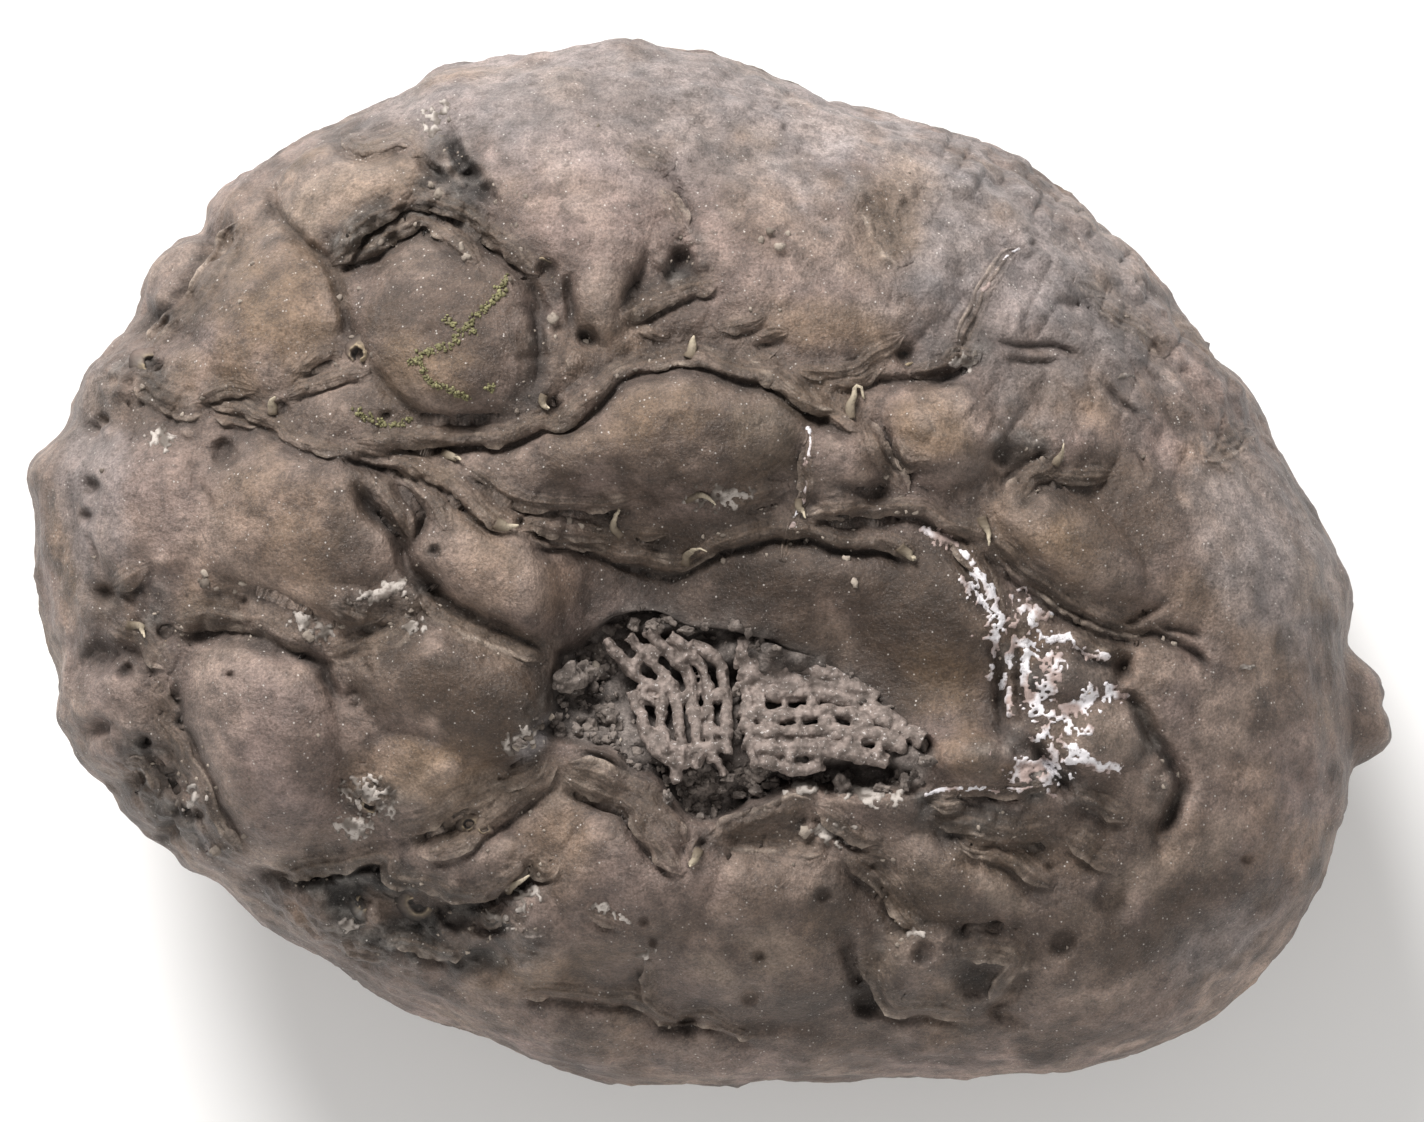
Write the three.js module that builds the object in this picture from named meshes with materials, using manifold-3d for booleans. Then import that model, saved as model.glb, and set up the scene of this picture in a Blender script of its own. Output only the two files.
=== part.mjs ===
// A fossil crinoid: the egg-shaped, wrinkled cup of a sea lily, turned to stone and lying on its
// back. Low rounded plates cover it, parted by creases and by thin crests with small broken
// tubes. On the upper side the wall has broken in, and a sieve of fine ribs shows in the hollow.
// It is one stone, so it is one solid.
//
// Millimetres, +Z up. The origin is under the middle of the stone, on the surface it lies on.
// +X runs towards the stub of the stem, and +Y to the smoother long side.

import * as THREE from "three";
import { mergeVertices } from "three/addons/utils/BufferGeometryUtils.js";
import Module from "manifold-3d";

// Driving dimensions of the whole stone.
const RIM_HEIGHT = 10.4; // height of the widest level above the surface
const RIM_LEAN = 1.1; // how much lower the stem end's rim is than the middle
const TOP_RISE = 12.2; // from the rim up to the crown
const UNDER_DROP = 10.9; // from the rim down to the untrimmed underside
const CROWN = [-3.0, 0.5]; // plan position of the highest point
const FULLNESS = 2.3; // 2 is an ellipse, more is boxier
const RIM_FOLLOW = 5; // how quickly small bumps of the outline fade towards the crown
const RIM_CALM = 0.14; // relief dies out within this share of the rise above and under the rim
const TRIANGLES = 6600; // of the stone before its ribs are joined on

// Plan outline at the widest level, counter-clockwise from the stem end, without the stem's stub.
const OUTLINE = [
  [21.2, -2.4], [21.3, -1.0], [21.0, 0.0], [20.0, 2.0], [19.0, 3.6], [18.4, 4.7], [18.0, 5.4],
  [17.0, 6.6], [16.4, 7.3], [15.5, 8.6], [14.4, 10.0], [13.0, 11.35], [12.0, 12.3], [10.6, 13.1],
  [9.6, 13.95], [8.0, 14.45], [5.0, 15.3], [2.0, 16.2], [0.0, 16.97], [-3.0, 17.4],
  [-6.0, 17.1], [-8.8, 16.75], [-9.7, 16.35], [-11.0, 15.6], [-13.0, 14.65], [-15.0, 13.5],
  [-16.3, 12.6], [-16.8, 11.9], [-17.1, 11.2], [-18.2, 10.5], [-19.1, 9.2], [-19.6, 8.1],
  [-20.6, 7.0], [-21.2, 6.0], [-21.5, 5.0], [-22.2, 4.0], [-22.8, 3.1], [-22.5, 2.0],
  [-22.5, 0.3], [-22.2, -2.3], [-21.6, -4.5], [-21.1, -6.0], [-20.2, -7.4], [-18.8, -8.9],
  [-17.6, -10.0], [-16.6, -10.4], [-15.0, -11.7], [-13.0, -13.05], [-10.0, -14.65],
  [-7.2, -15.8], [-5.4, -16.65], [-3.0, -17.05], [-0.5, -17.3], [1.0, -17.4], [2.6, -17.1],
  [6.0, -17.0], [10.0, -16.8], [13.0, -16.45], [15.5, -15.55], [17.6, -14.05], [19.3, -12.0],
  [20.3, -9.8], [20.9, -8.0], [21.1, -6.8],
];

// The stub where the stem broke off, as two worn lobes: middle in plan, how far they stand out,
// half-width along the rim and half-height.
const STUB_LOBES = [
  { middle: [21.4, -3.8], reach: 1.1, halfWidth: 0.85, halfHeight: 1.5 },
  { middle: [21.2, -5.4], reach: 1.5, halfWidth: 0.95, halfHeight: 1.6 },
];
const STUB_SINK = 0.4; // the stub's middle lies this far under the rim

// Rounded plates of the upper side: middle, half-lengths, turn in degrees, height.
const PLATES = [
  { middle: [-12.3, 12.5], half: [2.9, 1.9], turn: 25, height: 0.75 },
  { middle: [-8.9, 7.9], half: [3.1, 3.3], turn: 0, height: 1.0 },
  { middle: [-14.9, 8.6], half: [2.6, 2.8], turn: -20, height: 0.8 },
  { middle: [-17.9, 10.2], half: [1.3, 2.0], turn: -40, height: 0.5 },
  { middle: [-4.6, 12.4], half: [3.6, 3.2], turn: -30, height: 0.75 },
  { middle: [-3.7, 9.3], half: [1.1, 1.9], turn: 0, height: 0.65 },
  { middle: [3.6, 10.4], half: [4.6, 3.4], turn: -15, height: 0.6 },
  { middle: [-1.0, 4.7], half: [4.9, 2.5], turn: 8, height: 0.95 },
  { middle: [4.3, 3.4], half: [1.5, 1.7], turn: 0, height: 0.7 },
  { middle: [7.6, 4.4], half: [2.2, 1.9], turn: -15, height: 0.8 },
  { middle: [11.9, 0.8], half: [2.9, 1.5], turn: -33, height: 0.9 },
  { middle: [-14.0, 1.7], half: [3.8, 2.9], turn: -8, height: 0.85 },
  { middle: [-19.2, 2.0], half: [2.2, 2.8], turn: 0, height: 0.6 },
  { middle: [-7.7, 0.3], half: [2.0, 3.4], turn: 38, height: 0.8 },
  { middle: [2.6, -0.5], half: [4.6, 1.7], turn: -12, height: 0.75 },
  { middle: [7.0, -2.5], half: [2.9, 2.9], turn: -50, height: 0.85 },
  { middle: [8.7, -6.4], half: [1.4, 1.0], turn: 0, height: 0.5 },
  { middle: [12.0, -3.6], half: [1.5, 0.9], turn: 0, height: 0.4 },
  { middle: [13.0, -5.7], half: [1.6, 1.2], turn: 20, height: 0.6 },
  { middle: [-15.3, -6.1], half: [2.9, 4.3], turn: 6, height: 1.15 },
  { middle: [-20.2, -4.6], half: [1.7, 2.7], turn: 8, height: 0.5 },
  { middle: [-8.8, -4.2], half: [3.5, 2.3], turn: -25, height: 1.0 },
  { middle: [-9.7, -7.0], half: [2.0, 1.9], turn: 30, height: 0.8 },
  { middle: [-8.4, -10.0], half: [2.7, 1.3], turn: 8, height: 0.8 },
  { middle: [-2.6, -10.6], half: [3.6, 2.9], turn: 12, height: 0.85 },
  { middle: [-5.9, -12.2], half: [1.5, 1.8], turn: 0, height: 0.65 },
  { middle: [-8.7, -12.1], half: [1.1, 0.9], turn: 0, height: 0.25 },
  { middle: [1.8, -12.3], half: [3.4, 3.2], turn: 20, height: 0.9 },
  { middle: [8.0, -13.4], half: [2.7, 1.7], turn: 8, height: 0.8 },
  { middle: [-12.0, -12.4], half: [3.4, 1.1], turn: -33, height: 0.4 },
  { middle: [-4.4, -15.4], half: [2.4, 1.2], turn: 0, height: 0.3 },
  { middle: [1.0, -16.2], half: [3.6, 1.0], turn: 0, height: 0.45 },
  { middle: [8.0, -10.6], half: [2.4, 1.5], turn: -30, height: 0.45 },
  { middle: [17.6, -9.4], half: [2.6, 2.9], turn: 0, height: 0.4 },
  { middle: [13.0, -13.6], half: [3.0, 2.6], turn: 20, height: 0.35 },
];

// Thin crests, each a route in plan with its height and half-width.
const CRESTS = [
  // The long crest over the middle of the stone.
  { height: 0.5, width: 0.3, route: [[-11.2, 4.9], [-10.0, 4.5], [-8.6, 4.45], [-7.2, 4.6],
    [-6.0, 4.9], [-5.0, 5.1], [-4.3, 5.5], [-3.6, 6.2], [-3.0, 6.7], [-2.0, 7.0], [-1.0, 7.1],
    [0.0, 7.0], [1.0, 6.6], [1.9, 6.1], [2.6, 5.6], [3.2, 5.3], [4.2, 5.0], [5.0, 4.65],
    [5.3, 4.1], [5.6, 3.5], [6.0, 2.9], [6.6, 2.3]] },
  { height: 0.28, width: 0.2, route: [[1.0, 6.95], [1.8, 6.6], [2.4, 6.1], [3.0, 5.7],
    [3.9, 5.45]] },
  { height: 0.35, width: 0.22, route: [[3.4, 6.1], [4.6, 6.25], [5.4, 6.5], [6.0, 6.75],
    [6.1, 7.2], [6.6, 7.7], [7.3, 8.2], [8.1, 8.5]] },
  { height: 0.35, width: 0.22, route: [[6.2, 6.65], [7.2, 6.5], [7.9, 6.6], [8.3, 6.95],
    [9.0, 6.8], [10.0, 7.2]] },
  // The left crest, which forks round the round plate.
  { height: 0.4, width: 0.25, route: [[-17.3, 5.6], [-16.2, 5.9], [-15.0, 5.9], [-14.0, 6.0],
    [-13.2, 6.4], [-12.4, 6.6], [-11.5, 6.5]] },
  { height: 0.25, width: 0.3, route: [[-14.3, 6.5], [-13.5, 7.0], [-12.5, 7.4]] },
  { height: 0.45, width: 0.35, route: [[-19.4, 6.4], [-18.5, 5.6], [-17.3, 5.2], [-16.0, 5.1],
    [-14.8, 5.0], [-13.6, 4.6], [-12.4, 4.25], [-11.4, 4.1], [-10.3, 3.9], [-9.2, 3.7],
    [-8.4, 3.25]] },
  { height: 0.4, width: 0.25, route: [[-12.4, 4.0], [-11.4, 3.7], [-10.4, 3.3], [-9.4, 2.8],
    [-8.4, 2.3], [-7.6, 1.7], [-6.8, 1.35]] },
  { height: 0.35, width: 0.22, route: [[-8.3, 3.2], [-7.4, 2.8], [-6.6, 2.45], [-5.4, 2.25],
    [-4.0, 2.2], [-2.6, 2.35]] },
  { height: 0.3, width: 0.2, route: [[-8.4, 2.8], [-7.2, 2.1], [-6.0, 1.75], [-5.0, 1.5],
    [-4.0, 1.3], [-3.0, 1.15], [-1.5, 1.0]] },
  { height: 0.3, width: 0.18, route: [[-4.6, 1.0], [-3.2, 0.6], [-2.2, 0.35], [-1.0, 0.1]] },
  // The middle crest over the hollow.
  { height: 0.38, width: 0.25, route: [[-1.6, 1.05], [-0.3, 1.1], [1.0, 1.25], [2.4, 1.5],
    [3.4, 1.25], [4.6, 1.05], [5.8, 0.95], [6.4, 0.65], [6.8, 0.2]] },
  { height: 0.25, width: 0.25, route: [[0.0, 2.0], [1.2, 2.15], [2.2, 2.6], [2.9, 2.75]] },
  { height: 0.32, width: 0.3, route: [[3.0, 1.75], [4.2, 2.0], [5.6, 2.1], [7.0, 1.95],
    [8.0, 1.6], [9.1, 1.05]] },
  { height: 0.25, width: 0.2, route: [[6.4, 2.4], [7.6, 2.4], [8.6, 2.2], [9.1, 1.8]] },
  { height: 0.18, width: 0.1, route: [[3.25, 4.5], [3.15, 3.9], [3.15, 3.2], [3.05, 2.6],
    [2.7, 2.2], [2.6, 1.5]] },
  // The pair of crests that runs down to the stem end.
  { height: 0.45, width: 0.28, route: [[7.6, 1.4], [8.4, 1.0], [9.2, 0.3], [10.0, -0.5],
    [10.8, -1.3], [11.8, -2.0], [12.8, -2.5], [13.6, -3.0]] },
  { height: 0.35, width: 0.25, route: [[9.4, 0.7], [10.4, -0.2], [11.4, -1.0], [12.4, -1.7],
    [13.4, -2.2], [14.2, -2.4]] },
  { height: 0.4, width: 0.3, route: [[9.0, 1.7], [9.7, 2.1], [10.3, 2.75], [11.0, 3.15],
    [11.5, 3.9]] },
  { height: 0.3, width: 0.2, route: [[10.7, 3.05], [12.0, 3.05], [13.3, 3.15]] },
  { height: 0.25, width: 0.2, route: [[5.9, 4.3], [6.4, 3.5], [7.3, 3.6]] },
  // Round the two upper plates.
  { height: 0.4, width: 0.25, route: [[-12.9, 10.1], [-12.1, 11.1], [-11.2, 11.9],
    [-10.2, 12.25], [-9.2, 12.5]] },
  { height: 0.45, width: 0.28, route: [[-12.6, 9.9], [-11.8, 10.5], [-11.0, 11.1],
    [-10.1, 11.5], [-9.4, 11.5], [-8.7, 11.0], [-7.9, 10.3], [-7.2, 10.0], [-6.4, 9.9],
    [-5.5, 9.7], [-5.0, 10.1]] },
  { height: 0.3, width: 0.3, route: [[-8.6, 12.1], [-7.8, 11.6], [-7.0, 11.0], [-6.2, 10.4],
    [-5.8, 10.0]] },
  { height: 0.35, width: 0.25, route: [[-12.4, 14.7], [-11.9, 14.2], [-11.2, 14.1],
    [-10.2, 14.4], [-9.7, 14.0], [-9.3, 13.2], [-8.8, 12.8]] },
  { height: 0.35, width: 0.3, route: [[-15.8, 11.2], [-16.5, 10.6], [-17.3, 9.8],
    [-18.1, 8.9], [-18.7, 8.4]] },
  // Above the long crest.
  { height: 0.3, width: 0.35, route: [[-2.3, 13.7], [-1.6, 12.9], [-1.2, 12.1], [-1.0, 11.4],
    [-0.6, 10.8], [0.0, 10.4]] },
  { height: 0.3, width: 0.25, route: [[-3.4, 7.8], [-2.7, 8.3], [-1.8, 8.9], [-0.8, 9.35],
    [0.4, 9.8]] },
  { height: 0.2, width: 0.2, route: [[-2.9, 8.0], [-1.8, 8.15], [-0.2, 8.0], [0.8, 8.0],
    [2.5, 7.8]] },
  { height: 0.35, width: 0.6, route: [[4.6, 13.4], [5.2, 12.4], [5.8, 11.4], [6.3, 10.3]] },
  { height: 0.25, width: 0.2, route: [[-4.8, 8.1], [-4.3, 8.0], [-3.7, 7.8], [-3.1, 7.4],
    [-3.0, 6.9]] },
  // Left, over the big lower plate.
  { height: 0.45, width: 0.5, route: [[-20.3, -1.3], [-19.2, -1.1], [-18.0, -1.4],
    [-17.0, -1.35], [-16.0, -1.2], [-15.0, -1.4], [-14.0, -1.8], [-13.2, -2.1]] },
  { height: 0.25, width: 0.22, route: [[-20.2, -0.6], [-19.5, -0.2], [-18.8, -0.2],
    [-17.0, -0.5], [-16.0, -0.7], [-15.0, -1.1]] },
  { height: 0.45, width: 0.45, route: [[-12.8, -2.8], [-11.8, -2.6], [-10.9, -2.2],
    [-10.1, -1.5], [-9.3, -1.35], [-8.4, -1.8], [-7.4, -2.2], [-6.4, -2.6], [-5.8, -3.0],
    [-5.6, -3.7]] },
  { height: 0.3, width: 0.25, route: [[-20.3, -1.6], [-19.5, -2.15], [-18.8, -2.7],
    [-18.3, -3.4], [-18.7, -4.1], [-18.3, -4.9], [-17.8, -5.6], [-17.7, -6.3],
    [-17.2, -7.1], [-17.0, -7.8]] },
  { height: 0.4, width: 0.35, route: [[-10.9, -9.0], [-10.0, -8.6], [-9.0, -8.1],
    [-8.0, -7.6], [-7.1, -7.1], [-6.4, -6.4], [-5.8, -5.9]] },
  { height: 0.4, width: 0.3, route: [[-10.4, -9.4], [-9.4, -9.5], [-8.5, -9.2],
    [-7.6, -8.6], [-6.7, -8.0], [-6.0, -7.2], [-5.4, -6.5]] },
  // Along the lower lip of the hollow.
  { height: 0.5, width: 0.4, route: [[-5.2, -6.5], [-4.3, -6.7], [-3.3, -7.2], [-2.5, -7.6],
    [-1.9, -8.3], [-1.2, -8.9], [-0.7, -9.3]] },
  { height: 0.5, width: 0.4, route: [[-0.6, -9.0], [0.4, -8.8], [1.6, -8.4], [2.6, -8.1],
    [3.4, -8.1], [4.4, -8.4], [5.2, -8.9]] },
  { height: 0.3, width: 0.25, route: [[4.3, -7.9], [5.6, -8.25], [6.8, -8.6], [7.8, -9.0],
    [8.8, -9.1], [9.6, -9.4]] },
  { height: 0.3, width: 0.22, route: [[5.0, -9.5], [5.9, -10.1], [6.6, -10.7], [7.2, -11.3]] },
  { height: 0.25, width: 0.15, route: [[7.0, -7.75], [7.7, -7.5], [8.7, -7.5], [9.8, -7.6],
    [10.6, -7.4], [11.5, -7.4]] },
  { height: 0.25, width: 0.2, route: [[7.2, -8.0], [8.4, -8.1], [9.6, -8.3], [11.0, -8.6]] },
  // The lowest edge of the picture side.
  { height: 0.3, width: 0.25, route: [[-7.0, -14.6], [-6.2, -14.2], [-5.2, -14.1],
    [-4.0, -14.3], [-2.8, -14.3], [-2.1, -14.6], [-1.6, -15.1]] },
  { height: 0.25, width: 0.2, route: [[4.9, -13.1], [5.5, -13.7], [6.1, -14.5]] },
  { height: 0.3, width: 0.3, route: [[-7.9, -11.6], [-7.4, -11.9], [-7.0, -11.3],
    [-6.5, -12.0]] },
];

// Creases, each a route in plan with its depth and half-width.
const CREASES = [
  { depth: 0.8, width: 0.42, route: [[-12.1, 3.1], [-11.7, 2.3], [-11.0, 1.6], [-10.5, 0.8],
    [-10.4, 0.0], [-9.8, -0.5], [-8.9, -0.95], [-7.9, -1.5], [-6.8, -2.0], [-5.8, -2.5],
    [-5.0, -2.8]] },
  { depth: 0.7, width: 0.35, route: [[-11.0, 3.1], [-10.4, 2.6], [-9.9, 2.0], [-9.6, 1.4],
    [-9.9, 0.7], [-10.3, 0.3]] },
  { depth: 0.6, width: 0.35, route: [[-18.4, -2.2], [-17.2, -2.0], [-16.2, -1.95],
    [-15.0, -2.2], [-14.0, -2.6], [-13.1, -3.1], [-12.5, -3.8], [-12.1, -4.4]] },
  { depth: 0.7, width: 0.35, route: [[-18.3, -2.7], [-18.3, -3.5], [-18.2, -4.4],
    [-18.0, -5.2], [-17.4, -6.0], [-17.0, -7.0], [-16.7, -8.0], [-16.2, -8.9],
    [-15.6, -9.8], [-14.6, -10.35], [-13.4, -10.2], [-12.2, -9.9], [-11.3, -9.8],
    [-10.8, -10.5], [-9.8, -10.7], [-8.8, -11.0], [-7.8, -11.0], [-7.0, -10.8],
    [-6.3, -10.3]] },
  { depth: 0.5, width: 0.3, route: [[-12.3, 9.9], [-12.4, 9.0], [-12.3, 8.0], [-11.8, 7.3],
    [-11.2, 6.3], [-10.7, 5.6], [-9.8, 5.0], [-8.6, 4.85], [-7.4, 5.0], [-6.4, 5.4],
    [-5.9, 6.3], [-5.7, 7.4], [-5.6, 8.6], [-5.8, 9.4]] },
  { depth: 0.4, width: 0.3, route: [[-15.1, 12.0], [-14.3, 11.4], [-13.5, 10.8],
    [-12.9, 10.4]] },
  { depth: 0.5, width: 0.4, route: [[-15.9, 10.9], [-16.5, 10.1], [-17.0, 9.3],
    [-17.4, 8.6], [-18.1, 8.1]] },
  { depth: 0.6, width: 0.4, route: [[-9.2, 15.4], [-9.2, 14.6], [-8.8, 13.8], [-8.2, 13.1],
    [-7.6, 12.4], [-7.0, 11.6]] },
  { depth: 0.5, width: 0.25, route: [[-11.6, 10.9], [-10.6, 11.6], [-9.6, 12.0],
    [-8.6, 11.7], [-7.4, 10.9]] },
  { depth: 0.45, width: 0.3, route: [[-4.6, 4.9], [-3.7, 5.6], [-3.1, 6.2], [-2.1, 6.6],
    [-1.0, 6.7], [0.2, 6.6], [1.0, 6.2], [1.9, 5.6], [2.8, 4.9], [4.0, 4.7]] },
  { depth: 0.5, width: 0.35, route: [[4.6, 5.9], [5.4, 6.1], [6.6, 6.0], [8.0, 6.3],
    [9.2, 6.7]] },
  { depth: 0.35, width: 0.25, route: [[5.1, 3.4], [5.5, 2.7], [5.8, 2.4]] },
  { depth: 0.4, width: 0.3, route: [[9.4, 1.4], [10.1, 2.1], [11.0, 2.7], [12.4, 2.8]] },
  { depth: 0.3, width: 0.35, route: [[-17.3, 3.4], [-16.9, 2.5], [-16.7, 1.6],
    [-17.1, 0.7]] },
  { depth: 0.4, width: 0.35, route: [[-5.9, -7.0], [-5.0, -7.0], [-4.0, -7.6],
    [-3.0, -8.0], [-2.5, -8.6], [-2.0, -9.3], [-1.3, -10.0], [-0.8, -10.1], [-0.4, -9.4]] },
  { depth: 0.3, width: 0.3, route: [[-4.2, -8.2], [-4.6, -8.9], [-5.0, -9.5],
    [-5.9, -9.9]] },
  { depth: 0.3, width: 0.3, route: [[0.4, -9.3], [1.8, -9.1], [3.2, -9.5], [4.6, -10.1]] },
  { depth: 0.35, width: 0.3, route: [[-10.7, -9.8], [-9.6, -9.9], [-8.4, -9.6],
    [-7.4, -9.0], [-6.4, -8.3], [-5.7, -7.5]] },
  { depth: 0.35, width: 0.25, route: [[-3.4, -11.7], [-3.0, -12.2], [-2.5, -12.7],
    [-2.3, -13.5], [-2.0, -14.3]] },
  { depth: 0.5, width: 0.4, route: [[3.8, -11.8], [4.2, -12.7], [4.6, -13.5], [5.0, -14.3],
    [4.9, -15.1]] },
  { depth: 0.5, width: 0.35, route: [[10.5, -12.9], [10.1, -13.7], [9.7, -14.5],
    [10.4, -15.2], [11.3, -15.9]] },
  { depth: 0.35, width: 0.3, route: [[-12.6, -12.3], [-11.6, -12.9], [-10.4, -12.7],
    [-9.4, -12.8], [-8.2, -13.0]] },
  { depth: 0.35, width: 0.3, route: [[-19.7, -6.4], [-19.0, -6.9], [-18.7, -7.7]] },
  { depth: 0.4, width: 0.35, route: [[12.6, -1.7], [13.8, -1.9], [14.8, -1.5],
    [16.0, -1.1]] },
  { depth: 0.35, width: 0.3, route: [[14.2, -2.2], [15.3, -2.4], [16.2, -2.9],
    [16.8, -3.6]] },
  { depth: 0.5, width: 0.45, route: [[13.2, -3.0], [13.8, -3.8], [14.3, -5.0],
    [14.9, -6.1], [15.4, -7.2], [15.3, -8.1], [14.5, -8.8]] },
  { depth: 0.4, width: 0.22, route: [[9.4, -4.8], [9.7, -5.7], [10.8, -5.9], [11.2, -6.5],
    [11.9, -7.2]] },
  { depth: 0.4, width: 0.3, route: [[9.4, -9.8], [10.0, -10.4], [10.6, -11.1],
    [10.9, -11.7]] },
  { depth: 0.3, width: 0.3, route: [[0.0, -15.0], [0.9, -15.5], [1.8, -15.8]] },
  { depth: 0.3, width: 0.3, route: [[-7.2, -15.0], [-6.6, -15.3], [-6.0, -15.9]] },
  { depth: 0.35, width: 0.35, route: [[-19.7, 6.1], [-19.4, 5.2], [-19.3, 4.5]] },
  { depth: 0.3, width: 0.3, route: [[-21.0, 3.7], [-20.6, 3.0], [-20.5, 2.4]] },
  { depth: 0.3, width: 0.3, route: [[-2.0, 9.1], [-0.9, 9.1], [0.2, 9.45], [1.2, 9.9]] },
];

// Small round pits: middle, radius, depth.
const PITS = [
  { middle: [-16.4, 3.8], radius: 0.6, depth: 0.45 },
  { middle: [-18.0, 8.2], radius: 0.6, depth: 0.5 },
  { middle: [-20.7, 4.8], radius: 0.45, depth: 0.4 },
  { middle: [-20.6, 0.4], radius: 0.5, depth: 0.4 },
  { middle: [-18.3, -2.4], radius: 0.45, depth: 0.4 },
  { middle: [-20.4, -3.0], radius: 0.7, depth: 0.4 },
  { middle: [-17.3, -8.3], radius: 0.7, depth: 0.5 },
  { middle: [-12.1, -4.5], radius: 0.5, depth: 0.4 },
  { middle: [-16.1, -3.6], radius: 0.3, depth: 0.3 },
  { middle: [-11.7, -11.2], radius: 1.2, depth: 0.6 },
  { middle: [-9.7, -11.8], radius: 0.8, depth: 0.6 },
  { middle: [-7.2, -13.1], radius: 0.9, depth: 0.5 },
  { middle: [-4.3, -12.1], radius: 0.8, depth: 0.3 },
  { middle: [-0.9, -15.2], radius: 0.7, depth: 0.6 },
  { middle: [5.3, -14.6], radius: 0.9, depth: 0.7 },
  { middle: [6.9, -15.0], radius: 0.8, depth: 0.4 },
  { middle: [8.7, -13.7], radius: 1.0, depth: 0.5 },
  { middle: [-4.3, 7.7], radius: 0.45, depth: 0.5 },
  { middle: [-5.3, 9.0], radius: 0.55, depth: 0.5 },
  { middle: [-8.5, 13.5], radius: 0.6, depth: 0.5 },
  { middle: [-1.1, 10.3], radius: 0.6, depth: 0.5 },
  { middle: [-5.3, 5.6], radius: 0.45, depth: 0.4 },
  { middle: [13.2, 2.0], radius: 2.2, depth: 0.5 },
  { middle: [12.6, -0.9], radius: 0.8, depth: 0.2 },
  { middle: [10.4, 3.9], radius: 1.2, depth: 0.3 },
];

// Small broken tubes that stand on the crests: plan position, radius and height.
const BEAKS = [
  { middle: [-5.55, 9.75], radius: 0.5, height: 0.5 },
  { middle: [-1.1, 9.85], radius: 0.55, height: 0.45 },
  { middle: [-0.4, 10.4], radius: 0.45, height: 0.4 },
  { middle: [-5.75, 5.3], radius: 0.32, height: 0.5 },
  { middle: [-14.8, 5.6], radius: 0.32, height: 0.35 },
  { middle: [-12.1, 6.8], radius: 0.4, height: 0.4 },
  { middle: [-8.5, 3.5], radius: 0.35, height: 0.4 },
  { middle: [-6.95, 1.55], radius: 0.35, height: 0.4 },
  { middle: [-3.25, 1.5], radius: 0.35, height: 0.45 },
  { middle: [-0.9, 0.35], radius: 0.3, height: 0.35 },
  { middle: [-0.65, 7.3], radius: 0.3, height: 0.35 },
  { middle: [4.6, 5.4], radius: 0.35, height: 0.5 },
  { middle: [6.5, 0.6], radius: 0.35, height: 0.35 },
  { middle: [9.15, 1.2], radius: 0.35, height: 0.4 },
  { middle: [2.7, 2.0], radius: 0.35, height: 0.35 },
  { middle: [-18.2, 8.8], radius: 0.6, height: 0.4 },
  { middle: [-18.8, 6.9], radius: 0.4, height: 0.35 },
  { middle: [-20.0, 4.5], radius: 0.4, height: 0.35 },
  { middle: [-17.6, 4.8], radius: 0.35, height: 0.3 },
  { middle: [-12.9, -2.1], radius: 0.4, height: 0.3 },
  { middle: [-0.75, -9.2], radius: 0.35, height: 0.4 },
  { middle: [3.7, -8.7], radius: 0.6, height: 0.35 },
  { middle: [-11.6, -7.8], radius: 0.6, height: 0.3 },
  { middle: [-10.1, -2.0], radius: 0.4, height: 0.3 },
  { middle: [2.3, 10.8], radius: 0.35, height: 0.25 },
];

// The hollow: its broken rim in plan, clockwise, and how deep its floor and its pits lie.
const HOLLOW_RIM = [
  [-5.6, -2.8], [-4.4, -2.1], [-3.7, -1.4], [-2.5, -1.0], [-1.3, -1.15], [0.2, -1.7],
  [2.0, -2.1], [3.6, -2.7], [5.0, -3.5], [6.2, -4.5], [7.2, -5.5], [7.7, -6.5], [7.2, -7.4],
  [5.4, -7.6], [4.2, -7.9], [3.2, -7.6], [1.6, -8.1], [-0.3, -8.6], [-1.6, -8.1],
  [-2.5, -7.2], [-3.6, -6.5], [-5.1, -6.3], [-6.1, -5.4], [-5.4, -4.2],
];
const HOLLOW_DEPTH = 1.8;
const HOLLOW_WALL = 0.6; // plan width of the steep wall inside the rim
const HOLLOW_DEEPS = [
  { middle: [-0.2, -7.5], half: [1.9, 0.7], depth: 0.7 },
  { middle: [5.0, -7.1], half: [1.9, 0.45], depth: 0.8 },
  { middle: [-3.9, -5.9], half: [1.5, 0.4], depth: 0.5 },
  { middle: [-2.3, -1.6], half: [1.5, 0.6], depth: 0.6 },
  { middle: [2.2, -2.8], half: [2.4, 0.5], depth: 0.6 },
];

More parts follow.
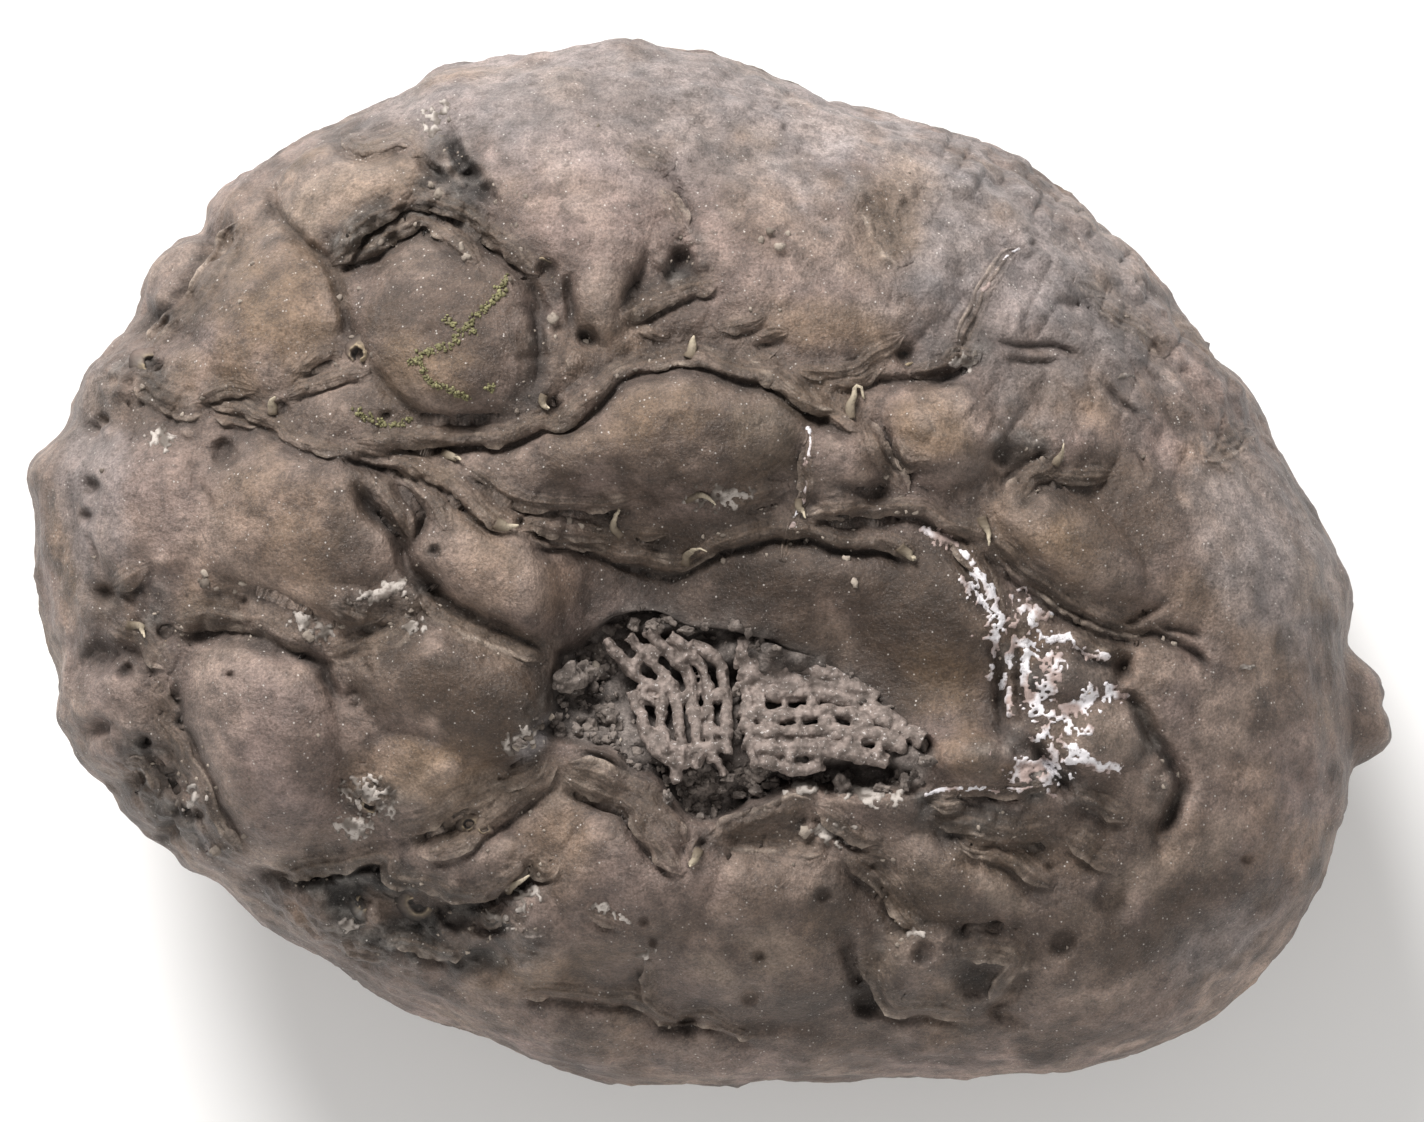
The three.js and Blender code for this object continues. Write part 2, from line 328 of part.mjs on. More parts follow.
// Ribs of the sieve in the hollow: routes in plan with their half-width.
const RIBS = [
  // The long ribs towards the stem end.
  { width: 0.36, route: [[0.9, -3.8], [2.0, -4.0], [3.2, -4.05], [4.2, -4.1], [5.2, -4.4],
    [6.5, -5.0]] },
  { width: 0.22, route: [[0.9, -5.0], [2.0, -4.95], [3.0, -4.85], [4.0, -4.8], [5.2, -5.0],
    [6.8, -5.5]] },
  { width: 0.22, route: [[0.9, -5.6], [2.0, -5.55], [3.0, -5.45], [4.2, -5.4], [5.4, -5.55],
    [7.1, -6.0]] },
  { width: 0.22, route: [[1.1, -6.2], [2.2, -6.1], [3.3, -6.0], [4.3, -6.1], [5.3, -6.35],
    [6.6, -6.7]] },
  { width: 0.2, route: [[1.4, -6.5], [2.2, -6.8], [2.9, -6.75], [3.7, -6.4]] },
  // The bars that cross them.
  { width: 0.2, route: [[1.5, -3.9], [1.4, -5.0], [1.45, -6.1]] },
  { width: 0.14, route: [[2.4, -4.0], [2.4, -4.9]] },
  { width: 0.14, route: [[3.35, -4.0], [3.35, -4.8]] },
  { width: 0.14, route: [[2.7, -4.9], [2.7, -5.5], [2.65, -6.1], [2.45, -6.7]] },
  { width: 0.14, route: [[3.6, -4.8], [3.65, -5.4], [3.6, -6.0]] },
  { width: 0.25, route: [[5.1, -4.4], [4.9, -5.0], [4.9, -5.5], [5.1, -6.3]] },
  { width: 0.22, route: [[6.2, -4.9], [6.2, -5.4], [6.2, -5.8], [6.2, -6.6]] },
  // The upright bars and the slanting ribs above them.
  { width: 0.18, route: [[-3.8, -2.4], [-3.0, -2.95], [-2.4, -3.45], [-1.9, -4.0],
    [-1.85, -4.8], [-1.7, -5.5], [-1.4, -6.2]] },
  { width: 0.17, route: [[-2.7, -4.2], [-2.5, -4.9], [-2.2, -5.5], [-1.7, -6.2]] },
  { width: 0.18, route: [[-2.9, -2.2], [-2.3, -2.85], [-1.8, -3.3], [-1.2, -3.9],
    [-1.0, -4.7], [-0.9, -5.6], [-0.8, -6.5]] },
  { width: 0.18, route: [[-2.2, -2.0], [-1.7, -2.7], [-1.1, -3.3], [-0.5, -3.9],
    [-0.2, -4.8], [0.0, -5.6], [0.1, -6.5]] },
  { width: 0.18, route: [[-1.4, -2.0], [-0.9, -2.7], [-0.3, -3.2], [0.3, -3.8],
    [0.5, -4.8], [0.55, -5.6], [0.6, -6.4]] },
  { width: 0.16, route: [[-2.6, -4.3], [-1.95, -4.15]] },
  { width: 0.16, route: [[-2.0, -6.0], [-0.8, -6.25], [0.6, -6.2], [1.3, -5.8]] },
  { width: 0.16, route: [[-1.9, -4.2], [-1.1, -4.1], [0.3, -4.1], [1.4, -4.2]] },
  { width: 0.15, route: [[-2.4, -3.4], [-3.1, -3.5]] },
  { width: 0.14, route: [[-0.9, -5.2], [0.5, -5.2], [1.3, -5.2]] },
];
const RIB_SINK = 0.85; // how far the ribs' middles lie under the whole surface
const RIB_HALF_HEIGHT = 0.4;
const RIB_SIDES = 6;
const FINEST_DETAIL = 0.03; // slivers thinner than this are cleared once the ribs are joined on

// The underside's plates come from a spiral of middles, with a crest where two plates meet.
const UNDER_CELLS = 46;
const UNDER_DOME = 0.5;
const UNDER_CREST = { height: 0.32, width: 0.55 };

const GOLDEN_TURN = Math.PI * (3 - Math.sqrt(5));
const clamp = (v, low, high) => Math.min(high, Math.max(low, v));
const smooth = (low, high, v) => {
  const t = clamp((v - low) / (high - low), 0, 1);
  return t * t * (3 - 2 * t);
};

// Outline radius about the crown for a turn in radians, as written and evened out.
const rimPoints = OUTLINE.map(([x, y]) => ({
  turn: Math.atan2(y - CROWN[1], x - CROWN[0]),
  radius: Math.hypot(x - CROWN[0], y - CROWN[1]),
})).sort((a, b) => a.turn - b.turn);

function rimRadius(turn) {
  const n = rimPoints.length;
  let after = rimPoints.findIndex((p) => p.turn > turn);
  if (after < 0) after = n;
  const at = (i) => {
    const lap = Math.floor(i / n);
    const p = rimPoints[i - lap * n];
    return [p.turn + lap * 2 * Math.PI, p.radius];
  };
  const [a0, r0] = at(after - 2);
  const [a1, r1] = at(after - 1);
  const [a2, r2] = at(after);
  const [a3, r3] = at(after + 1);
  const t = (turn - a1) / (a2 - a1);
  const m1 = ((r2 - r0) / (a2 - a0)) * (a2 - a1);
  const m2 = ((r3 - r1) / (a3 - a1)) * (a2 - a1);
  return (
    (2 * t ** 3 - 3 * t ** 2 + 1) * r1 + (t ** 3 - 2 * t ** 2 + t) * m1 +
    (3 * t ** 2 - 2 * t ** 3) * r2 + (t ** 3 - t ** 2) * m2
  );
}

const EVEN_STEPS = 180;
const EVEN_SPREAD = 7; // steps either side that the evened outline averages over
const evenRadii = Array.from({ length: EVEN_STEPS }, (_, i) => {
  let sum = 0;
  for (let k = -EVEN_SPREAD; k <= EVEN_SPREAD; k++) {
    const step = (i + k + EVEN_STEPS) % EVEN_STEPS;
    sum += rimRadius((step / EVEN_STEPS) * 2 * Math.PI - Math.PI);
  }
  return sum / (2 * EVEN_SPREAD + 1);
});

function evenRadius(turn) {
  const place = ((turn + Math.PI) / (2 * Math.PI)) * EVEN_STEPS;
  const i = Math.floor(place) % EVEN_STEPS;
  const share = place - Math.floor(place);
  return evenRadii[i] * (1 - share) + evenRadii[(i + 1) % EVEN_STEPS] * share;
}

// The whole, unwrinkled form: a point and its outward direction for a unit direction.
function wholeForm(direction) {
  const turn = Math.atan2(direction.y, direction.x);
  const up = direction.z >= 0 ? 1 : -1;
  const flat = Math.hypot(direction.x, direction.y);
  const share = flat ** (2 / FULLNESS);
  const rise = Math.abs(direction.z) ** (2 / FULLNESS);
  const even = evenRadius(turn);
  const radius = even + (rimRadius(turn) - even) * share ** RIM_FOLLOW;
  const tall = up > 0 ? TOP_RISE : UNDER_DROP;
  const rim = RIM_HEIGHT - RIM_LEAN * share * Math.cos(turn);
  const point = new THREE.Vector3(
    CROWN[0] + radius * share * Math.cos(turn),
    CROWN[1] + radius * share * Math.sin(turn),
    rim + up * tall * rise,
  );
  const side = share ** (FULLNESS - 1) / even;
  const normal = new THREE.Vector3(
    Math.cos(turn) * side,
    Math.sin(turn) * side,
    (up * rise ** (FULLNESS - 1)) / tall,
  ).normalize();
  return { point, normal, rise: up * rise };
}

// A route through its points as a smooth line, with its length and the box it reaches.
function prepare(feature, half) {
  const spline = new THREE.SplineCurve(feature.route.map(([x, y]) => new THREE.Vector2(x, y)));
  const line = spline.getPoints((feature.route.length - 1) * 3);
  const reach = half * 3.2;
  const box = new THREE.Box2().setFromPoints(line).expandByScalar(reach);
  const lengths = [0];
  line.slice(1).forEach((p, i) => lengths.push(lengths[i] + p.distanceTo(line[i])));
  return { ...feature, line, lengths, box };
}

// Distance from a plan point to a prepared route, and how far along it the nearest point is.
function nearest(route, x, y) {
  const best = { distance: Infinity, along: 0 };
  for (let i = 1; i < route.line.length; i++) {
    const a = route.line[i - 1];
    const b = route.line[i];
    const dx = b.x - a.x;
    const dy = b.y - a.y;
    const t = clamp(((x - a.x) * dx + (y - a.y) * dy) / (dx * dx + dy * dy), 0, 1);
    const d = Math.hypot(x - a.x - t * dx, y - a.y - t * dy);
    if (d < best.distance) {
      best.distance = d;
      best.along = route.lengths[i - 1] + t * (route.lengths[i] - route.lengths[i - 1]);
    }
  }
  return best;
}

const crests = CRESTS.map((c) => prepare(c, c.width));
const creases = CREASES.map((c) => prepare(c, c.width));
const END_TAPER = 0.7; // crests and creases die out over this length at their ends

function routeRelief(routes, size, x, y) {
  let most = 0;
  for (const r of routes) {
    if (!r.box.containsPoint({ x, y })) continue;
    const { distance, along } = nearest(r, x, y);
    const length = r.lengths[r.lengths.length - 1];
    const ends = smooth(-0.3 * END_TAPER, END_TAPER, Math.min(along, length - along));
    most = Math.max(most, r[size] * ends * Math.exp(-((distance / r.width) ** 2)));
  }
  return most;
}

// How far inside a closed outline a plan point lies, negative outside.
function depthInside(outline, x, y) {
  let nearestEdge = Infinity;
  let inside = false;
  outline.forEach(([bx, by], i) => {
    const [ax, ay] = outline[(i + outline.length - 1) % outline.length];
    const dx = bx - ax;
    const dy = by - ay;
    const t = clamp(((x - ax) * dx + (y - ay) * dy) / (dx * dx + dy * dy), 0, 1);
    nearestEdge = Math.min(nearestEdge, Math.hypot(x - ax - t * dx, y - ay - t * dy));
    if (ay > y !== by > y && x < ax + ((y - ay) / (by - ay)) * (bx - ax)) inside = !inside;
  });
  return inside ? nearestEdge : -nearestEdge;
}

// Height of the upper side's own relief over the whole form, at a plan point.
function upperRelief(x, y) {
  let plates = 0;
  for (const { middle, half, turn, height } of PLATES) {
    const c = Math.cos((turn * Math.PI) / 180);
    const s = Math.sin((turn * Math.PI) / 180);
    const u = ((x - middle[0]) * c + (y - middle[1]) * s) / half[0];
    const v = (-(x - middle[0]) * s + (y - middle[1]) * c) / half[1];
    plates = Math.max(plates, height * (1 - (u * u + v * v) ** 1.3));
  }
  const inHollow = depthInside(HOLLOW_RIM, x, y);
  const open = 1 - smooth(0, 0.4, inHollow);
  let relief = plates * open;
  relief += routeRelief(crests, "height", x, y) * open;
  relief -= routeRelief(creases, "depth", x, y) * open;
  for (const { middle, radius, depth } of PITS) {
    const d = Math.hypot(x - middle[0], y - middle[1]) / radius;
    if (d < 2.5) relief -= depth * Math.exp(-(d ** 4)) * open;
  }
  for (const { middle, radius, height } of BEAKS) {
    const d = Math.hypot(x - middle[0], y - middle[1]) / radius;
    if (d < 2.5) relief += height * Math.exp(-(d ** 2)) * open;
  }
  if (inHollow > 0) {
    relief -= HOLLOW_DEPTH * smooth(0, HOLLOW_WALL, inHollow);
    for (const { middle, half, depth } of HOLLOW_DEEPS) {
      const d = Math.hypot((x - middle[0]) / half[0], (y - middle[1]) / half[1]);
      relief -= depth * Math.exp(-(d ** 4)) * smooth(0, HOLLOW_WALL, inHollow);
    }
  }
  return relief;
}

// Relief of the underside and flanks, from the two plate middles nearest to a point.
const underMiddles = Array.from({ length: UNDER_CELLS }, (_, i) => {
  const level = 0.35 - (1.35 * (i + 0.5)) / UNDER_CELLS;
  const flat = Math.sqrt(1 - level * level);
  const turn = i * GOLDEN_TURN + 0.35 * Math.sin(i * 2.7);
  const direction = new THREE.Vector3(flat * Math.cos(turn), flat * Math.sin(turn), level);
  return wholeForm(direction).point;
});

function underRelief(p) {
  const bent = new THREE.Vector3(
    p.x + 0.8 * Math.sin(0.55 * p.y + 0.4 * p.z),
    p.y + 0.8 * Math.sin(0.5 * p.x - 0.45 * p.z),
    p.z + 0.6 * Math.sin(0.5 * p.x + 0.4 * p.y),
  );
  let first = Infinity;
  let second = Infinity;
  for (const middle of underMiddles) {
    const d = bent.distanceTo(middle);
    if (d < first) [first, second] = [d, first];
    else if (d < second) second = d;
  }
  const gap = second - first;
  const dome = UNDER_DOME * smooth(0.2, 3.2, gap);
  return dome + UNDER_CREST.height * Math.exp(-((gap / UNDER_CREST.width) ** 2)) - UNDER_DOME / 2;
}

// Slow swells that run all over the stone.
function swell(p) {
  return (
    0.16 * Math.sin(0.42 * p.x + 0.9 * Math.sin(0.3 * p.y)) * Math.cos(0.37 * p.y - 0.3 * p.z) +
    0.08 * Math.sin(0.95 * p.x + 0.5 * p.z) * Math.cos(0.88 * p.y + 1.1 * Math.sin(0.5 * p.x))
  );
}

// The stub of the stem, which stands out along the rim's normal.
function stubRelief(p, turn) {
  let relief = 0;
  const level = RIM_HEIGHT - RIM_LEAN * Math.cos(turn) - STUB_SINK;
  for (const { middle, reach, halfWidth, halfHeight } of STUB_LOBES) {
    const d = Math.hypot((p.y - middle[1]) / halfWidth, (p.z - level) / halfHeight);
    if (p.x > CROWN[0]) relief = Math.max(relief, reach * Math.exp(-(d ** 3)));
  }
  return relief;
}

// The stone's surface in a unit direction from its middle, cut off flat where it rests.
function surface(direction) {
  const { point, normal, rise } = wholeForm(direction);
  const upper = smooth(-0.12, 0.2, rise);
  const turn = Math.atan2(point.y - CROWN[1], point.x - CROWN[0]);
  let relief = swell(point);
  if (upper > 0) relief += upper * upperRelief(point.x, point.y);
  if (upper < 1) relief += (1 - upper) * underRelief(point);
  relief *= 1 - 0.8 * Math.exp(-((rise / RIM_CALM) ** 2));
  relief += stubRelief(point, turn);
  const placed = point.addScaledVector(normal, relief);
  placed.z = Math.max(placed.z, 0);
  return placed;
}

// The stone's skin: an even ball of triangles whose edges are halved, worst fit first, until
// the plates, crests and creases are drawn with the triangles allowed.
function stoneGeometry() {
  const ball = new THREE.IcosahedronGeometry(1, 9);
  ball.deleteAttribute("normal");
  ball.deleteAttribute("uv");
  const merged = mergeVertices(ball, 1e-4);
  const corners = merged.getAttribute("position");
  const directions = [];
  for (let i = 0; i < corners.count; i++) {
    directions.push(new THREE.Vector3().fromBufferAttribute(corners, i));
  }
  const places = directions.map(surface);
  let faces = [];
  for (let i = 0; i < merged.index.count; i += 3) {
    faces.push([merged.index.getX(i), merged.index.getX(i + 1), merged.index.getX(i + 2)]);
  }
  const middles = new Map(); // edge key to its middle's direction, place and misfit
  const keyOf = (a, b) => (a < b ? a * 1e6 + b : b * 1e6 + a);
  const middleOf = (a, b) => {
    const key = keyOf(a, b);
    if (!middles.has(key)) {
      const direction = directions[a].clone().add(directions[b]).normalize();
      const place = surface(direction);
      const straight = places[a].clone().lerp(places[b], 0.5);
      const length = places[a].distanceTo(places[b]);
      const misfit = place.distanceTo(straight) * Math.sqrt(length);
      middles.set(key, { direction, place, misfit, length });
    }
    return middles.get(key);
  };
  while (faces.length < TRIANGLES) {
    const edges = new Map();
    faces.forEach((f, i) => {
      f.forEach((a, k) => {
        const key = keyOf(a, f[(k + 1) % 3]);
        if (!edges.has(key)) edges.set(key, { ends: [a, f[(k + 1) % 3]], beside: [] });
        edges.get(key).beside.push(i);
      });
    });
    const longest = faces.map((f) => {
      const sides = f.map((a, k) => middleOf(a, f[(k + 1) % 3]).length);
      return Math.max(...sides);
    });
    const wanted = [...edges.values()]
      .map((e) => ({ ...e, ...middleOf(...e.ends) }))
      .filter((e) => e.length > 0.25 && e.beside.some((i) => e.length > 0.8 * longest[i]))
      .sort((a, b) => b.misfit - a.misfit);
    const room = Math.ceil((TRIANGLES - faces.length) / 2);
    const batch = Math.min(room, Math.ceil(wanted.length * 0.06));
    const used = new Set();
    const split = new Map();
    for (const e of wanted) {
      if (split.size >= batch) break;
      if (e.beside.some((i) => used.has(i))) continue;
      e.beside.forEach((i) => used.add(i));
      split.set(keyOf(...e.ends), directions.length);
      directions.push(e.direction);
      places.push(e.place);
    }
    faces = faces.flatMap((f) => {
      for (let k = 0; k < 3; k++) {
        const [a, b, c] = [f[k], f[(k + 1) % 3], f[(k + 2) % 3]];
        const m = split.get(keyOf(a, b));
        if (m !== undefined) return [[a, m, c], [m, b, c]];
      }
      return [f];
    });
  }
  return new THREE.BufferGeometry()
    .setAttribute("position", new THREE.Float32BufferAttribute(
      places.flatMap((p) => p.toArray()), 3))
    .setIndex(faces.flat());
}

// One rib: a six-sided bar along its route, upright in section, sunk into the hollow's floor.
function ribGeometry({ width, route }) {
  const middle = route.map(([x, y]) => {
    const flat = Math.hypot(x - CROWN[0], y - CROWN[1]);
    const turn = Math.atan2(y - CROWN[1], x - CROWN[0]);
    const share = (flat / evenRadius(turn)) ** FULLNESS;
    const rise = TOP_RISE * (1 - share) ** (1 / FULLNESS);
    const rim = RIM_HEIGHT - RIM_LEAN * (flat / evenRadius(turn)) * Math.cos(turn);
    return new THREE.Vector3(x, y, rim + rise - RIB_SINK);
  });
  const steps = route.length - 1;
  const rings = [];
  for (let i = 0; i <= steps; i++) {
    const before = middle[Math.max(0, i - 1)];
    const after = middle[Math.min(steps, i + 1)];
    const along = after.clone().sub(before).normalize();
    const across = new THREE.Vector3(-along.y, along.x, 0).normalize();
    const upright = new THREE.Vector3().crossVectors(along, across);
    rings.push(Array.from({ length: RIB_SIDES }, (_, k) => {
      const angle = (k / RIB_SIDES) * 2 * Math.PI;
      return middle[i].clone()
        .addScaledVector(across, width * Math.cos(angle))
        .addScaledVector(upright, RIB_HALF_HEIGHT * Math.sin(angle));
    }));
  }
  const faces = [];
  const at = (i, k) => i * RIB_SIDES + (k % RIB_SIDES);
  for (let i = 0; i < steps; i++) {
    for (let k = 0; k < RIB_SIDES; k++) {
      faces.push(at(i, k), at(i + 1, k + 1), at(i + 1, k));
      faces.push(at(i, k), at(i, k + 1), at(i + 1, k + 1));
    }
  }
  for (let k = 1; k < RIB_SIDES - 1; k++) {
    faces.push(at(0, 0), at(0, k + 1), at(0, k));
    faces.push(at(steps, 0), at(steps, k), at(steps, k + 1));
  }
  return new THREE.BufferGeometry()
    .setAttribute("position", new THREE.Float32BufferAttribute(
      rings.flat().flatMap((p) => p.toArray()), 3))
    .setIndex(faces);
}

const wasm = await Module();
wasm.setup();

function solidOf(geometry) {
  return new wasm.Manifold(new wasm.Mesh({
    numProp: 3,
    vertProperties: new Float32Array(geometry.getAttribute("position").array),
    triVerts: new Uint32Array(geometry.index.array),
  }));
}

function geometryOf(solid) {
  const { vertProperties, triVerts } = solid.getMesh();
  return new THREE.BufferGeometry()
    .setAttribute("position", new THREE.BufferAttribute(vertProperties, 3))
    .setIndex(new THREE.BufferAttribute(triVerts, 1));
}

// The stone with the ribs of its sieve grown onto the hollow's floor. Gaps that the ribs close
// off from the open air are filled, which leaves the outer skin alone.
let stone = solidOf(stoneGeometry());
for (const rib of RIBS) stone = stone.add(solidOf(ribGeometry(rib)));
stone = stone.simplify(FINEST_DETAIL);
stone = stone.decompose().sort((a, b) => b.volume() - a.volume())[0];

const brownStone = new THREE.MeshStandardMaterial({
  color: new THREE.Color(0.25, 0.205, 0.175),
  roughness: 0.6,
  metalness: 0,
});
const fossil = new THREE.Mesh(geometryOf(stone), brownStone);
fossil.name = "crinoid_fossil";

// The origin is set under the middle of the stone's own width and length.
fossil.geometry.computeBoundingBox();
const middle = fossil.geometry.boundingBox.getCenter(new THREE.Vector3());
fossil.geometry.translate(-middle.x, -middle.y, 0);

const part = new THREE.Group();
part.add(fossil);
export default part;
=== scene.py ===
import math

import bmesh
import bpy
import numpy as np
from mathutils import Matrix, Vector
from mathutils.bvhtree import BVHTree


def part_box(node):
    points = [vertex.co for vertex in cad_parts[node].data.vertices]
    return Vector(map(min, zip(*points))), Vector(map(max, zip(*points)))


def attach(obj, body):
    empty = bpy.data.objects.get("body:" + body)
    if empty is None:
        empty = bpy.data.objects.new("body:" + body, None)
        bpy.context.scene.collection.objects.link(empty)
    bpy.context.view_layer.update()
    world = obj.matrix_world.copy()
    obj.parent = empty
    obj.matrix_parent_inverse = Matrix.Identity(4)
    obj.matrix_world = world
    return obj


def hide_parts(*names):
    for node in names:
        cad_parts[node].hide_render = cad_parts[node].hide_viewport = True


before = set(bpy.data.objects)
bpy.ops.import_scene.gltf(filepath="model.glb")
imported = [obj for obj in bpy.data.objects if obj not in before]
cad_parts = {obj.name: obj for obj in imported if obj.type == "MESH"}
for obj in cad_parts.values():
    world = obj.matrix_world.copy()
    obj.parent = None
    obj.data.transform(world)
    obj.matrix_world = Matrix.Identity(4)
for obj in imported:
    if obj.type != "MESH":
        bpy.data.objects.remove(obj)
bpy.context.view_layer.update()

# The view: the camera looks straight down on the stone, through a long lens, as the photo does.
# The widest level of the stone fills the picture's width as it does there. Plan places in this
# file are in the photo's own middle, and PLAN_SHIFT carries them to the row's origin.
stone_low, stone_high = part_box("crinoid_fossil")
STONE_LENGTH_MM = 45.48
MM = (stone_high[0] - stone_low[0]) / STONE_LENGTH_MM
PLAN_SHIFT = (0.105, -0.065)
VIEW_MIDDLE = (-0.07, 0.2)
VIEW_WIDTH = 47.47
RIM_HEIGHT = 10.4
LENS_MM = 500.0
SENSOR_MM = 36.0
CAMERA_DISTANCE = VIEW_WIDTH * LENS_MM / SENSOR_MM

camera_data = bpy.data.cameras.new("camera")
camera_data.lens = LENS_MM
camera_data.sensor_width = SENSOR_MM
camera_data.clip_start = 0.01
camera_data.clip_end = 20.0
camera = bpy.data.objects.new("camera", camera_data)
camera.location = (
    (VIEW_MIDDLE[0] + PLAN_SHIFT[0]) * MM,
    (VIEW_MIDDLE[1] + PLAN_SHIFT[1]) * MM,
    (RIM_HEIGHT + CAMERA_DISTANCE) * MM,
)
bpy.context.scene.collection.objects.link(camera)
bpy.context.scene.camera = camera

# The whole form of the stone: an egg-shaped cup of limestone, a little flat, with its crown left
# of the middle and its rim lower at the stem end. Nature grew it and the ground pressed it, so
# its outline has low corners. Everything here is in millimetres until a mesh is made.
CROWN = (-3.0, 0.5)
TOP_RISE = 12.2
UNDER_DROP = 10.9
RIM_LEAN = 1.1
FULLNESS = 2.3  # 2 is an egg, more is fuller
RIM_FOLLOW = 5  # how soon the outline's corners fade away from the rim
RIM_CALM = 0.14  # the share of the rise round the rim where the relief is low
OUTLINE = [
    (21.2, -2.3), (21.3, -1.0), (21.0, 0.0), (20.54, 0.93), (20.0, 2.0), (19.4, 2.86), (18.9, 3.7),
    (18.47, 4.38), (18.22, 5.0), (17.88, 5.6), (17.38, 6.23), (16.7, 6.9), (16.0, 7.83), (15.0, 9.2),
    (14.35, 10.0), (13.0, 11.37), (12.16, 12.13), (11.0, 12.9), (10.0, 13.6), (9.46, 13.95), (8.0, 14.44),
    (5.0, 15.27), (3.0, 15.9), (1.0, 16.65), (0.0, 17.0), (-1.0, 17.14), (-2.0, 17.34), (-3.0, 17.44),
    (-4.0, 17.33), (-6.0, 17.07), (-8.0, 16.8), (-8.85, 16.7), (-9.44, 16.55), (-10.12, 16.0),
    (-11.2, 15.5), (-12.47, 14.9), (-14.16, 14.0), (-15.84, 12.85), (-16.47, 12.4), (-16.8, 12.0),
    (-16.94, 11.5), (-17.1, 11.15), (-17.6, 10.95), (-18.28, 10.4), (-19.0, 9.25), (-19.5, 8.2),
    (-19.93, 7.7), (-20.4, 7.15), (-20.98, 6.4), (-21.27, 5.6), (-21.4, 4.9), (-22.07, 4.05),
    (-22.62, 3.5), (-22.79, 3.1), (-22.6, 2.2), (-22.52, 1.63), (-22.51, 0.0), (-22.41, -1.0),
    (-22.28, -2.0), (-22.03, -2.83), (-21.78, -3.42), (-21.61, -4.35), (-21.48, -5.02), (-21.19, -5.57),
    (-20.96, -6.3), (-20.0, -7.6), (-19.0, -8.78), (-18.03, -9.58), (-17.61, -10.08), (-16.6, -10.51),
    (-15.76, -11.09), (-15.0, -11.73), (-13.0, -13.0), (-11.0, -14.24), (-9.0, -15.12), (-7.0, -15.85),
    (-5.63, -16.48), (-4.0, -16.93), (-2.0, -17.16), (-1.0, -17.24), (0.26, -17.39), (1.0, -17.39),
    (2.37, -17.13), (4.0, -17.12), (6.0, -17.0), (9.0, -16.88), (12.16, -16.65), (13.0, -16.48),
    (14.1, -16.2), (15.0, -15.85), (16.37, -15.09), (17.97, -13.75), (19.0, -12.57), (20.0, -10.8),
    (20.75, -8.6), (21.0, -7.88), (21.12, -7.1),
]
STUB_MIDDLE = -4.72
STUB_REACH = 1.22
STUB_HALF_WIDTH = 1.72
STUB_HALF_HEIGHT = 1.7
STUB_SINK = 0.4


def smooth(low, high, value):
    t = np.clip((value - low) / (high - low), 0, 1)
    return t * t * (3 - 2 * t)


# A smooth curve through the outline's points, as a radius for each turn from the crown, and the
# same radii with their corners evened out, which the stone nears towards its crown.
outline = np.array(OUTLINE) - CROWN
outline_turns = np.arctan2(outline[:, 1], outline[:, 0])
outline = outline[np.argsort(outline_turns)]
outline_turns = np.sort(outline_turns)
outline_radii = np.hypot(outline[:, 0], outline[:, 1])
lap_turns = np.concatenate([outline_turns[-3:] - 2 * np.pi, outline_turns, outline_turns[:3] + 2 * np.pi])
lap_radii = np.concatenate([outline_radii[-3:], outline_radii, outline_radii[:3]])
lap_slopes = np.gradient(lap_radii, lap_turns)
TURNS = np.linspace(-np.pi, np.pi, 3601)
before = np.searchsorted(lap_turns, TURNS, side="right") - 1
gap = lap_turns[before + 1] - lap_turns[before]
t = (TURNS - lap_turns[before]) / gap
rim_radii = (
    (2 * t**3 - 3 * t**2 + 1) * lap_radii[before]
    + (t**3 - 2 * t**2 + t) * lap_slopes[before] * gap
    + (3 * t**2 - 2 * t**3) * lap_radii[before + 1]
    + (t**3 - t**2) * lap_slopes[before + 1] * gap
)
EVEN_SPREAD = 150
even_radii = np.convolve(
    np.concatenate([rim_radii[-EVEN_SPREAD - 1:-1], rim_radii, rim_radii[1:EVEN_SPREAD + 1]]),
    np.ones(2 * EVEN_SPREAD + 1) / (2 * EVEN_SPREAD + 1),
    mode="valid",
)


def whole_form(directions):
    """The unwrinkled stone: its points, outward directions and share of the rise."""
    turn = np.arctan2(directions[:, 1], directions[:, 0])
    upward = np.where(directions[:, 2] >= 0, 1.0, -1.0)
    share = np.hypot(directions[:, 0], directions[:, 1]) ** (2 / FULLNESS)
    rise = np.abs(directions[:, 2]) ** (2 / FULLNESS)
    even = np.interp(turn, TURNS, even_radii)
    radius = even + (np.interp(turn, TURNS, rim_radii) - even) * share**RIM_FOLLOW
    tall = np.where(upward > 0, TOP_RISE, UNDER_DROP)
    rim = RIM_HEIGHT - RIM_LEAN * share * np.cos(turn)
    points = np.column_stack([
        CROWN[0] + radius * share * np.cos(turn),
        CROWN[1] + radius * share * np.sin(turn),
        rim + upward * tall * rise,
    ])
    side = share ** (FULLNESS - 1) / even
    normals = np.column_stack([
        np.cos(turn) * side,
        np.sin(turn) * side,
        upward * rise ** (FULLNESS - 1) / tall,
    ])
    normals /= np.linalg.norm(normals, axis=1)[:, None]
    return points, normals, upward * rise


def whole_height(x, y):
    """Height of the unwrinkled upper side over a plan place."""
    turn = np.arctan2(y - CROWN[1], x - CROWN[0])
    share = np.clip(np.hypot(x - CROWN[0], y - CROWN[1]) / np.interp(turn, TURNS, even_radii), 0, 1)
    rise = (1 - share**FULLNESS) ** (1 / FULLNESS)
    return RIM_HEIGHT - RIM_LEAN * share * np.cos(turn) + TOP_RISE * rise


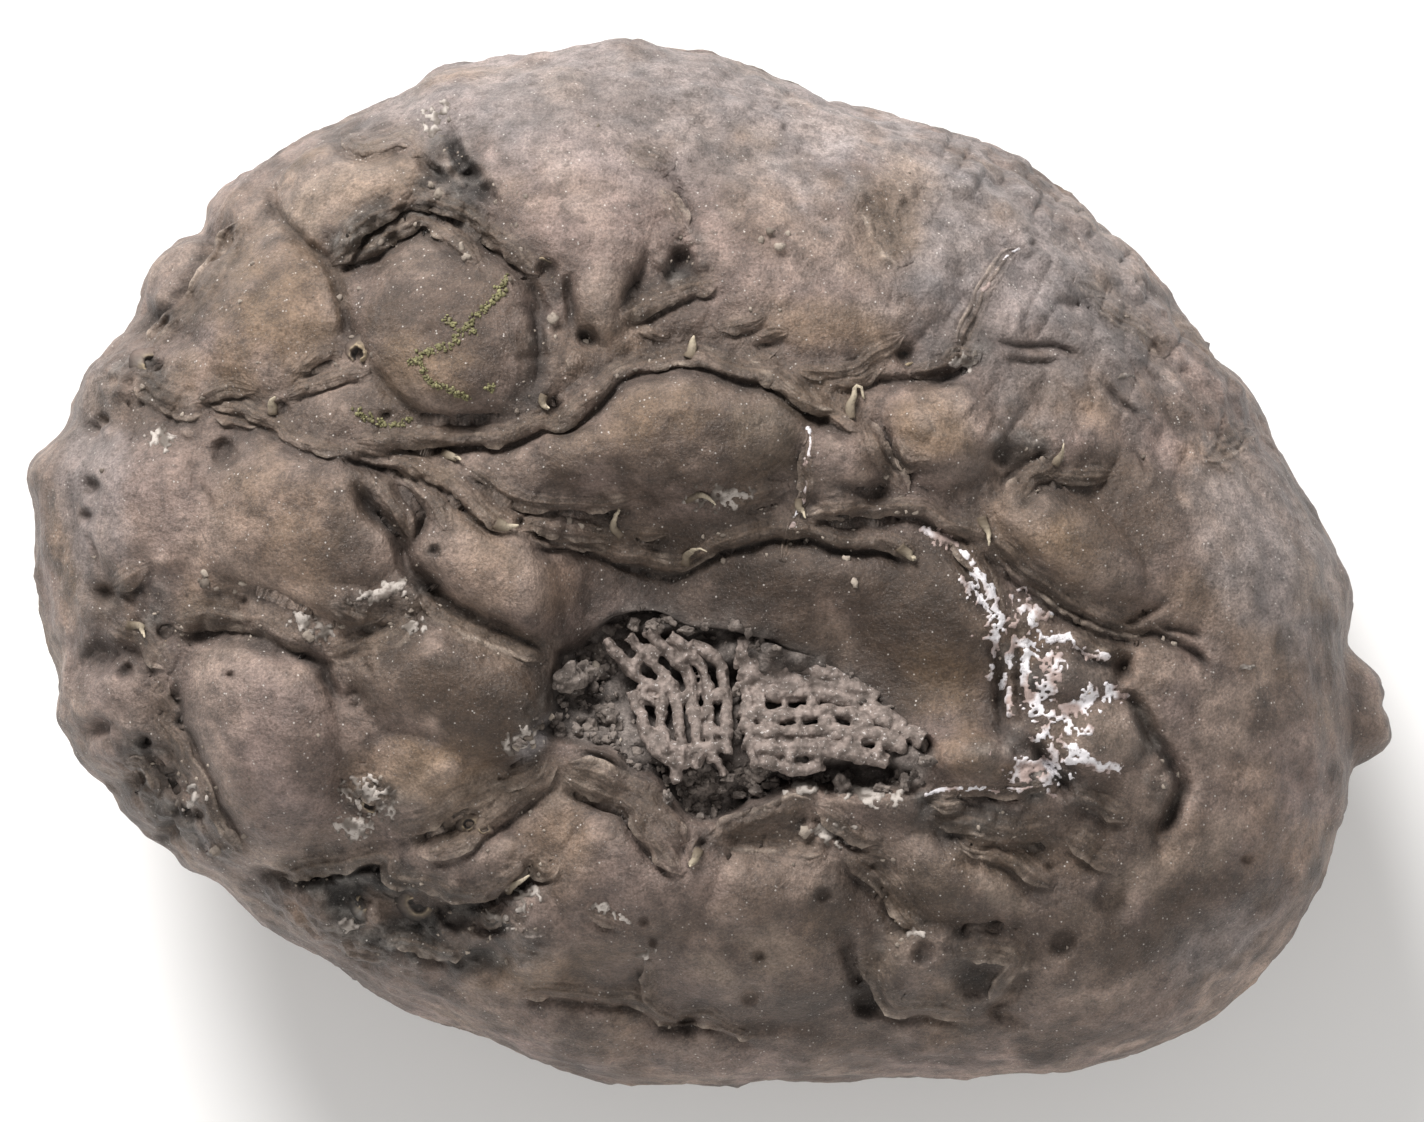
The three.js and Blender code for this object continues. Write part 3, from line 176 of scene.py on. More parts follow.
# The wrinkled upper side: low rounded plates of the cup, parted by creases, with thin crests
# that were once the edges of soft folds. They are drawn in plan as height maps, each crest with
# an undercut on one side that is later given painted shadow, and the stone's mesh takes its heights
# from these maps.
STEP = 0.05
plan_x = np.arange(-24.0, 24.001, STEP)
plan_y = np.arange(-19.0, 19.001, STEP)
X, Y = np.meshgrid(plan_x, plan_y)
crest_map = np.zeros_like(X)
groove_map = np.zeros_like(X)
lean_x = np.zeros_like(X)
lean_y = np.zeros_like(X)
crest_line = np.zeros_like(X)
crevice = np.zeros_like(X)


def spread(plan, size):
    """A plan map blurred over size millimetres."""
    fy = np.fft.fftfreq(plan.shape[0], STEP)[:, None]
    fx = np.fft.rfftfreq(plan.shape[1], STEP)[None, :]
    soften = np.exp(-2 * (np.pi * size) ** 2 * (fx**2 + fy**2))
    return np.fft.irfft2(np.fft.rfft2(plan) * soften, s=plan.shape)


def smooth_line(route, spacing=0.2):
    """A route's points joined by a smooth line."""
    p = np.array(route, dtype=float)
    ends = np.vstack([2 * p[0] - p[1], p, 2 * p[-1] - p[-2]])
    line = [p[0]]
    for i in range(1, len(ends) - 2):
        a, b, c, d = ends[i - 1:i + 3]
        pieces = max(2, int(np.linalg.norm(c - b) / spacing))
        for k in range(1, pieces + 1):
            t = k / pieces
            line.append(0.5 * (2 * b + (c - a) * t + (2 * a - 5 * b + 4 * c - d) * t**2
                               + (3 * b - a - 3 * c + d) * t**3))
    return np.array(line)


def plan_window(low_x, low_y, high_x, high_y):
    """The rows and columns of the plan maps that a box covers."""
    i = np.clip([int((low_x - plan_x[0]) / STEP), int((high_x - plan_x[0]) / STEP) + 2], 0, len(plan_x))
    j = np.clip([int((low_y - plan_y[0]) / STEP), int((high_y - plan_y[0]) / STEP) + 2], 0, len(plan_y))
    return slice(j[0], j[1]), slice(i[0], i[1])


FAR = 9.0


def follow(route, reach):
    """Round a route: the window, the distance or FAR, the side, the place along it and its length."""
    line = smooth_line(route)
    window = plan_window(*(line.min(0) - reach), *(line.max(0) + reach))
    low_row = window[0].start
    low_column = window[1].start
    shape = X[window].shape
    distance = np.full(shape, FAR)
    side = np.ones(shape)
    along = np.zeros(shape)
    run = 0.0
    for a, b in zip(line[:-1], line[1:]):
        rows, columns = plan_window(*(np.minimum(a, b) - reach), *(np.maximum(a, b) + reach))
        part = (slice(rows.start - low_row, rows.stop - low_row),
                slice(columns.start - low_column, columns.stop - low_column))
        dx, dy = b - a
        length = math.hypot(dx, dy)
        px = X[rows, columns] - a[0]
        py = Y[rows, columns] - a[1]
        t = np.clip((px * dx + py * dy) / length**2, 0, 1)
        d = np.hypot(px - t * dx, py - t * dy)
        closer = d < distance[part]
        distance[part] = np.where(closer, d, distance[part])
        side[part] = np.where(closer, np.where(dx * py - dy * px < 0, 1.0, -1.0), side[part])
        along[part] = np.where(closer, run + t * length, along[part])
        run += length
    return window, distance, side, along, run


def crest_breadth(width):
    """Half the breadth of a crest's roll, which is a little wider than its edge."""
    return 1.35 * width + 0.1


def draw_crest(height, width, under, route):
    """A crest with an undercut: under is its depth, to the right of the route, or left if minus."""
    broad = crest_breadth(width)
    window, distance, side, along, length = follow(route, broad * 4 + 0.6)
    taper = smooth(-0.15, 0.8, np.minimum(along, length - along))
    wobble = 0.85 + 0.25 * np.sin(along * 3.1 + route[0][0] * 7) * np.sin(along * 1.7 + route[0][1] * 5)
    roll = 0.75 * np.exp(-((distance / broad) ** 2.6)) + 0.25 * np.exp(-((distance / (0.5 * broad)) ** 2))
    body = taper * wobble * roll
    crest_map[window] = np.maximum(crest_map[window], height * body)
    crest_line[window] = np.maximum(crest_line[window], taper * np.exp(-((distance / (0.9 * broad)) ** 2)))
    if under:
        to_side = distance * side * np.sign(under)
        notch = taper * np.exp(-(((to_side - 1.45 * broad) / (0.5 * broad)) ** 2))
        groove_map[window] = np.maximum(groove_map[window], 0.8 * abs(under) * notch)
        # The undercut is marked here for painted shadow in the stone's colours.
        crevice[window] = np.maximum(crevice[window], min(1.0, 1.3 * abs(under)) * notch)
        line = smooth_line(route)
        way = (line[-1] - line[0]) / max(np.linalg.norm(line[-1] - line[0]), 1e-6)
        push = 0.25 * height * body * np.sign(under)
        lean_x[window] += push * way[1]
        lean_y[window] -= push * way[0]


def draw_crease(depth, width, route):
    """A narrow valley between plates, with painted shade at its foot."""
    width = 0.8 * width
    window, distance, _, along, length = follow(route, width * 3 + 0.2)
    taper = smooth(-0.2, 0.8, np.minimum(along, length - along))
    notch = taper * np.exp(-((distance / width) ** 2))
    groove_map[window] = np.maximum(groove_map[window], depth * notch)
    # Painted shade at the crease's foot.
    dark = taper * np.exp(-((distance / (0.8 * width)) ** 2)) * min(1.0, 1.9 * depth)
    crevice[window] = np.maximum(crevice[window], dark)


def turned_oval(x, y, middle_x, middle_y, half_length, half_width, turn):
    """Places as shares of an oval's half-length and half-width, the oval turned in degrees."""
    c = math.cos(math.radians(turn))
    s = math.sin(math.radians(turn))
    u = ((x - middle_x) * c + (y - middle_y) * s) / half_length
    v = (-(x - middle_x) * s + (y - middle_y) * c) / half_width
    return u, v


PLATES = [  # middle, half-length, half-width, turn in degrees, height
    (-12.3, 12.5, 2.9, 1.9, 25, 0.55), (-8.9, 7.9, 3.1, 3.3, 0, 0.8), (-14.9, 8.6, 2.6, 2.8, -20, 0.55),
    (-17.9, 10.2, 1.3, 2.0, -40, 0.5), (-4.6, 12.4, 3.6, 3.2, -30, 0.55), (-3.7, 9.3, 1.1, 1.9, 0, 0.65),
    (3.6, 10.4, 4.6, 3.4, -15, 0.6), (-1.0, 4.7, 4.9, 2.5, 8, 1.0), (4.3, 3.4, 1.5, 1.7, 0, 0.7),
    (7.6, 4.4, 2.2, 1.9, -15, 0.8), (11.9, 0.8, 2.9, 1.5, -33, 0.9), (-14.0, 1.7, 3.8, 2.9, -8, 0.7),
    (-19.2, 2.0, 2.2, 2.8, 0, 0.6), (-7.7, 0.3, 2.0, 3.4, 38, 0.8), (2.6, -0.5, 4.6, 1.7, -12, 0.35),
    (7.0, -2.5, 2.9, 2.9, -50, 0.35), (8.7, -6.4, 1.4, 1.0, 0, 0.5), (12.0, -3.6, 1.5, 0.9, 0, 0.4),
    (13.0, -5.7, 1.6, 1.2, 20, 0.6), (-15.3, -6.1, 2.9, 4.3, 6, 1.2), (-20.2, -4.6, 1.7, 2.7, 8, 0.5),
    (-8.8, -4.2, 3.5, 2.3, -25, 1.0), (-9.7, -7.0, 2.0, 1.9, 30, 0.8), (-8.4, -10.0, 2.7, 1.3, 8, 0.8),
    (-2.6, -10.6, 3.6, 2.9, 12, 0.85), (-5.9, -12.2, 1.5, 1.8, 0, 0.65), (-8.7, -12.1, 1.1, 0.9, 0, 0.25),
    (1.8, -12.3, 3.4, 3.2, 20, 0.9), (8.0, -13.4, 2.7, 1.7, 8, 0.8), (-12.0, -12.4, 3.4, 1.1, -33, 0.4),
    (-4.4, -15.4, 2.4, 1.2, 0, 0.3), (1.0, -16.2, 3.6, 1.0, 0, 0.45), (8.0, -10.6, 2.4, 1.5, -30, 0.45),
    (17.6, -9.4, 2.6, 2.9, 0, 0.4), (13.0, -13.6, 3.0, 2.6, 20, 0.35), (-9.2, -6.9, 1.3, 0.9, 20, 0.95),
    (8.7, -6.4, 1.0, 0.7, 10, 0.65), (-12.9, -0.9, 2.6, 0.8, -20, 0.4), (7.2, 4.7, 1.3, 0.9, -40, 0.95),
]
PLATE_REACH = 5
plates = np.zeros_like(X)
for x, y, half_length, half_width, turn, height in PLATES:
    window = plan_window(x - PLATE_REACH, y - PLATE_REACH, x + PLATE_REACH, y + PLATE_REACH)
    u, v = turned_oval(X[window], Y[window], x, y, half_length, half_width, turn)
    plates[window] = np.maximum(plates[window], height * (1 - (u * u + v * v) ** 1.4))

# The long crests over the middle: height, half-width, undercut, route.
LONG_CRESTS = [
    (0.42, 0.16, 0.55, [(-12.1, 4.2), (-10.5, 4.3), (-9, 4.35), (-8, 4.4), (-7, 4.4), (-6.3, 4.7),
        (-5.7, 4.95), (-5.1, 5), (-4.6, 5.3), (-4.1, 5.7), (-3.7, 6.1), (-3.3, 6.6), (-2.7, 6.85),
        (-2.1, 6.95), (-1.5, 7.1), (-0.7, 7.05), (-0.2, 6.95), (0.3, 6.8), (0.9, 6.65), (1.5, 6.5),
        (2.1, 6.3), (2.6, 5.9), (3.2, 5.5), (3.8, 5.25), (4.3, 5), (4.8, 4.7), (5, 4.5)]),
    (0.3, 0.1, 0.0, [(2.2, 6.2), (2.7, 5.85), (3.2, 5.6), (3.8, 5.42), (4.3, 5.3)]),
    (0.4, 0.13, -0.45, [(5.1, 5), (5.3, 4.3), (5.5, 3.8), (5.8, 3.4), (6.1, 3), (6.5, 2.4)]),
    (0.3, 0.12, 0.3, [(3.8, 6.2), (4.4, 6.2), (4.9, 6.3), (5.3, 6.5), (5.7, 6.7)]),
    (0.25, 0.1, 0.0, [(2.6, 6.7), (3, 6.5), (3.7, 6.5), (4.6, 6.6), (5.2, 7), (5.8, 7.4), (6.3, 7.8)]),
    (0.35, 0.14, 0.5, [(6.5, 6.45), (7.2, 6.55), (7.8, 6.75), (8.1, 7.05), (8.5, 7.05), (8.9, 6.95)]),
    (0.28, 0.12, 0.3, [(-17.1, 5.6), (-16, 5.35), (-14.8, 5.0), (-14, 4.4), (-13.2, 4.1), (-12.5, 3.9),
        (-12.1, 3.7)]),
    (0.4, 0.16, 0.5, [(-12.6, 4.0), (-11.5, 3.85), (-10.5, 3.6), (-9.6, 3.25), (-8.7, 2.8), (-8, 2.1),
        (-7.4, 1.7), (-6.9, 1.4), (-6.6, 1.15)]),
    (0.35, 0.15, 0.4, [(-6.6, 1.2), (-6, 1.55), (-5.4, 1.4), (-4.6, 1.2), (-3.7, 1.1), (-3.1, 1)]),
    (0.3, 0.1, 0.3, [(-8.4, 3.3), (-7.7, 3), (-7.1, 2.6), (-6.5, 2.3), (-5.8, 2.15), (-5, 2.1),
        (-4.2, 2.1), (-3.3, 2.2), (-2.6, 2.3)]),
    (0.3, 0.12, 0.5, [(-6.2, 1), (-5.2, 0.95), (-4.2, 0.8), (-3.3, 0.5), (-2.6, 0.4), (-1.9, 0.2),
        (-1.3, 0.1), (-0.8, 0.2), (-0.3, 0.55), (0.3, 0.9), (0.9, 1.1)]),
    (0.25, 0.1, 0.25, [(-2.9, 1.2), (-2.2, 1.1), (-1.5, 1.05)]),
    (0.4, 0.15, 0.55, [(-0.2, 0.9), (0.6, 1), (1.3, 1.2), (2, 1.35), (2.6, 1.3), (3.2, 1.3), (4, 1),
        (4.8, 0.95), (5.5, 1), (6.2, 0.7), (6.7, 0.15)]),
    (0.38, 0.14, 0.4, [(2.9, 1.6), (3.6, 1.9), (4.4, 1.9), (5.2, 2), (6, 2.05), (7, 2), (7.8, 1.5),
        (8.6, 1.3), (9.1, 1.1)]),
    (0.2, 0.16, 0.3, [(0.4, 2.3), (1, 2.3), (1.8, 2.6), (2.5, 2.7)]),
    (0.16, 0.07, 0.0, [(3.15, 4.6), (3.2, 4.2), (3.15, 3.7), (3.1, 3.2), (3.1, 2.6), (2.9, 2.2),
        (2.7, 1.9), (2.65, 1.4), (2.5, 0.8), (2.3, 0.2)]),
    (0.2, 0.12, 0.3, [(6, 4.4), (6.3, 3.7), (6.5, 3.5), (6.9, 3.6), (7.5, 3.6)]),
    (0.22, 0.1, 0.3, [(-14.3, 5.7), (-13.8, 6), (-13.2, 6.2), (-12.5, 6.4), (-11.9, 6.5), (-11.5, 6.6)]),
    (0.25, 0.12, 0.25, [(-14.1, 6.5), (-13.5, 6.9), (-12.9, 7.2), (-12.4, 7.1)]),
    (0.25, 0.12, 0.3, [(-17.5, 5.45), (-16.8, 5.85), (-16, 5.95), (-15.2, 5.9)]),
    (0.2, 0.1, 0.3, [(-16.8, 5.1), (-16, 4.9), (-15.3, 4.85), (-14.9, 5)]),
    (0.3, 0.25, 0.3, [(-19.4, 6.4), (-18.6, 5.8), (-17.6, 5.4), (-16.8, 5.35)]),
]
# The crests of the upper side and the two long ones that run to the stem end.
UPPER_CRESTS = [
    (0.3, 0.16, 0.4, [(-12.4, 14.6), (-12.1, 14.2), (-11.6, 14.05), (-11, 14.2), (-10.4, 14.4),
        (-10, 14.2), (-9.9, 13.7)]),
    (0.35, 0.16, 0.55, [(-12.9, 10.1), (-12.4, 10.5), (-12, 11.2), (-11.3, 11.7), (-10.6, 12.1),
        (-10, 12.3), (-9.3, 12.2), (-8.6, 12), (-8, 11.6), (-7.3, 11), (-6.6, 10.6), (-6.2, 10.2),
        (-5.7, 9.75)]),
    (0.35, 0.14, 0.35, [(-12.6, 10.2), (-11.9, 10.55), (-11.3, 10.7), (-10.8, 11.1), (-10.3, 11.4),
        (-9.8, 11.65), (-9.5, 11.6), (-9.1, 11.3), (-8.6, 10.9), (-8.1, 10.5), (-7.8, 10.1)]),
    (0.3, 0.2, 0.5, [(-15.7, 11.5), (-16.1, 10.9), (-16.4, 10.3), (-16.9, 9.6), (-17.2, 9), (-17.7, 8.5),
        (-18.2, 8.1), (-18.6, 7.7), (-18.8, 7.2)]),
    (0.25, 0.2, 0.0, [(-3, 14), (-2.4, 13.7), (-1.8, 13.5), (-1.3, 13.4)]),
    (0.3, 0.16, -0.35, [(-1.9, 12.7), (-1.4, 12), (-1.1, 11.5), (-0.8, 11)]),
    (0.32, 0.16, 0.35, [(-3.2, 8.4), (-2.7, 8.5), (-1.9, 9), (-1.1, 9.25), (-0.4, 9.4), (0.3, 9.6)]),
    (0.2, 0.12, 0.25, [(-2.9, 7.95), (-2.3, 8.05), (-1.9, 7.8), (-1.5, 7.7)]),
    (0.22, 0.1, 0.25, [(0, 7.9), (0.5, 8.1), (1.1, 8.2), (1.7, 8.35)]),
    (0.22, 0.1, 0.2, [(1.2, 7.85), (1.6, 7.7), (2.1, 7.8), (2.5, 7.8)]),
    (0.2, 0.08, 0.0, [(0.9, 7.4), (1.3, 7.1), (1.8, 6.9), (2.5, 6.6)]),
    (0.18, 0.08, 0.0, [(1.4, 6.6), (1.7, 7.0), (2.2, 7.3)]),
    (0.35, 0.1, 0.0, [(-4.6, 7.2), (-4.65, 6.8), (-4.7, 6.4)]),
    (0.22, 0.08, 0.2, [(-3.3, 7.6), (-3.15, 7.3), (-3, 6.9)]),
    (0.18, 0.35, 0.0, [(5, 12.6), (5.4, 12), (5.7, 11.3), (6.1, 10.7), (6.4, 10)]),
    (0.32, 0.2, 0.4, [(11.4, 3.85), (11.3, 3.5), (11, 3.2), (10.6, 3.1), (10.3, 2.7), (10, 2.5),
        (9.6, 2.1)]),
    (0.25, 0.12, 0.35, [(11, 3.2), (11.6, 3.05), (12.2, 3), (12.6, 3.1), (13.4, 3.05)]),
    (0.12, 0.12, 0.0, [(10.2, 10.6), (9.7, 10.2), (9.3, 9.6), (9, 9.1), (8.8, 8.6), (8.3, 7.6),
        (8.2, 7.1)]),
    (0.14, 0.25, 0.0, [(12, 9.6), (12.6, 9.4), (13.2, 9.1)]),
    (0.08, 0.12, 0.0, [(12.5, 9), (13.4, 8.4), (14.2, 7.9), (15.1, 7)]),
    (0.14, 0.2, 0.0, [(16.3, 3.7), (17, 3.9), (17.6, 4.3), (18.2, 4.6)]),
    (0.38, 0.2, 0.5, [(9.2, 0.95), (9.8, 0.4), (10.4, -0.2), (11.3, -0.8), (12.1, -1.3), (13, -1.75),
        (13.8, -1.9), (14.6, -2)]),
    (0.3, 0.16, 0.35, [(11.9, -2.1), (12.5, -2.5), (13.1, -2.8), (13.7, -2.6)]),
    (0.3, 0.14, 0.3, [(7.6, 1.3), (8.2, 0.9), (8.7, 0.3), (9.1, -0.4), (9.4, -1.1), (9.8, -1.7)]),
]
# The crests of the left side and round the roll under the hollow.
LEFT_CRESTS = [
    (0.32, 0.2, 0.0, [(-9.9, -0.9), (-9.2, -1.4), (-8.4, -1.8), (-7.4, -2.2), (-6.6, -2.5), (-6, -2.8),
        (-5.6, -3.2)]),
    (0.3, 0.13, 0.0, [(-11.5, 3.3), (-11, 2.7), (-10.6, 2), (-10.2, 1.3), (-10, 0.8)]),
    (0.3, 0.13, 0.0, [(-10.9, 3.5), (-10.2, 3.2), (-9.6, 2.6), (-9.1, 1.9), (-8.9, 1.2)]),
    (0.3, 0.16, 0.4, [(-20.2, -0.7), (-19.6, -0.4), (-19.2, -0.1), (-18.8, 0.1)]),
    (0.3, 0.22, 0.45, [(-20.2, -1.9), (-19.6, -2.1), (-19, -2.4), (-18.7, -2.8), (-18.3, -3.2),
        (-18.1, -3.5)]),
    (0.35, 0.3, 0.5, [(-18.2, -1.9), (-17.4, -1.6), (-16.8, -1.5), (-16, -1.5), (-15.3, -1.7),
        (-14.7, -2), (-14, -2.3), (-13.4, -2.6)]),
    (0.3, 0.3, 0.0, [(-13, -2.9), (-12.3, -2.8), (-11.6, -2.5), (-11, -2.2), (-10.5, -1.9),
        (-10.1, -1.5)]),
    (0.2, 0.12, 0.2, [(-12.8, -1.3), (-11.8, -1.6), (-11, -1.5)]),
    (0.3, 0.18, -0.55, [(-18.2, -3.6), (-18.5, -4.3), (-18.2, -4.8), (-18.4, -5.2), (-18.1, -5.7),
        (-17.8, -6), (-17.7, -6.5), (-17.4, -7), (-17.1, -7.5), (-16.9, -8.1), (-16.6, -8.6),
        (-16.2, -9.2), (-15.7, -9.8)]),
    (0.22, 0.14, -0.3, [(-19.7, -6.5), (-19.2, -6.6), (-18.9, -7), (-18.7, -7.5), (-18.6, -7.9)]),
    (0.35, 0.16, 0.0, [(-10.9, -8.9), (-10, -8.6), (-9.2, -8.2), (-8.5, -7.7), (-7.8, -7.5), (-7, -7.2),
        (-6.2, -6.8), (-5.6, -6.2)]),
    (0.35, 0.2, 0.3, [(-9.9, -9.5), (-9.4, -9.4), (-8.7, -9.15), (-8, -8.75), (-7.3, -8.25),
        (-6.6, -7.65), (-5.9, -6.95), (-5.3, -6.5)]),
    (0.35, 0.12, 0.3, [(-12.2, -8), (-12, -7.5), (-11.7, -7.2), (-11.5, -7.6), (-11.1, -7.7),
        (-10.9, -8.2)]),
    (0.3, 0.16, 0.6, [(-14.5, -10.3), (-13.5, -10), (-12.5, -9.85), (-11.9, -9.7), (-11.3, -9.6),
        (-10.8, -9.7), (-10.6, -10.3), (-9.7, -10.45), (-9.1, -10.65), (-8.6, -10.85), (-7.8, -10.8),
        (-7, -10.5), (-6.5, -10.2), (-6.2, -9.9)]),
    (0.25, 0.12, 0.3, [(-12.4, -12.4), (-12, -12.7), (-11.4, -12.9), (-10.7, -12.9)]),
    (0.25, 0.12, 0.3, [(-11.2, -12.5), (-10.5, -12.4), (-9.8, -12.5), (-9, -12.8), (-8.1, -12.7)]),
    (0.3, 0.12, 0.3, [(-7.9, -11.4), (-7.5, -11.8), (-7.2, -11.5), (-6.9, -11.2)]),
    (0.25, 0.1, 0.0, [(-6.8, -11.4), (-6.3, -12.1)]),
]
# The crests under the hollow and along the lower side.
LOWER_CRESTS = [
    (0.42, 0.24, -0.4, [(-4.9, -6.6), (-4, -6.85), (-3.3, -7.15), (-2.4, -7.5), (-2, -8.05), (-1.4, -8.7),
        (-1, -9.2)]),
    (0.25, 0.14, 0.45, [(-5, -7), (-4.3, -7.3), (-3.6, -7.6), (-3, -7.8), (-2.6, -8.1), (-2.4, -8.6),
        (-2, -9.1), (-1.6, -9.5), (-1.3, -9.9), (-1, -10.2)]),
    (0.4, 0.14, 0.3, [(-0.5, -8.95), (-0.55, -9.3), (-0.65, -9.6), (-0.8, -10)]),
    (0.4, 0.24, -0.3, [(-0.3, -9), (0.3, -8.85), (1, -8.65), (2, -8.3), (2.8, -7.95), (3.3, -7.8)]),
    (0.14, 0.2, 0.0, [(0.2, -9.2), (1.2, -9.1), (2.2, -9.1), (3, -9.3), (3.8, -9.6)]),
    (0.28, 0.14, 0.35, [(3.3, -7.9), (4.2, -8.5), (4.8, -8.9), (5.6, -9.2)]),
    (0.24, 0.12, 0.3, [(4.6, -9.5), (5.5, -9.6), (6, -9.9)]),
    (0.26, 0.12, 0.35, [(5.3, -10), (5.9, -10.4), (6.2, -10.9), (6, -11.2), (6.3, -11.6), (6.6, -12)]),
    (0.3, 0.2, 0.0, [(8, -8.8), (8.6, -9.1), (9.2, -9.2), (9.6, -9.5)]),
    (0.2, 0.08, 0.25, [(7.1, -7.6), (7.6, -7.5), (8.3, -7.4), (9.2, -7.4), (9.9, -7.5), (10.6, -7.35),
        (11.2, -7.3)]),
    (0.22, 0.12, 0.3, [(7.1, -7.8), (7.8, -7.9), (8.6, -7.9)]),
    (0.22, 0.12, 0.35, [(-6.5, -14.3), (-6.1, -14.15), (-5.5, -14.1), (-4.5, -14.2), (-3.6, -14.3),
        (-2.8, -14.3), (-2.2, -14.6), (-1.9, -14.9), (-1.4, -15.1), (-0.9, -15), (-0.3, -14.95),
        (0.3, -15.2), (1, -15.5), (1.5, -15.6)]),
    (0.2, 0.1, 0.3, [(-2.3, -13.1), (-2.2, -13.6), (-2.25, -14.1), (-2.1, -14.5), (-1.9, -14.9)]),
    (0.2, 0.1, 0.25, [(-4.3, -11.3), (-4, -11.5), (-3.6, -11.6), (-3.4, -11.8), (-3.2, -11.9),
        (-3.2, -12.2)]),
    (0.26, 0.16, 0.4, [(4.7, -13.1), (5.3, -13.4), (5.6, -13.9), (5.9, -14.4), (6.2, -14.65), (7, -14.7),
        (7.8, -14.8), (8.6, -15)]),
    (0.25, 0.2, 0.0, [(8, -12.9), (8.8, -12.7), (9.6, -12.8), (10.1, -13.1), (10, -13.6), (9.6, -14.1),
        (9.2, -14.6)]),
    (0.22, 0.14, 0.3, [(-6.3, -9.9), (-6, -9.7), (-5.6, -10.1), (-5.3, -9.9), (-5.2, -9.6)]),
    (0.2, 0.2, 0.3, [(3.3, -8.9), (3.8, -8.8), (4.3, -8.95)]),
    (0.3, 0.22, 0.3, [(7.2, -8.3), (8.6, -8.5), (10.0, -8.8), (11.4, -8.6)]),
    (0.3, 0.2, 0.3, [(8.0, -9.2), (9.2, -9.4), (10.4, -9.9), (11.3, -10.7)]),
    (0.3, 0.18, 0.3, [(11.8, -7.5), (12.8, -7.8), (13.9, -8.5)]),
    (0.3, 0.2, 0.3, [(4.2, -9.5), (5.4, -10.2), (6.2, -11.2), (6.8, -12.2)]),
    (0.25, 0.18, 0.3, [(11.6, -8.8), (12.6, -9.3), (13.5, -10.2)]),
]
for group in (LONG_CRESTS, UPPER_CRESTS, LEFT_CRESTS, LOWER_CRESTS):
    for height, width, under, route in group:
        draw_crest(height, width, under, route)

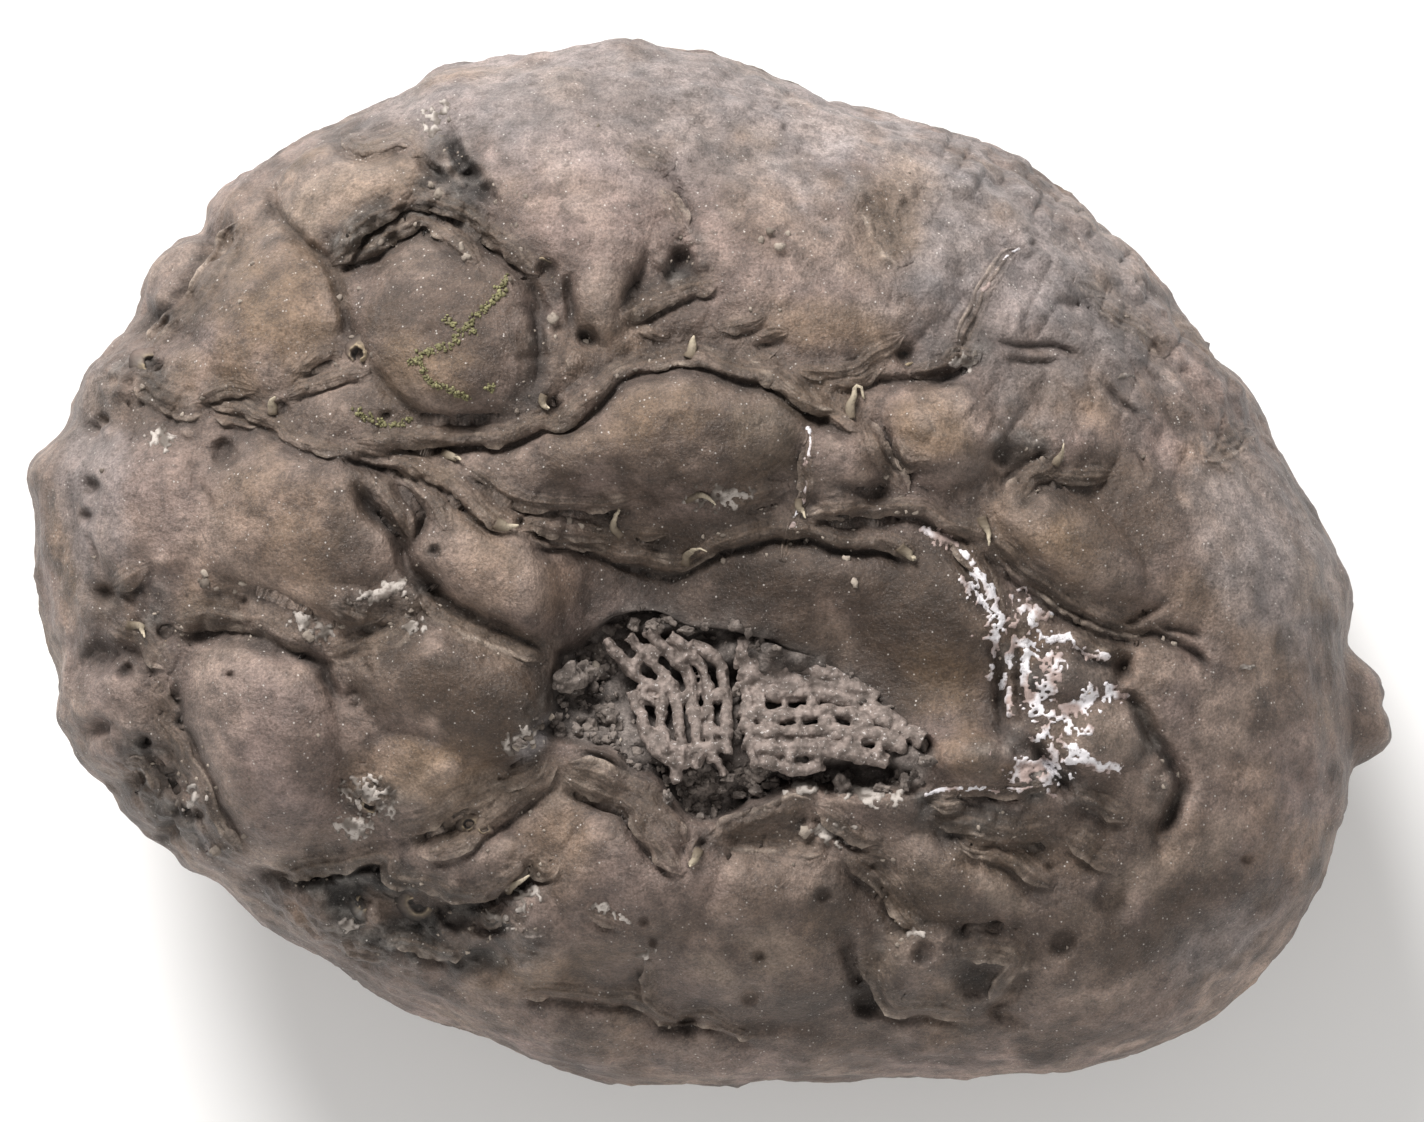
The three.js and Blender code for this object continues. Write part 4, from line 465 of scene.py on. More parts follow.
CREASES = [  # depth, half-width, route
    (0.7, 0.32, [(-12, 2.9), (-11.6, 2.1), (-11, 1.5), (-10.6, 1), (-10.4, 0.5), (-10.3, 0), (-9.9, -0.4),
        (-9.4, -0.9), (-8.7, -1.35), (-8, -1.65), (-7.3, -2.0), (-6.5, -2.4), (-5.9, -2.6),
        (-5.5, -2.75)]),
    (0.65, 0.22, [(-10.8, 2.9), (-10.4, 2.5), (-10, 2.1), (-9.7, 1.6), (-9.9, 0.9), (-10.2, 0.5)]),
    (0.45, 0.25, [(-14.9, 12.9), (-14.9, 12.2), (-14.6, 11.7), (-14, 11.2), (-13.4, 10.6), (-12.9, 10.2),
        (-12.6, 9.5), (-12.4, 8.6), (-12.2, 7.9), (-11.9, 7.4)]),
    (0.18, 0.3, [(-14.2, 10.2), (-14.8, 9.7), (-15.3, 8.9), (-15.6, 8.4)]),
    (0.5, 0.25, [(-11.6, 6.9), (-11, 6), (-10.2, 5.3), (-9, 4.85), (-8, 4.9), (-7.2, 5)]),
    (0.45, 0.25, [(-6.3, 9), (-5.95, 8.2), (-5.8, 7.4), (-5.8, 6.6), (-5.95, 5.9)]),
    (0.5, 0.2, [(-9.9, 14), (-9.7, 13.5), (-9.2, 13.1), (-8.8, 12.7), (-8.7, 12.4)]),
    (0.55, 0.25, [(-8.9, 14.9), (-8.6, 13.9), (-8.4, 13.4), (-8, 12.9), (-7.6, 12.4), (-7.2, 11.9)]),
    (0.35, 0.2, [(-2, 13.3), (-1.3, 12.8), (-0.7, 12.3)]),
    (0.4, 0.25, [(-2.1, 10.8), (-2.3, 10.1), (-2.6, 9.5), (-3, 8.8), (-3.4, 8.2)]),
    (0.5, 0.22, [(-6.3, 9.7), (-5.9, 9), (-5.8, 8.5), (-5.7, 8)]),
    (0.5, 0.22, [(-4.8, 9.9), (-4.8, 9.3), (-4.75, 8.4), (-4.75, 7.8)]),
    (0.4, 0.2, [(4.9, 5.8), (5.4, 6.1), (5.9, 6.2), (6.4, 6.2), (7, 6.3), (7.7, 6.45), (8.4, 6.65),
        (9, 6.85)]),
    (0.4, 0.25, [(4.0, 2.8), (4.8, 2.6), (5.4, 2.5), (5.9, 2.3)]),
    (0.3, 0.18, [(1, 2.1), (1.8, 2.35), (2.3, 2.45)]),
    (0.5, 0.2, [(9.2, 0.8), (9.7, 0.3), (10.3, -0.3), (11.2, -0.95), (12, -1.45), (13, -1.9),
        (13.8, -2.1), (14.6, -2.2), (15.3, -2.5), (15.9, -2.8), (16.3, -3.2), (16.6, -3.7)]),
    (0.45, 0.18, [(13.3, -2), (13.9, -1.75), (14.5, -1.45), (15.2, -1.25)]),
    (0.45, 0.16, [(14.6, -1.85), (15.2, -2.05), (15.9, -2.2), (16.4, -2.4)]),
    (0.9, 0.36, [(13.3, -2.7), (13.6, -3.1), (13.65, -3.6), (13.5, -4.0)]),
    (0.7, 0.3, [(13.5, -4.1), (14, -4.6), (14.4, -5.3), (14.9, -6), (15.3, -6.6), (15.6, -7.2),
        (15.4, -7.9), (15.1, -8.6), (14.5, -8.7)]),
    (0.4, 0.25, [(12.2, 2.9), (11.2, 2.7), (10.6, 2.4), (10.2, 2.0)]),
    (0.25, 0.2, [(-17.4, 3), (-17, 2.4), (-16.7, 1.8), (-16.6, 1.3)]),
    (0.25, 0.25, [(-19.5, 6.2), (-19.5, 5.5), (-19.4, 4.8), (-19.2, 3.9)]),
    (0.5, 0.12, [(-20.8, 1.2), (-20.75, 0.7), (-20.6, 0.2), (-20.5, -0.2)]),
    (0.55, 0.25, [(-17.9, -2.5), (-17.4, -2.2), (-16.8, -2.1), (-16, -2.1), (-15.3, -2.25), (-14.7, -2.5),
        (-14, -2.8), (-13.4, -3), (-13, -3.3), (-12.9, -3.8), (-12.6, -4.3), (-12.3, -4.7)]),
    (0.25, 0.25, [(-16.5, -0.3), (-15, -0.9), (-14, -1.3), (-13, -1.6)]),
    (0.5, 0.25, [(-15.6, -9.9), (-15, -10.3), (-14.4, -10.5), (-13.8, -10.4)]),
    (0.3, 0.2, [(-4.1, -8.2), (-4.5, -8.7), (-4.8, -9.2), (-5.1, -9.6)]),
    (0.3, 0.18, [(9.5, -5), (9.4, -5.4), (9.6, -5.8)]),
    (0.7, 0.24, [(10.6, -5.6), (10.9, -6.3), (11.3, -6.9), (11.7, -7.3), (12, -7.8)]),
    (0.5, 0.2, [(9.2, -2.3), (9.45, -3.2), (9.55, -4.1), (9.6, -5.0), (9.7, -5.7)]),
    (0.4, 0.16, [(10.15, -2.4), (10.15, -3.2), (10.2, -4.2), (10.4, -5.1)]),
    (0.5, 0.3, [(4.2, -12.0), (4.3, -12.4), (4.4, -12.9), (4.7, -13.5), (5, -14), (5.2, -14.6)]),
    (0.4, 0.22, [(10.3, -13.2), (10.2, -13.7), (9.9, -14.1), (9.6, -14.5), (9.4, -14.9), (10, -15.1),
        (10.5, -15.3)]),
    (0.25, 0.16, [(9.4, -9.9), (10, -10.4), (10.5, -11), (10.9, -11.6)]),
    (0.4, 0.14, [(9.2, 7.5), (10.2, 7.3), (11.2, 7.4), (12.4, 7.0)]),
    (0.35, 0.14, [(9.6, 6.9), (10.6, 6.8), (11.8, 6.9)]),
    (0.4, 0.16, [(12.8, 6.3), (13.4, 5.6), (14.0, 5.1), (14.4, 4.6)]),
    (0.35, 0.16, [(13.6, 4.2), (14.2, 3.6), (14.6, 2.9)]),
]
for depth, width, route in CREASES:
    draw_crease(depth, width, route)

PITS = [  # middle, radius, depth
    (-16.3, 3.8, 0.42, 0.5), (-20.4, 4.9, 0.2, 0.4), (-20.75, 4.6, 0.2, 0.4), (-18.7, 6.75, 0.22, 0.4),
    (-14.4, 5.3, 0.2, 0.45), (-4.2, 7.65, 0.32, 0.6), (-5.3, 5.45, 0.25, 0.5), (-0.6, 0.2, 0.2, 0.4),
    (-6.5, 1.45, 0.16, 0.4), (-10.2, 0.65, 0.16, 0.4), (-9.3, 0.5, 0.16, 0.35), (6.35, 12.05, 0.13, 0.3),
    (10.7, 10.8, 0.13, 0.25), (2.9, 13.9, 0.12, 0.2), (-18.35, -2.2, 0.25, 0.5), (-15.7, -1.1, 0.14, 0.3),
    (-16.1, -3.6, 0.14, 0.35), (-12.0, -4.4, 0.32, 0.45), (-11.5, -3.4, 0.14, 0.3),
    (-17.2, -8.2, 0.2, 0.45), (-17.7, -8.2, 0.15, 0.35), (-11.3, -8.0, 0.2, 0.45),
    (-10.2, -11.4, 1.3, 0.55), (-12.0, -11.1, 0.9, 0.5), (-8.6, -11.5, 0.6, 0.5),
    (-7.3, -13.2, 0.7, 0.45), (-0.9, -15.25, 0.33, 0.6), (3.7, -10.95, 0.22, 0.3),
    (1.5, -12.95, 0.2, 0.3), (5.15, -14.5, 0.5, 0.7), (8.7, -13.7, 0.65, 0.5), (11.2, -9.98, 0.14, 0.3),
    (17.6, -9.7, 0.16, 0.3), (-20.4, -3.0, 0.6, 0.4), (12.8, 1.6, 1.9, 0.45), (9.65, 3.7, 0.35, 0.3),
    (9.3, -12.0, 0.25, 0.25), (8.3, -12.1, 0.25, 0.25), (-0.4, -9.2, 0.14, 0.4), (-11.0, 5.0, 0.16, 0.3),
    (-2.4, -11.8, 0.16, 0.25), (-2.1, -12.5, 0.14, 0.25), (5.4, 2.5, 0.4, 0.45), (-1.1, 10.2, 0.38, 0.6),
    (-5.5, 9.95, 0.32, 0.45), (6.3, 7.0, 0.28, 0.35), (-20.7, 2.7, 0.28, 0.5), (-20.9, 1.7, 0.22, 0.45),
    (-20.4, -0.9, 0.35, 0.5), (-19.7, -3.5, 0.26, 0.5), (-20.3, -5.3, 0.3, 0.5), (-19.1, -5.9, 0.24, 0.5),
    (-19.4, -7.2, 0.32, 0.5), (-18.3, -8.8, 0.3, 0.5), (13.2, -11.2, 0.5, 0.3), (11.6, -12.6, 0.4, 0.3),
    (7.0, -12.9, 0.35, 0.35), (1.2, -14.2, 0.3, 0.35),
]
WIDE_PIT = 0.7


def round_spot(x, y, radius):
    """The window round a spot, and the distance from its middle as a share of its radius."""
    window = plan_window(x - 3 * radius, y - 3 * radius, x + 3 * radius, y + 3 * radius)
    return window, np.hypot(X[window] - x, Y[window] - y) / radius


for x, y, radius, depth in PITS:
    window, d = round_spot(x, y, radius)
    well = np.exp(-(d**4))
    groove_map[window] = np.maximum(groove_map[window], depth * well)
    # Only the narrow pits get painted shade.
    if radius < WIDE_PIT:
        crevice[window] = np.maximum(crevice[window], well)

KNOBS = [  # middle, radius, height
    (-17.55, 4.65, 0.3, 0.3), (-20.1, 4.4, 0.16, 0.25), (-18.3, 8.7, 0.45, 0.4), (-18.4, 0.2, 0.22, 0.3),
    (-12.0, -4.4, 0.18, 0.4), (-16.6, -9.4, 0.25, 0.35), (-4.9, -3.8, 0.3, 0.9), (-4.35, -3.6, 0.25, 0.8),
    (3.0, -8.8, 0.25, 0.35), (4.3, -7.4, 0.35, 0.8), (-9.1, 12.4, 0.22, 0.35), (-9.4, 12.7, 0.15, 0.25),
    (-8.4, 10.6, 0.18, 0.3), (-8.2, 10.25, 0.2, 0.3), (-5.35, 8.3, 0.16, 0.35), (-6.8, 9.6, 0.12, 0.2),
    (-13.8, -1.7, 0.25, 0.25), (-10.1, -2.0, 0.2, 0.25), (-13.1, -2.1, 0.25, 0.2),
    (-11.3, -11.6, 0.25, 0.4), (1.9, 11.2, 0.14, 0.2), (2.2, 10.7, 0.25, 0.22), (-8.2, -8.5, 0.22, 0.2),
    (-12.0, -8.6, 0.4, 0.25),
]
for x, y, radius, height in KNOBS:
    window, d = round_spot(x, y, radius)
    crest_map[window] = np.maximum(crest_map[window], height * np.exp(-(d**3)))

# The hollow where the wall has broken in: a steep wall under an overhanging upper lip, with painted
# shade on and above the wall, and a rough floor of grey matrix with deeper places along its edges.
HOLLOW_RIM = [
    (-5.6, -2.7), (-5, -2.6), (-4.5, -2.3), (-4.1, -1.8), (-3.6, -1.3), (-3, -1.05), (-2.2, -0.95),
    (-1.4, -1.1), (-0.7, -1.4), (0.5, -1.5), (1.9, -1.9), (3, -2.3), (4, -2.8), (4.9, -3.5), (5.6, -4),
    (6.2, -4.6), (6.6, -5), (7.3, -5.6), (7.6, -6.2), (7.5, -7), (7.1, -7.6), (6, -7.8), (4.8, -7.9),
    (4, -7.9), (3.2, -7.4), (2.8, -7.5), (2, -7.9), (1.2, -8.1), (0.6, -8.5), (-0.2, -8.7), (-0.9, -8.5),
    (-1.4, -8.1), (-1.8, -7.6), (-2.3, -7.1), (-3, -6.9), (-3.5, -6.3), (-4.4, -6.1), (-5.2, -5.9),
    (-6, -5.4), (-5.6, -4.8), (-5.7, -4.3), (-5.5, -3.6), (-5.4, -2.9),
]
HOLLOW_DEPTH = 1.25
HOLLOW_WALL = 0.45
HOLLOW_DEEPS = [  # middle, half-length, half-width, depth
    (-0.2, -7.6, 1.9, 0.6, 0.4), (4.2, -7.0, 1.9, 0.45, 0.9), (-2.5, -1.5, 1.3, 0.5, 0.3),
    (6.9, -6.6, 0.9, 0.7, -0.9), (6.1, -7.45, 1.5, 0.4, -0.6),
    (2.6, -3.0, 2.5, 0.8, -1.3), (5.4, -4.4, 1.3, 0.8, -1.0), (-1.4, -1.9, 1.6, 0.6, -0.8),
]
HOLLOW_REACH = 6.0
window, distance = follow(HOLLOW_RIM + HOLLOW_RIM[:1], HOLLOW_REACH)[:2]
hx = X[window]
hy = Y[window]
inside = np.zeros(hx.shape, dtype=bool)
for (ax, ay), (bx, by) in zip(HOLLOW_RIM, HOLLOW_RIM[1:] + HOLLOW_RIM[:1]):
    crosses = (ay > hy) != (by > hy)
    inside ^= crosses & (hx < ax + (hy - ay) / (by - ay + 1e-12) * (bx - ax))
# How far inside the rim a place lies; outside it the distance is minus.
into_hollow = np.full(X.shape, -FAR)
into_hollow[window] = np.where(inside, distance, -distance)
hollow = HOLLOW_DEPTH * smooth(0.0, HOLLOW_WALL, into_hollow)
for x, y, half_length, half_width, depth in HOLLOW_DEEPS:
    d = np.hypot((X - x) / half_length, (Y - y) / half_width)
    hollow += depth * np.exp(-(d**4)) * smooth(0.0, HOLLOW_WALL, into_hollow)
# The matrix rises in a shallow ramp on the hollow's left side.
RAMP_RISE = 0.55
ramp = smooth(-2.6, -5.0, X) * smooth(0.0, 0.8, into_hollow) * smooth(-1.2, -2.6, Y)
hollow -= RAMP_RISE * ramp
# The upper lip hangs over the hollow.
LIP = [(-4.6, -2.2), (-4.0, -1.5), (-3.3, -1.0), (-2.2, -0.8), (-1.3, -1.0), (-0.6, -1.3), (0.5, -1.4),
       (1.9, -1.8), (3, -2.2), (4, -2.7), (4.9, -3.4), (5.7, -4.0), (6.5, -4.8), (7.3, -5.6)]
LIP_WIDTH = 0.45
LIP_OVERHANG = (0.15, 0.5)
window, distance, _, along, length = follow(LIP, 1.6)
lip = smooth(0.0, 1.0, np.minimum(along, length - along)) * np.exp(-((distance / LIP_WIDTH) ** 2))
lean_x[window] -= LIP_OVERHANG[0] * lip
lean_y[window] -= LIP_OVERHANG[1] * lip
open_air = 1 - smooth(-0.1, 0.25, into_hollow)
# Plates swell up from wide soft valleys, which the crests and creases run along, and the wall
# over the hollow and to the right of it leans in towards it.
valley = np.clip(spread(np.maximum(crest_line, crevice), 0.6) * 2.2, 0, 1)
LEAN_IN = 2.2
LEAN_IN_REACH = 3.1
PLATE_RISE = 1.1
VALLEY_DEPTH = 0.55
from_rim = np.clip(-into_hollow, 0, FAR)
above = smooth(-6.5, -3.5, Y) * smooth(-6.5, -4.0, X)
basin = LEAN_IN * np.exp(-((from_rim / LEAN_IN_REACH) ** 2)) * above
upper_map = (PLATE_RISE * plates + crest_map - groove_map - VALLEY_DEPTH * valley) * open_air - basin
upper_map += crest_map * (1 - open_air) * 0.8 - hollow
upper_map = spread(upper_map, 0.045)
lean_x = spread(lean_x, 0.08)
lean_y = spread(lean_y, 0.08)
hollow_floor = smooth(0.1, 0.6, into_hollow)
# Rough places where old mud still sticks in the low parts of the skin.
RUBBLE = [  # middle, half-length, half-width, turn, strength
    (-10.2, -11.7, 4.2, 1.4, -14, 1.0), (-18.4, -7.4, 2.2, 0.9, -55, 0.8),
    (-8.5, 12.8, 0.9, 1.5, 20, 0.9), (-19.3, 6.2, 1.1, 0.8, 0, 0.8), (-10.8, 11.6, 2.2, 0.75, 30, 1.0),
    (-19.2, -1.2, 0.9, 1.1, 0, 0.7), (-1.1, 10.3, 0.9, 0.9, 0, 0.8), (10.6, -7.0, 2.2, 0.7, -25, 0.8),
    (8.4, -8.4, 2.4, 0.7, -15, 0.7), (-6.6, -10.9, 1.0, 0.7, 30, 0.6), (-11.4, -7.9, 0.9, 0.8, 0, 0.8),
    (-11.2, -1.2, 1.6, 0.6, 10, 0.6), (10.2, -4.2, 0.8, 2.2, 0, 0.6), (14.6, -6.4, 0.5, 1.9, 20, 0.6),
    (6.8, -12.6, 1.3, 0.8, 0, 0.5), (-6.0, 7.2, 0.7, 1.6, 0, 0.5), (10.2, 4.0, 0.9, 0.6, 0, 0.6),
    (8.5, 7.4, 1.0, 0.6, 20, 0.5), (-5.2, -5.0, 1.2, 1.0, 0, 0.5), (3.6, -8.7, 1.0, 0.4, 0, 0.7),
    (-16.8, -9.0, 1.2, 0.6, -40, 0.6),
]
rubble = np.zeros_like(X)
for x, y, half_length, half_width, turn, strength in RUBBLE:
    oval = np.hypot(*turned_oval(X, Y, x, y, half_length, half_width, turn))
    rubble = np.maximum(rubble, strength * smooth(1.5, 0.7, oval))
# Where the skin is finely wrinkled: the valleys and the stem's side of the upper face.
wrinkled = np.clip(0.7 * valley + smooth(4.0, 10.0, X) * smooth(1.0, 4.0, Y) * smooth(19.5, 15.0, X), 0, 1)
wrinkled = np.maximum(wrinkled, 0.7 * np.exp(-(((X + 0.5) / 6) ** 2 + ((Y - 14.5) / 2.2) ** 2)))

# The mesh of the stone: an even ball of fine faces, closer on the upper side, pushed out to the
# form and its relief, and thinned where it is smooth. The underside, which the photo hides, has
# the same low plates and crests, and a small flat spot that it lies on.
UNDER_CELLS = 46
UNDER_DOME = 0.5
UNDER_CREST = 0.32
UNDER_CREST_WIDTH = 0.55
STONE_TRIANGLES = 192000
FACE_STEPS = 330
TOP_BIAS = 0.4


def grain(points, size, seed):
    """Smooth noise from -1 to 1 over points in millimetres, with swells about size across."""
    table = np.random.default_rng(seed).uniform(-1, 1, (32, 32, 32))
    places = points / size + 100.37
    cells = np.floor(places).astype(np.int64)
    t = places - cells
    t = t * t * t * (t * (t * 6 - 15) + 10)
    total = np.zeros(len(points))
    for corner in range(8):
        step = np.array([corner & 1, (corner >> 1) & 1, corner >> 2])
        at = (cells + step) & 31
        weight = np.prod(np.where(step == 1, t, 1 - t), axis=1)
        total += table[at[:, 0], at[:, 1], at[:, 2]] * weight
    return total


def layered(points, *layers):
    """Noise in layers, each with its strength, its size in millimetres and its seed."""
    return sum(strength * grain(points, size, seed) for strength, size, seed in layers)


def read_plan(plan, x, y):
    """A plan map's value at places, with the map's edge beyond it."""
    fx = np.clip((x - plan_x[0]) / STEP, 0, len(plan_x) - 1.001)
    fy = np.clip((y - plan_y[0]) / STEP, 0, len(plan_y) - 1.001)
    i = fx.astype(int)
    j = fy.astype(int)
    u = fx - i
    v = fy - j
    return ((plan[j, i] * (1 - u) + plan[j, i + 1] * u) * (1 - v)
            + (plan[j + 1, i] * (1 - u) + plan[j + 1, i + 1] * u) * v)


def strayed(x, y, way):
    """Plan places moved a little, so that no drawn line stays quite smooth; way is 1, or -1 for back."""
    flat = np.column_stack([x, y, np.zeros(len(x))])
    x = x + way * 0.09 * grain(flat, 1.3, 21) + way * 0.035 * grain(flat, 0.4, 22)
    y = y + way * 0.09 * grain(flat, 1.3, 23) + way * 0.035 * grain(flat, 0.4, 24)
    return x, y


def seen_places(points):
    """Where the camera sees points, on the photo's plan at the rim's level, with a slight wander."""
    nearer = CAMERA_DISTANCE / (CAMERA_DISTANCE - (points[:, 2] - RIM_HEIGHT))
    x = VIEW_MIDDLE[0] + (points[:, 0] - VIEW_MIDDLE[0]) * nearer
    y = VIEW_MIDDLE[1] + (points[:, 1] - VIEW_MIDDLE[1]) * nearer
    return strayed(x, y, 1)


def swell(p):
    """Broad low waves over the whole stone."""
    return (
        0.16 * np.sin(0.42 * p[:, 0] + 0.9 * np.sin(0.3 * p[:, 1]))
        * np.cos(0.37 * p[:, 1] - 0.3 * p[:, 2])
        + 0.08 * np.sin(0.95 * p[:, 0] + 0.5 * p[:, 2])
        * np.cos(0.88 * p[:, 1] + 1.1 * np.sin(0.5 * p[:, 0]))
    )


levels = 0.35 - 1.35 * (np.arange(UNDER_CELLS) + 0.5) / UNDER_CELLS
around = np.arange(UNDER_CELLS) * math.pi * (3 - math.sqrt(5)) + 0.35 * np.sin(np.arange(UNDER_CELLS) * 2.7)
flats = np.sqrt(1 - levels**2)
under_middles = whole_form(np.column_stack([flats * np.cos(around), flats * np.sin(around), levels]))[0]


def under_gap(p):
    """How much further the second nearest plate of the underside is than the nearest."""
    bent = p + np.column_stack([
        0.8 * np.sin(0.55 * p[:, 1] + 0.4 * p[:, 2]),
        0.8 * np.sin(0.5 * p[:, 0] - 0.45 * p[:, 2]),
        0.6 * np.sin(0.5 * p[:, 0] + 0.4 * p[:, 1]),
    ])
    first = np.full(len(p), 99.0)
    second = np.full(len(p), 99.0)
    for middle in under_middles:
        d = np.linalg.norm(bent - middle, axis=1)
        second = np.minimum(second, np.maximum(first, d))
        first = np.minimum(first, d)
    return second - first


def stub_relief(points):
    """The stub of the stem: one blunt knob, fuller at its lower side, with a slight notch."""
    turn = np.arctan2(points[:, 1] - CROWN[1], points[:, 0] - CROWN[0])
    level = RIM_HEIGHT - RIM_LEAN * np.cos(turn) - STUB_SINK
    across = points[:, 1] - STUB_MIDDLE
    d = np.hypot(across / STUB_HALF_WIDTH, (points[:, 2] - level) / STUB_HALF_HEIGHT)
    fuller = 0.2 * np.exp(-(((across + 0.6) / 0.55) ** 2))
    notch = 0.12 * np.exp(-(((across - 0.3) / 0.25) ** 2))
    knob = 1 + fuller - notch
    return np.where(points[:, 0] > CROWN[0], STUB_REACH * knob * np.exp(-(d**5)), 0)


def stone_surface(directions):
    """The stone's skin in millimetres, for directions from its middle."""
    points, normals, rise = whole_form(directions)
    upper = smooth(-0.12, 0.2, rise)
    x, y = seen_places(points)
    relief = swell(points)
    relief += upper * read_plan(upper_map, x, y)
    gap = under_gap(points + 0.5 * np.column_stack([grain(points, 2.2, 31), grain(points, 2.2, 32),
                                                    grain(points, 2.2, 33)]))
    plate = UNDER_DOME * smooth(0.2, 3.2, gap) - UNDER_DOME / 2
    line = np.exp(-((gap / UNDER_CREST_WIDTH) ** 2))
    narrow = np.exp(-((gap / 0.2) ** 2))
    relief += (1 - upper) * (plate + UNDER_CREST * line + 0.15 * narrow)
    relief *= 1 - 0.8 * np.exp(-((rise / RIM_CALM) ** 2))
    relief += stub_relief(points)
    rough = 1 + 1.2 * read_plan(wrinkled, x, y) * upper
    relief += 0.11 * grain(points, 2.3, 48)
    relief += rough * layered(points, (0.1, 1.1, 41), (0.05, 0.55, 42), (0.018, 0.24, 43))
    crumbly = np.maximum(read_plan(hollow_floor, x, y), read_plan(rubble, x, y)) * upper
    relief += crumbly * (0.3 * np.abs(grain(points, 0.75, 44)) + 0.2 * grain(points, 0.42, 45)
                         + 0.14 * grain(points, 0.27, 46))
    # Fine creases run down to the right over the stem's side of the stone.
    drawn = np.column_stack([(points[:, 0] + points[:, 1]) * 0.28, points[:, 0] - 0.55 * points[:, 1],
                             0.4 * points[:, 2]])
    relief -= 0.19 * read_plan(wrinkled, x, y) * upper * (1 - np.abs(grain(drawn, 0.8, 47))) ** 4
    # Near the crown the relief stands straight up, as the camera sees it.
    straight_up = smooth(0.3, 0.7, rise)[:, None]
    way = normals * (1 - straight_up) + np.array([0, 0, 1.0]) * straight_up
    skin = points + way * relief[:, None]
    skin[:, 0] += upper * read_plan(lean_x, x, y)
    skin[:, 1] += upper * read_plan(lean_y, x, y)
    skin[:, 2] = np.maximum(skin[:, 2], 0)
    return skin


def ball(steps):
    """Directions all round and the four-sided faces between them, from a cube's six sides."""
    edge = np.tan(np.linspace(-np.pi / 4, np.pi / 4, steps + 1))
    u, v = np.meshgrid(edge, edge, indexing="ij")
    one = np.ones_like(u)
    sides = [(one, u, v), (-one, v, u), (v, one, u), (u, -one, v), (u, v, one), (v, u, -one)]
    corners = np.vstack([np.column_stack([c.ravel() for c in s]) for s in sides])
    row = np.arange(steps * (steps + 1)).reshape(steps, steps + 1)[:, :-1].ravel()
    quad = np.column_stack([row, row + steps + 1, row + steps + 2, row + 1])
    faces = np.vstack([quad + k * (steps + 1) ** 2 for k in range(6)])
    _, first, back = np.unique(np.round(corners * 1e6).astype(np.int64), axis=0,
                               return_index=True, return_inverse=True)
    directions = corners[first] / np.linalg.norm(corners[first], axis=1)[:, None]
    directions[:, 2] += TOP_BIAS
    directions /= np.linalg.norm(directions, axis=1)[:, None]
    return directions, back.ravel()[faces]


def make_mesh(name, points_mm, faces):
    """A mesh in metres in the row's frame, from points in millimetres in the photo's plan."""
    placed = (np.asarray(points_mm) + [PLAN_SHIFT[0], PLAN_SHIFT[1], 0]) * MM
    mesh = bpy.data.meshes.new(name)
    faces = np.asarray(faces)
    mesh.vertices.add(len(placed))
    mesh.vertices.foreach_set("co", placed.ravel())
    mesh.loops.add(faces.size)
    mesh.loops.foreach_set("vertex_index", faces.ravel())
    mesh.polygons.add(len(faces))
    mesh.polygons.foreach_set("loop_start", np.arange(len(faces)) * faces.shape[1])
    mesh.update(calc_edges=True)
    mesh.validate()
    mesh.shade_smooth()
    return mesh


def settle(piece, name):
    """The piece's mesh with its modifiers worked in."""
    bpy.context.view_layer.update()
    worked = bpy.data.meshes.new_from_object(piece.evaluated_get(bpy.context.evaluated_depsgraph_get()))
    worked.name = name
    piece.modifiers.clear()
    piece.data = worked
    worked.shade_smooth()
    return worked


def place_piece(name, mesh):
    """A new object for a mesh, in the scene."""
    piece = bpy.data.objects.new(name, mesh)
    bpy.context.scene.collection.objects.link(piece)
    return piece


def mesh_points(mesh):
    """A mesh's points in millimetres."""
    corners = np.empty(len(mesh.vertices) * 3)
    mesh.vertices.foreach_get("co", corners)
    return corners.reshape(-1, 3) / MM


directions, quads = ball(FACE_STEPS)
# The faces turn outward when the ball's own do.
a, b, c = (directions[quads[:, k]] for k in range(3))
outward = np.einsum("ij,ij->i", np.cross(b - a, c - a), a) > 0
quads[~outward] = quads[~outward][:, ::-1]
stone = place_piece("crinoid_stone", make_mesh("crinoid_stone", stone_surface(directions), quads))
thin = stone.modifiers.new("thin", "DECIMATE")
thin.ratio = min(1.0, STONE_TRIANGLES / (2 * len(quads)))
stone_mesh = settle(stone, "crinoid_stone")
stone_points = mesh_points(stone_mesh) - [PLAN_SHIFT[0], PLAN_SHIFT[1], 0]

# The stone's colours: brown-grey limestone with warm and dark patches and pale worn crests, with
# painted shade in the creases, valleys and hollows and on the wall above the hollow's lip, painted
# highlight on convex edges and a painted sheen near the rim. Wide patches are soft spots listed one
# by one; grain and dust are in the material.


def srgb(red, green, blue):
    """A colour as light, from its everyday numbers of 0 to 255."""
    c = np.array([red, green, blue]) / 255
    return np.where(c <= 0.04045, c / 12.92, ((c + 0.055) / 1.055) ** 2.4)


def between(dark, pale, share):
    """A colour that is a share of the way from dark to pale."""
    return dark + (pale - dark) * share


def blend_in(colour, tone, share):
    """Move each point's colour towards a tone by that point's share."""
    colour += (tone - colour) * share[:, None]


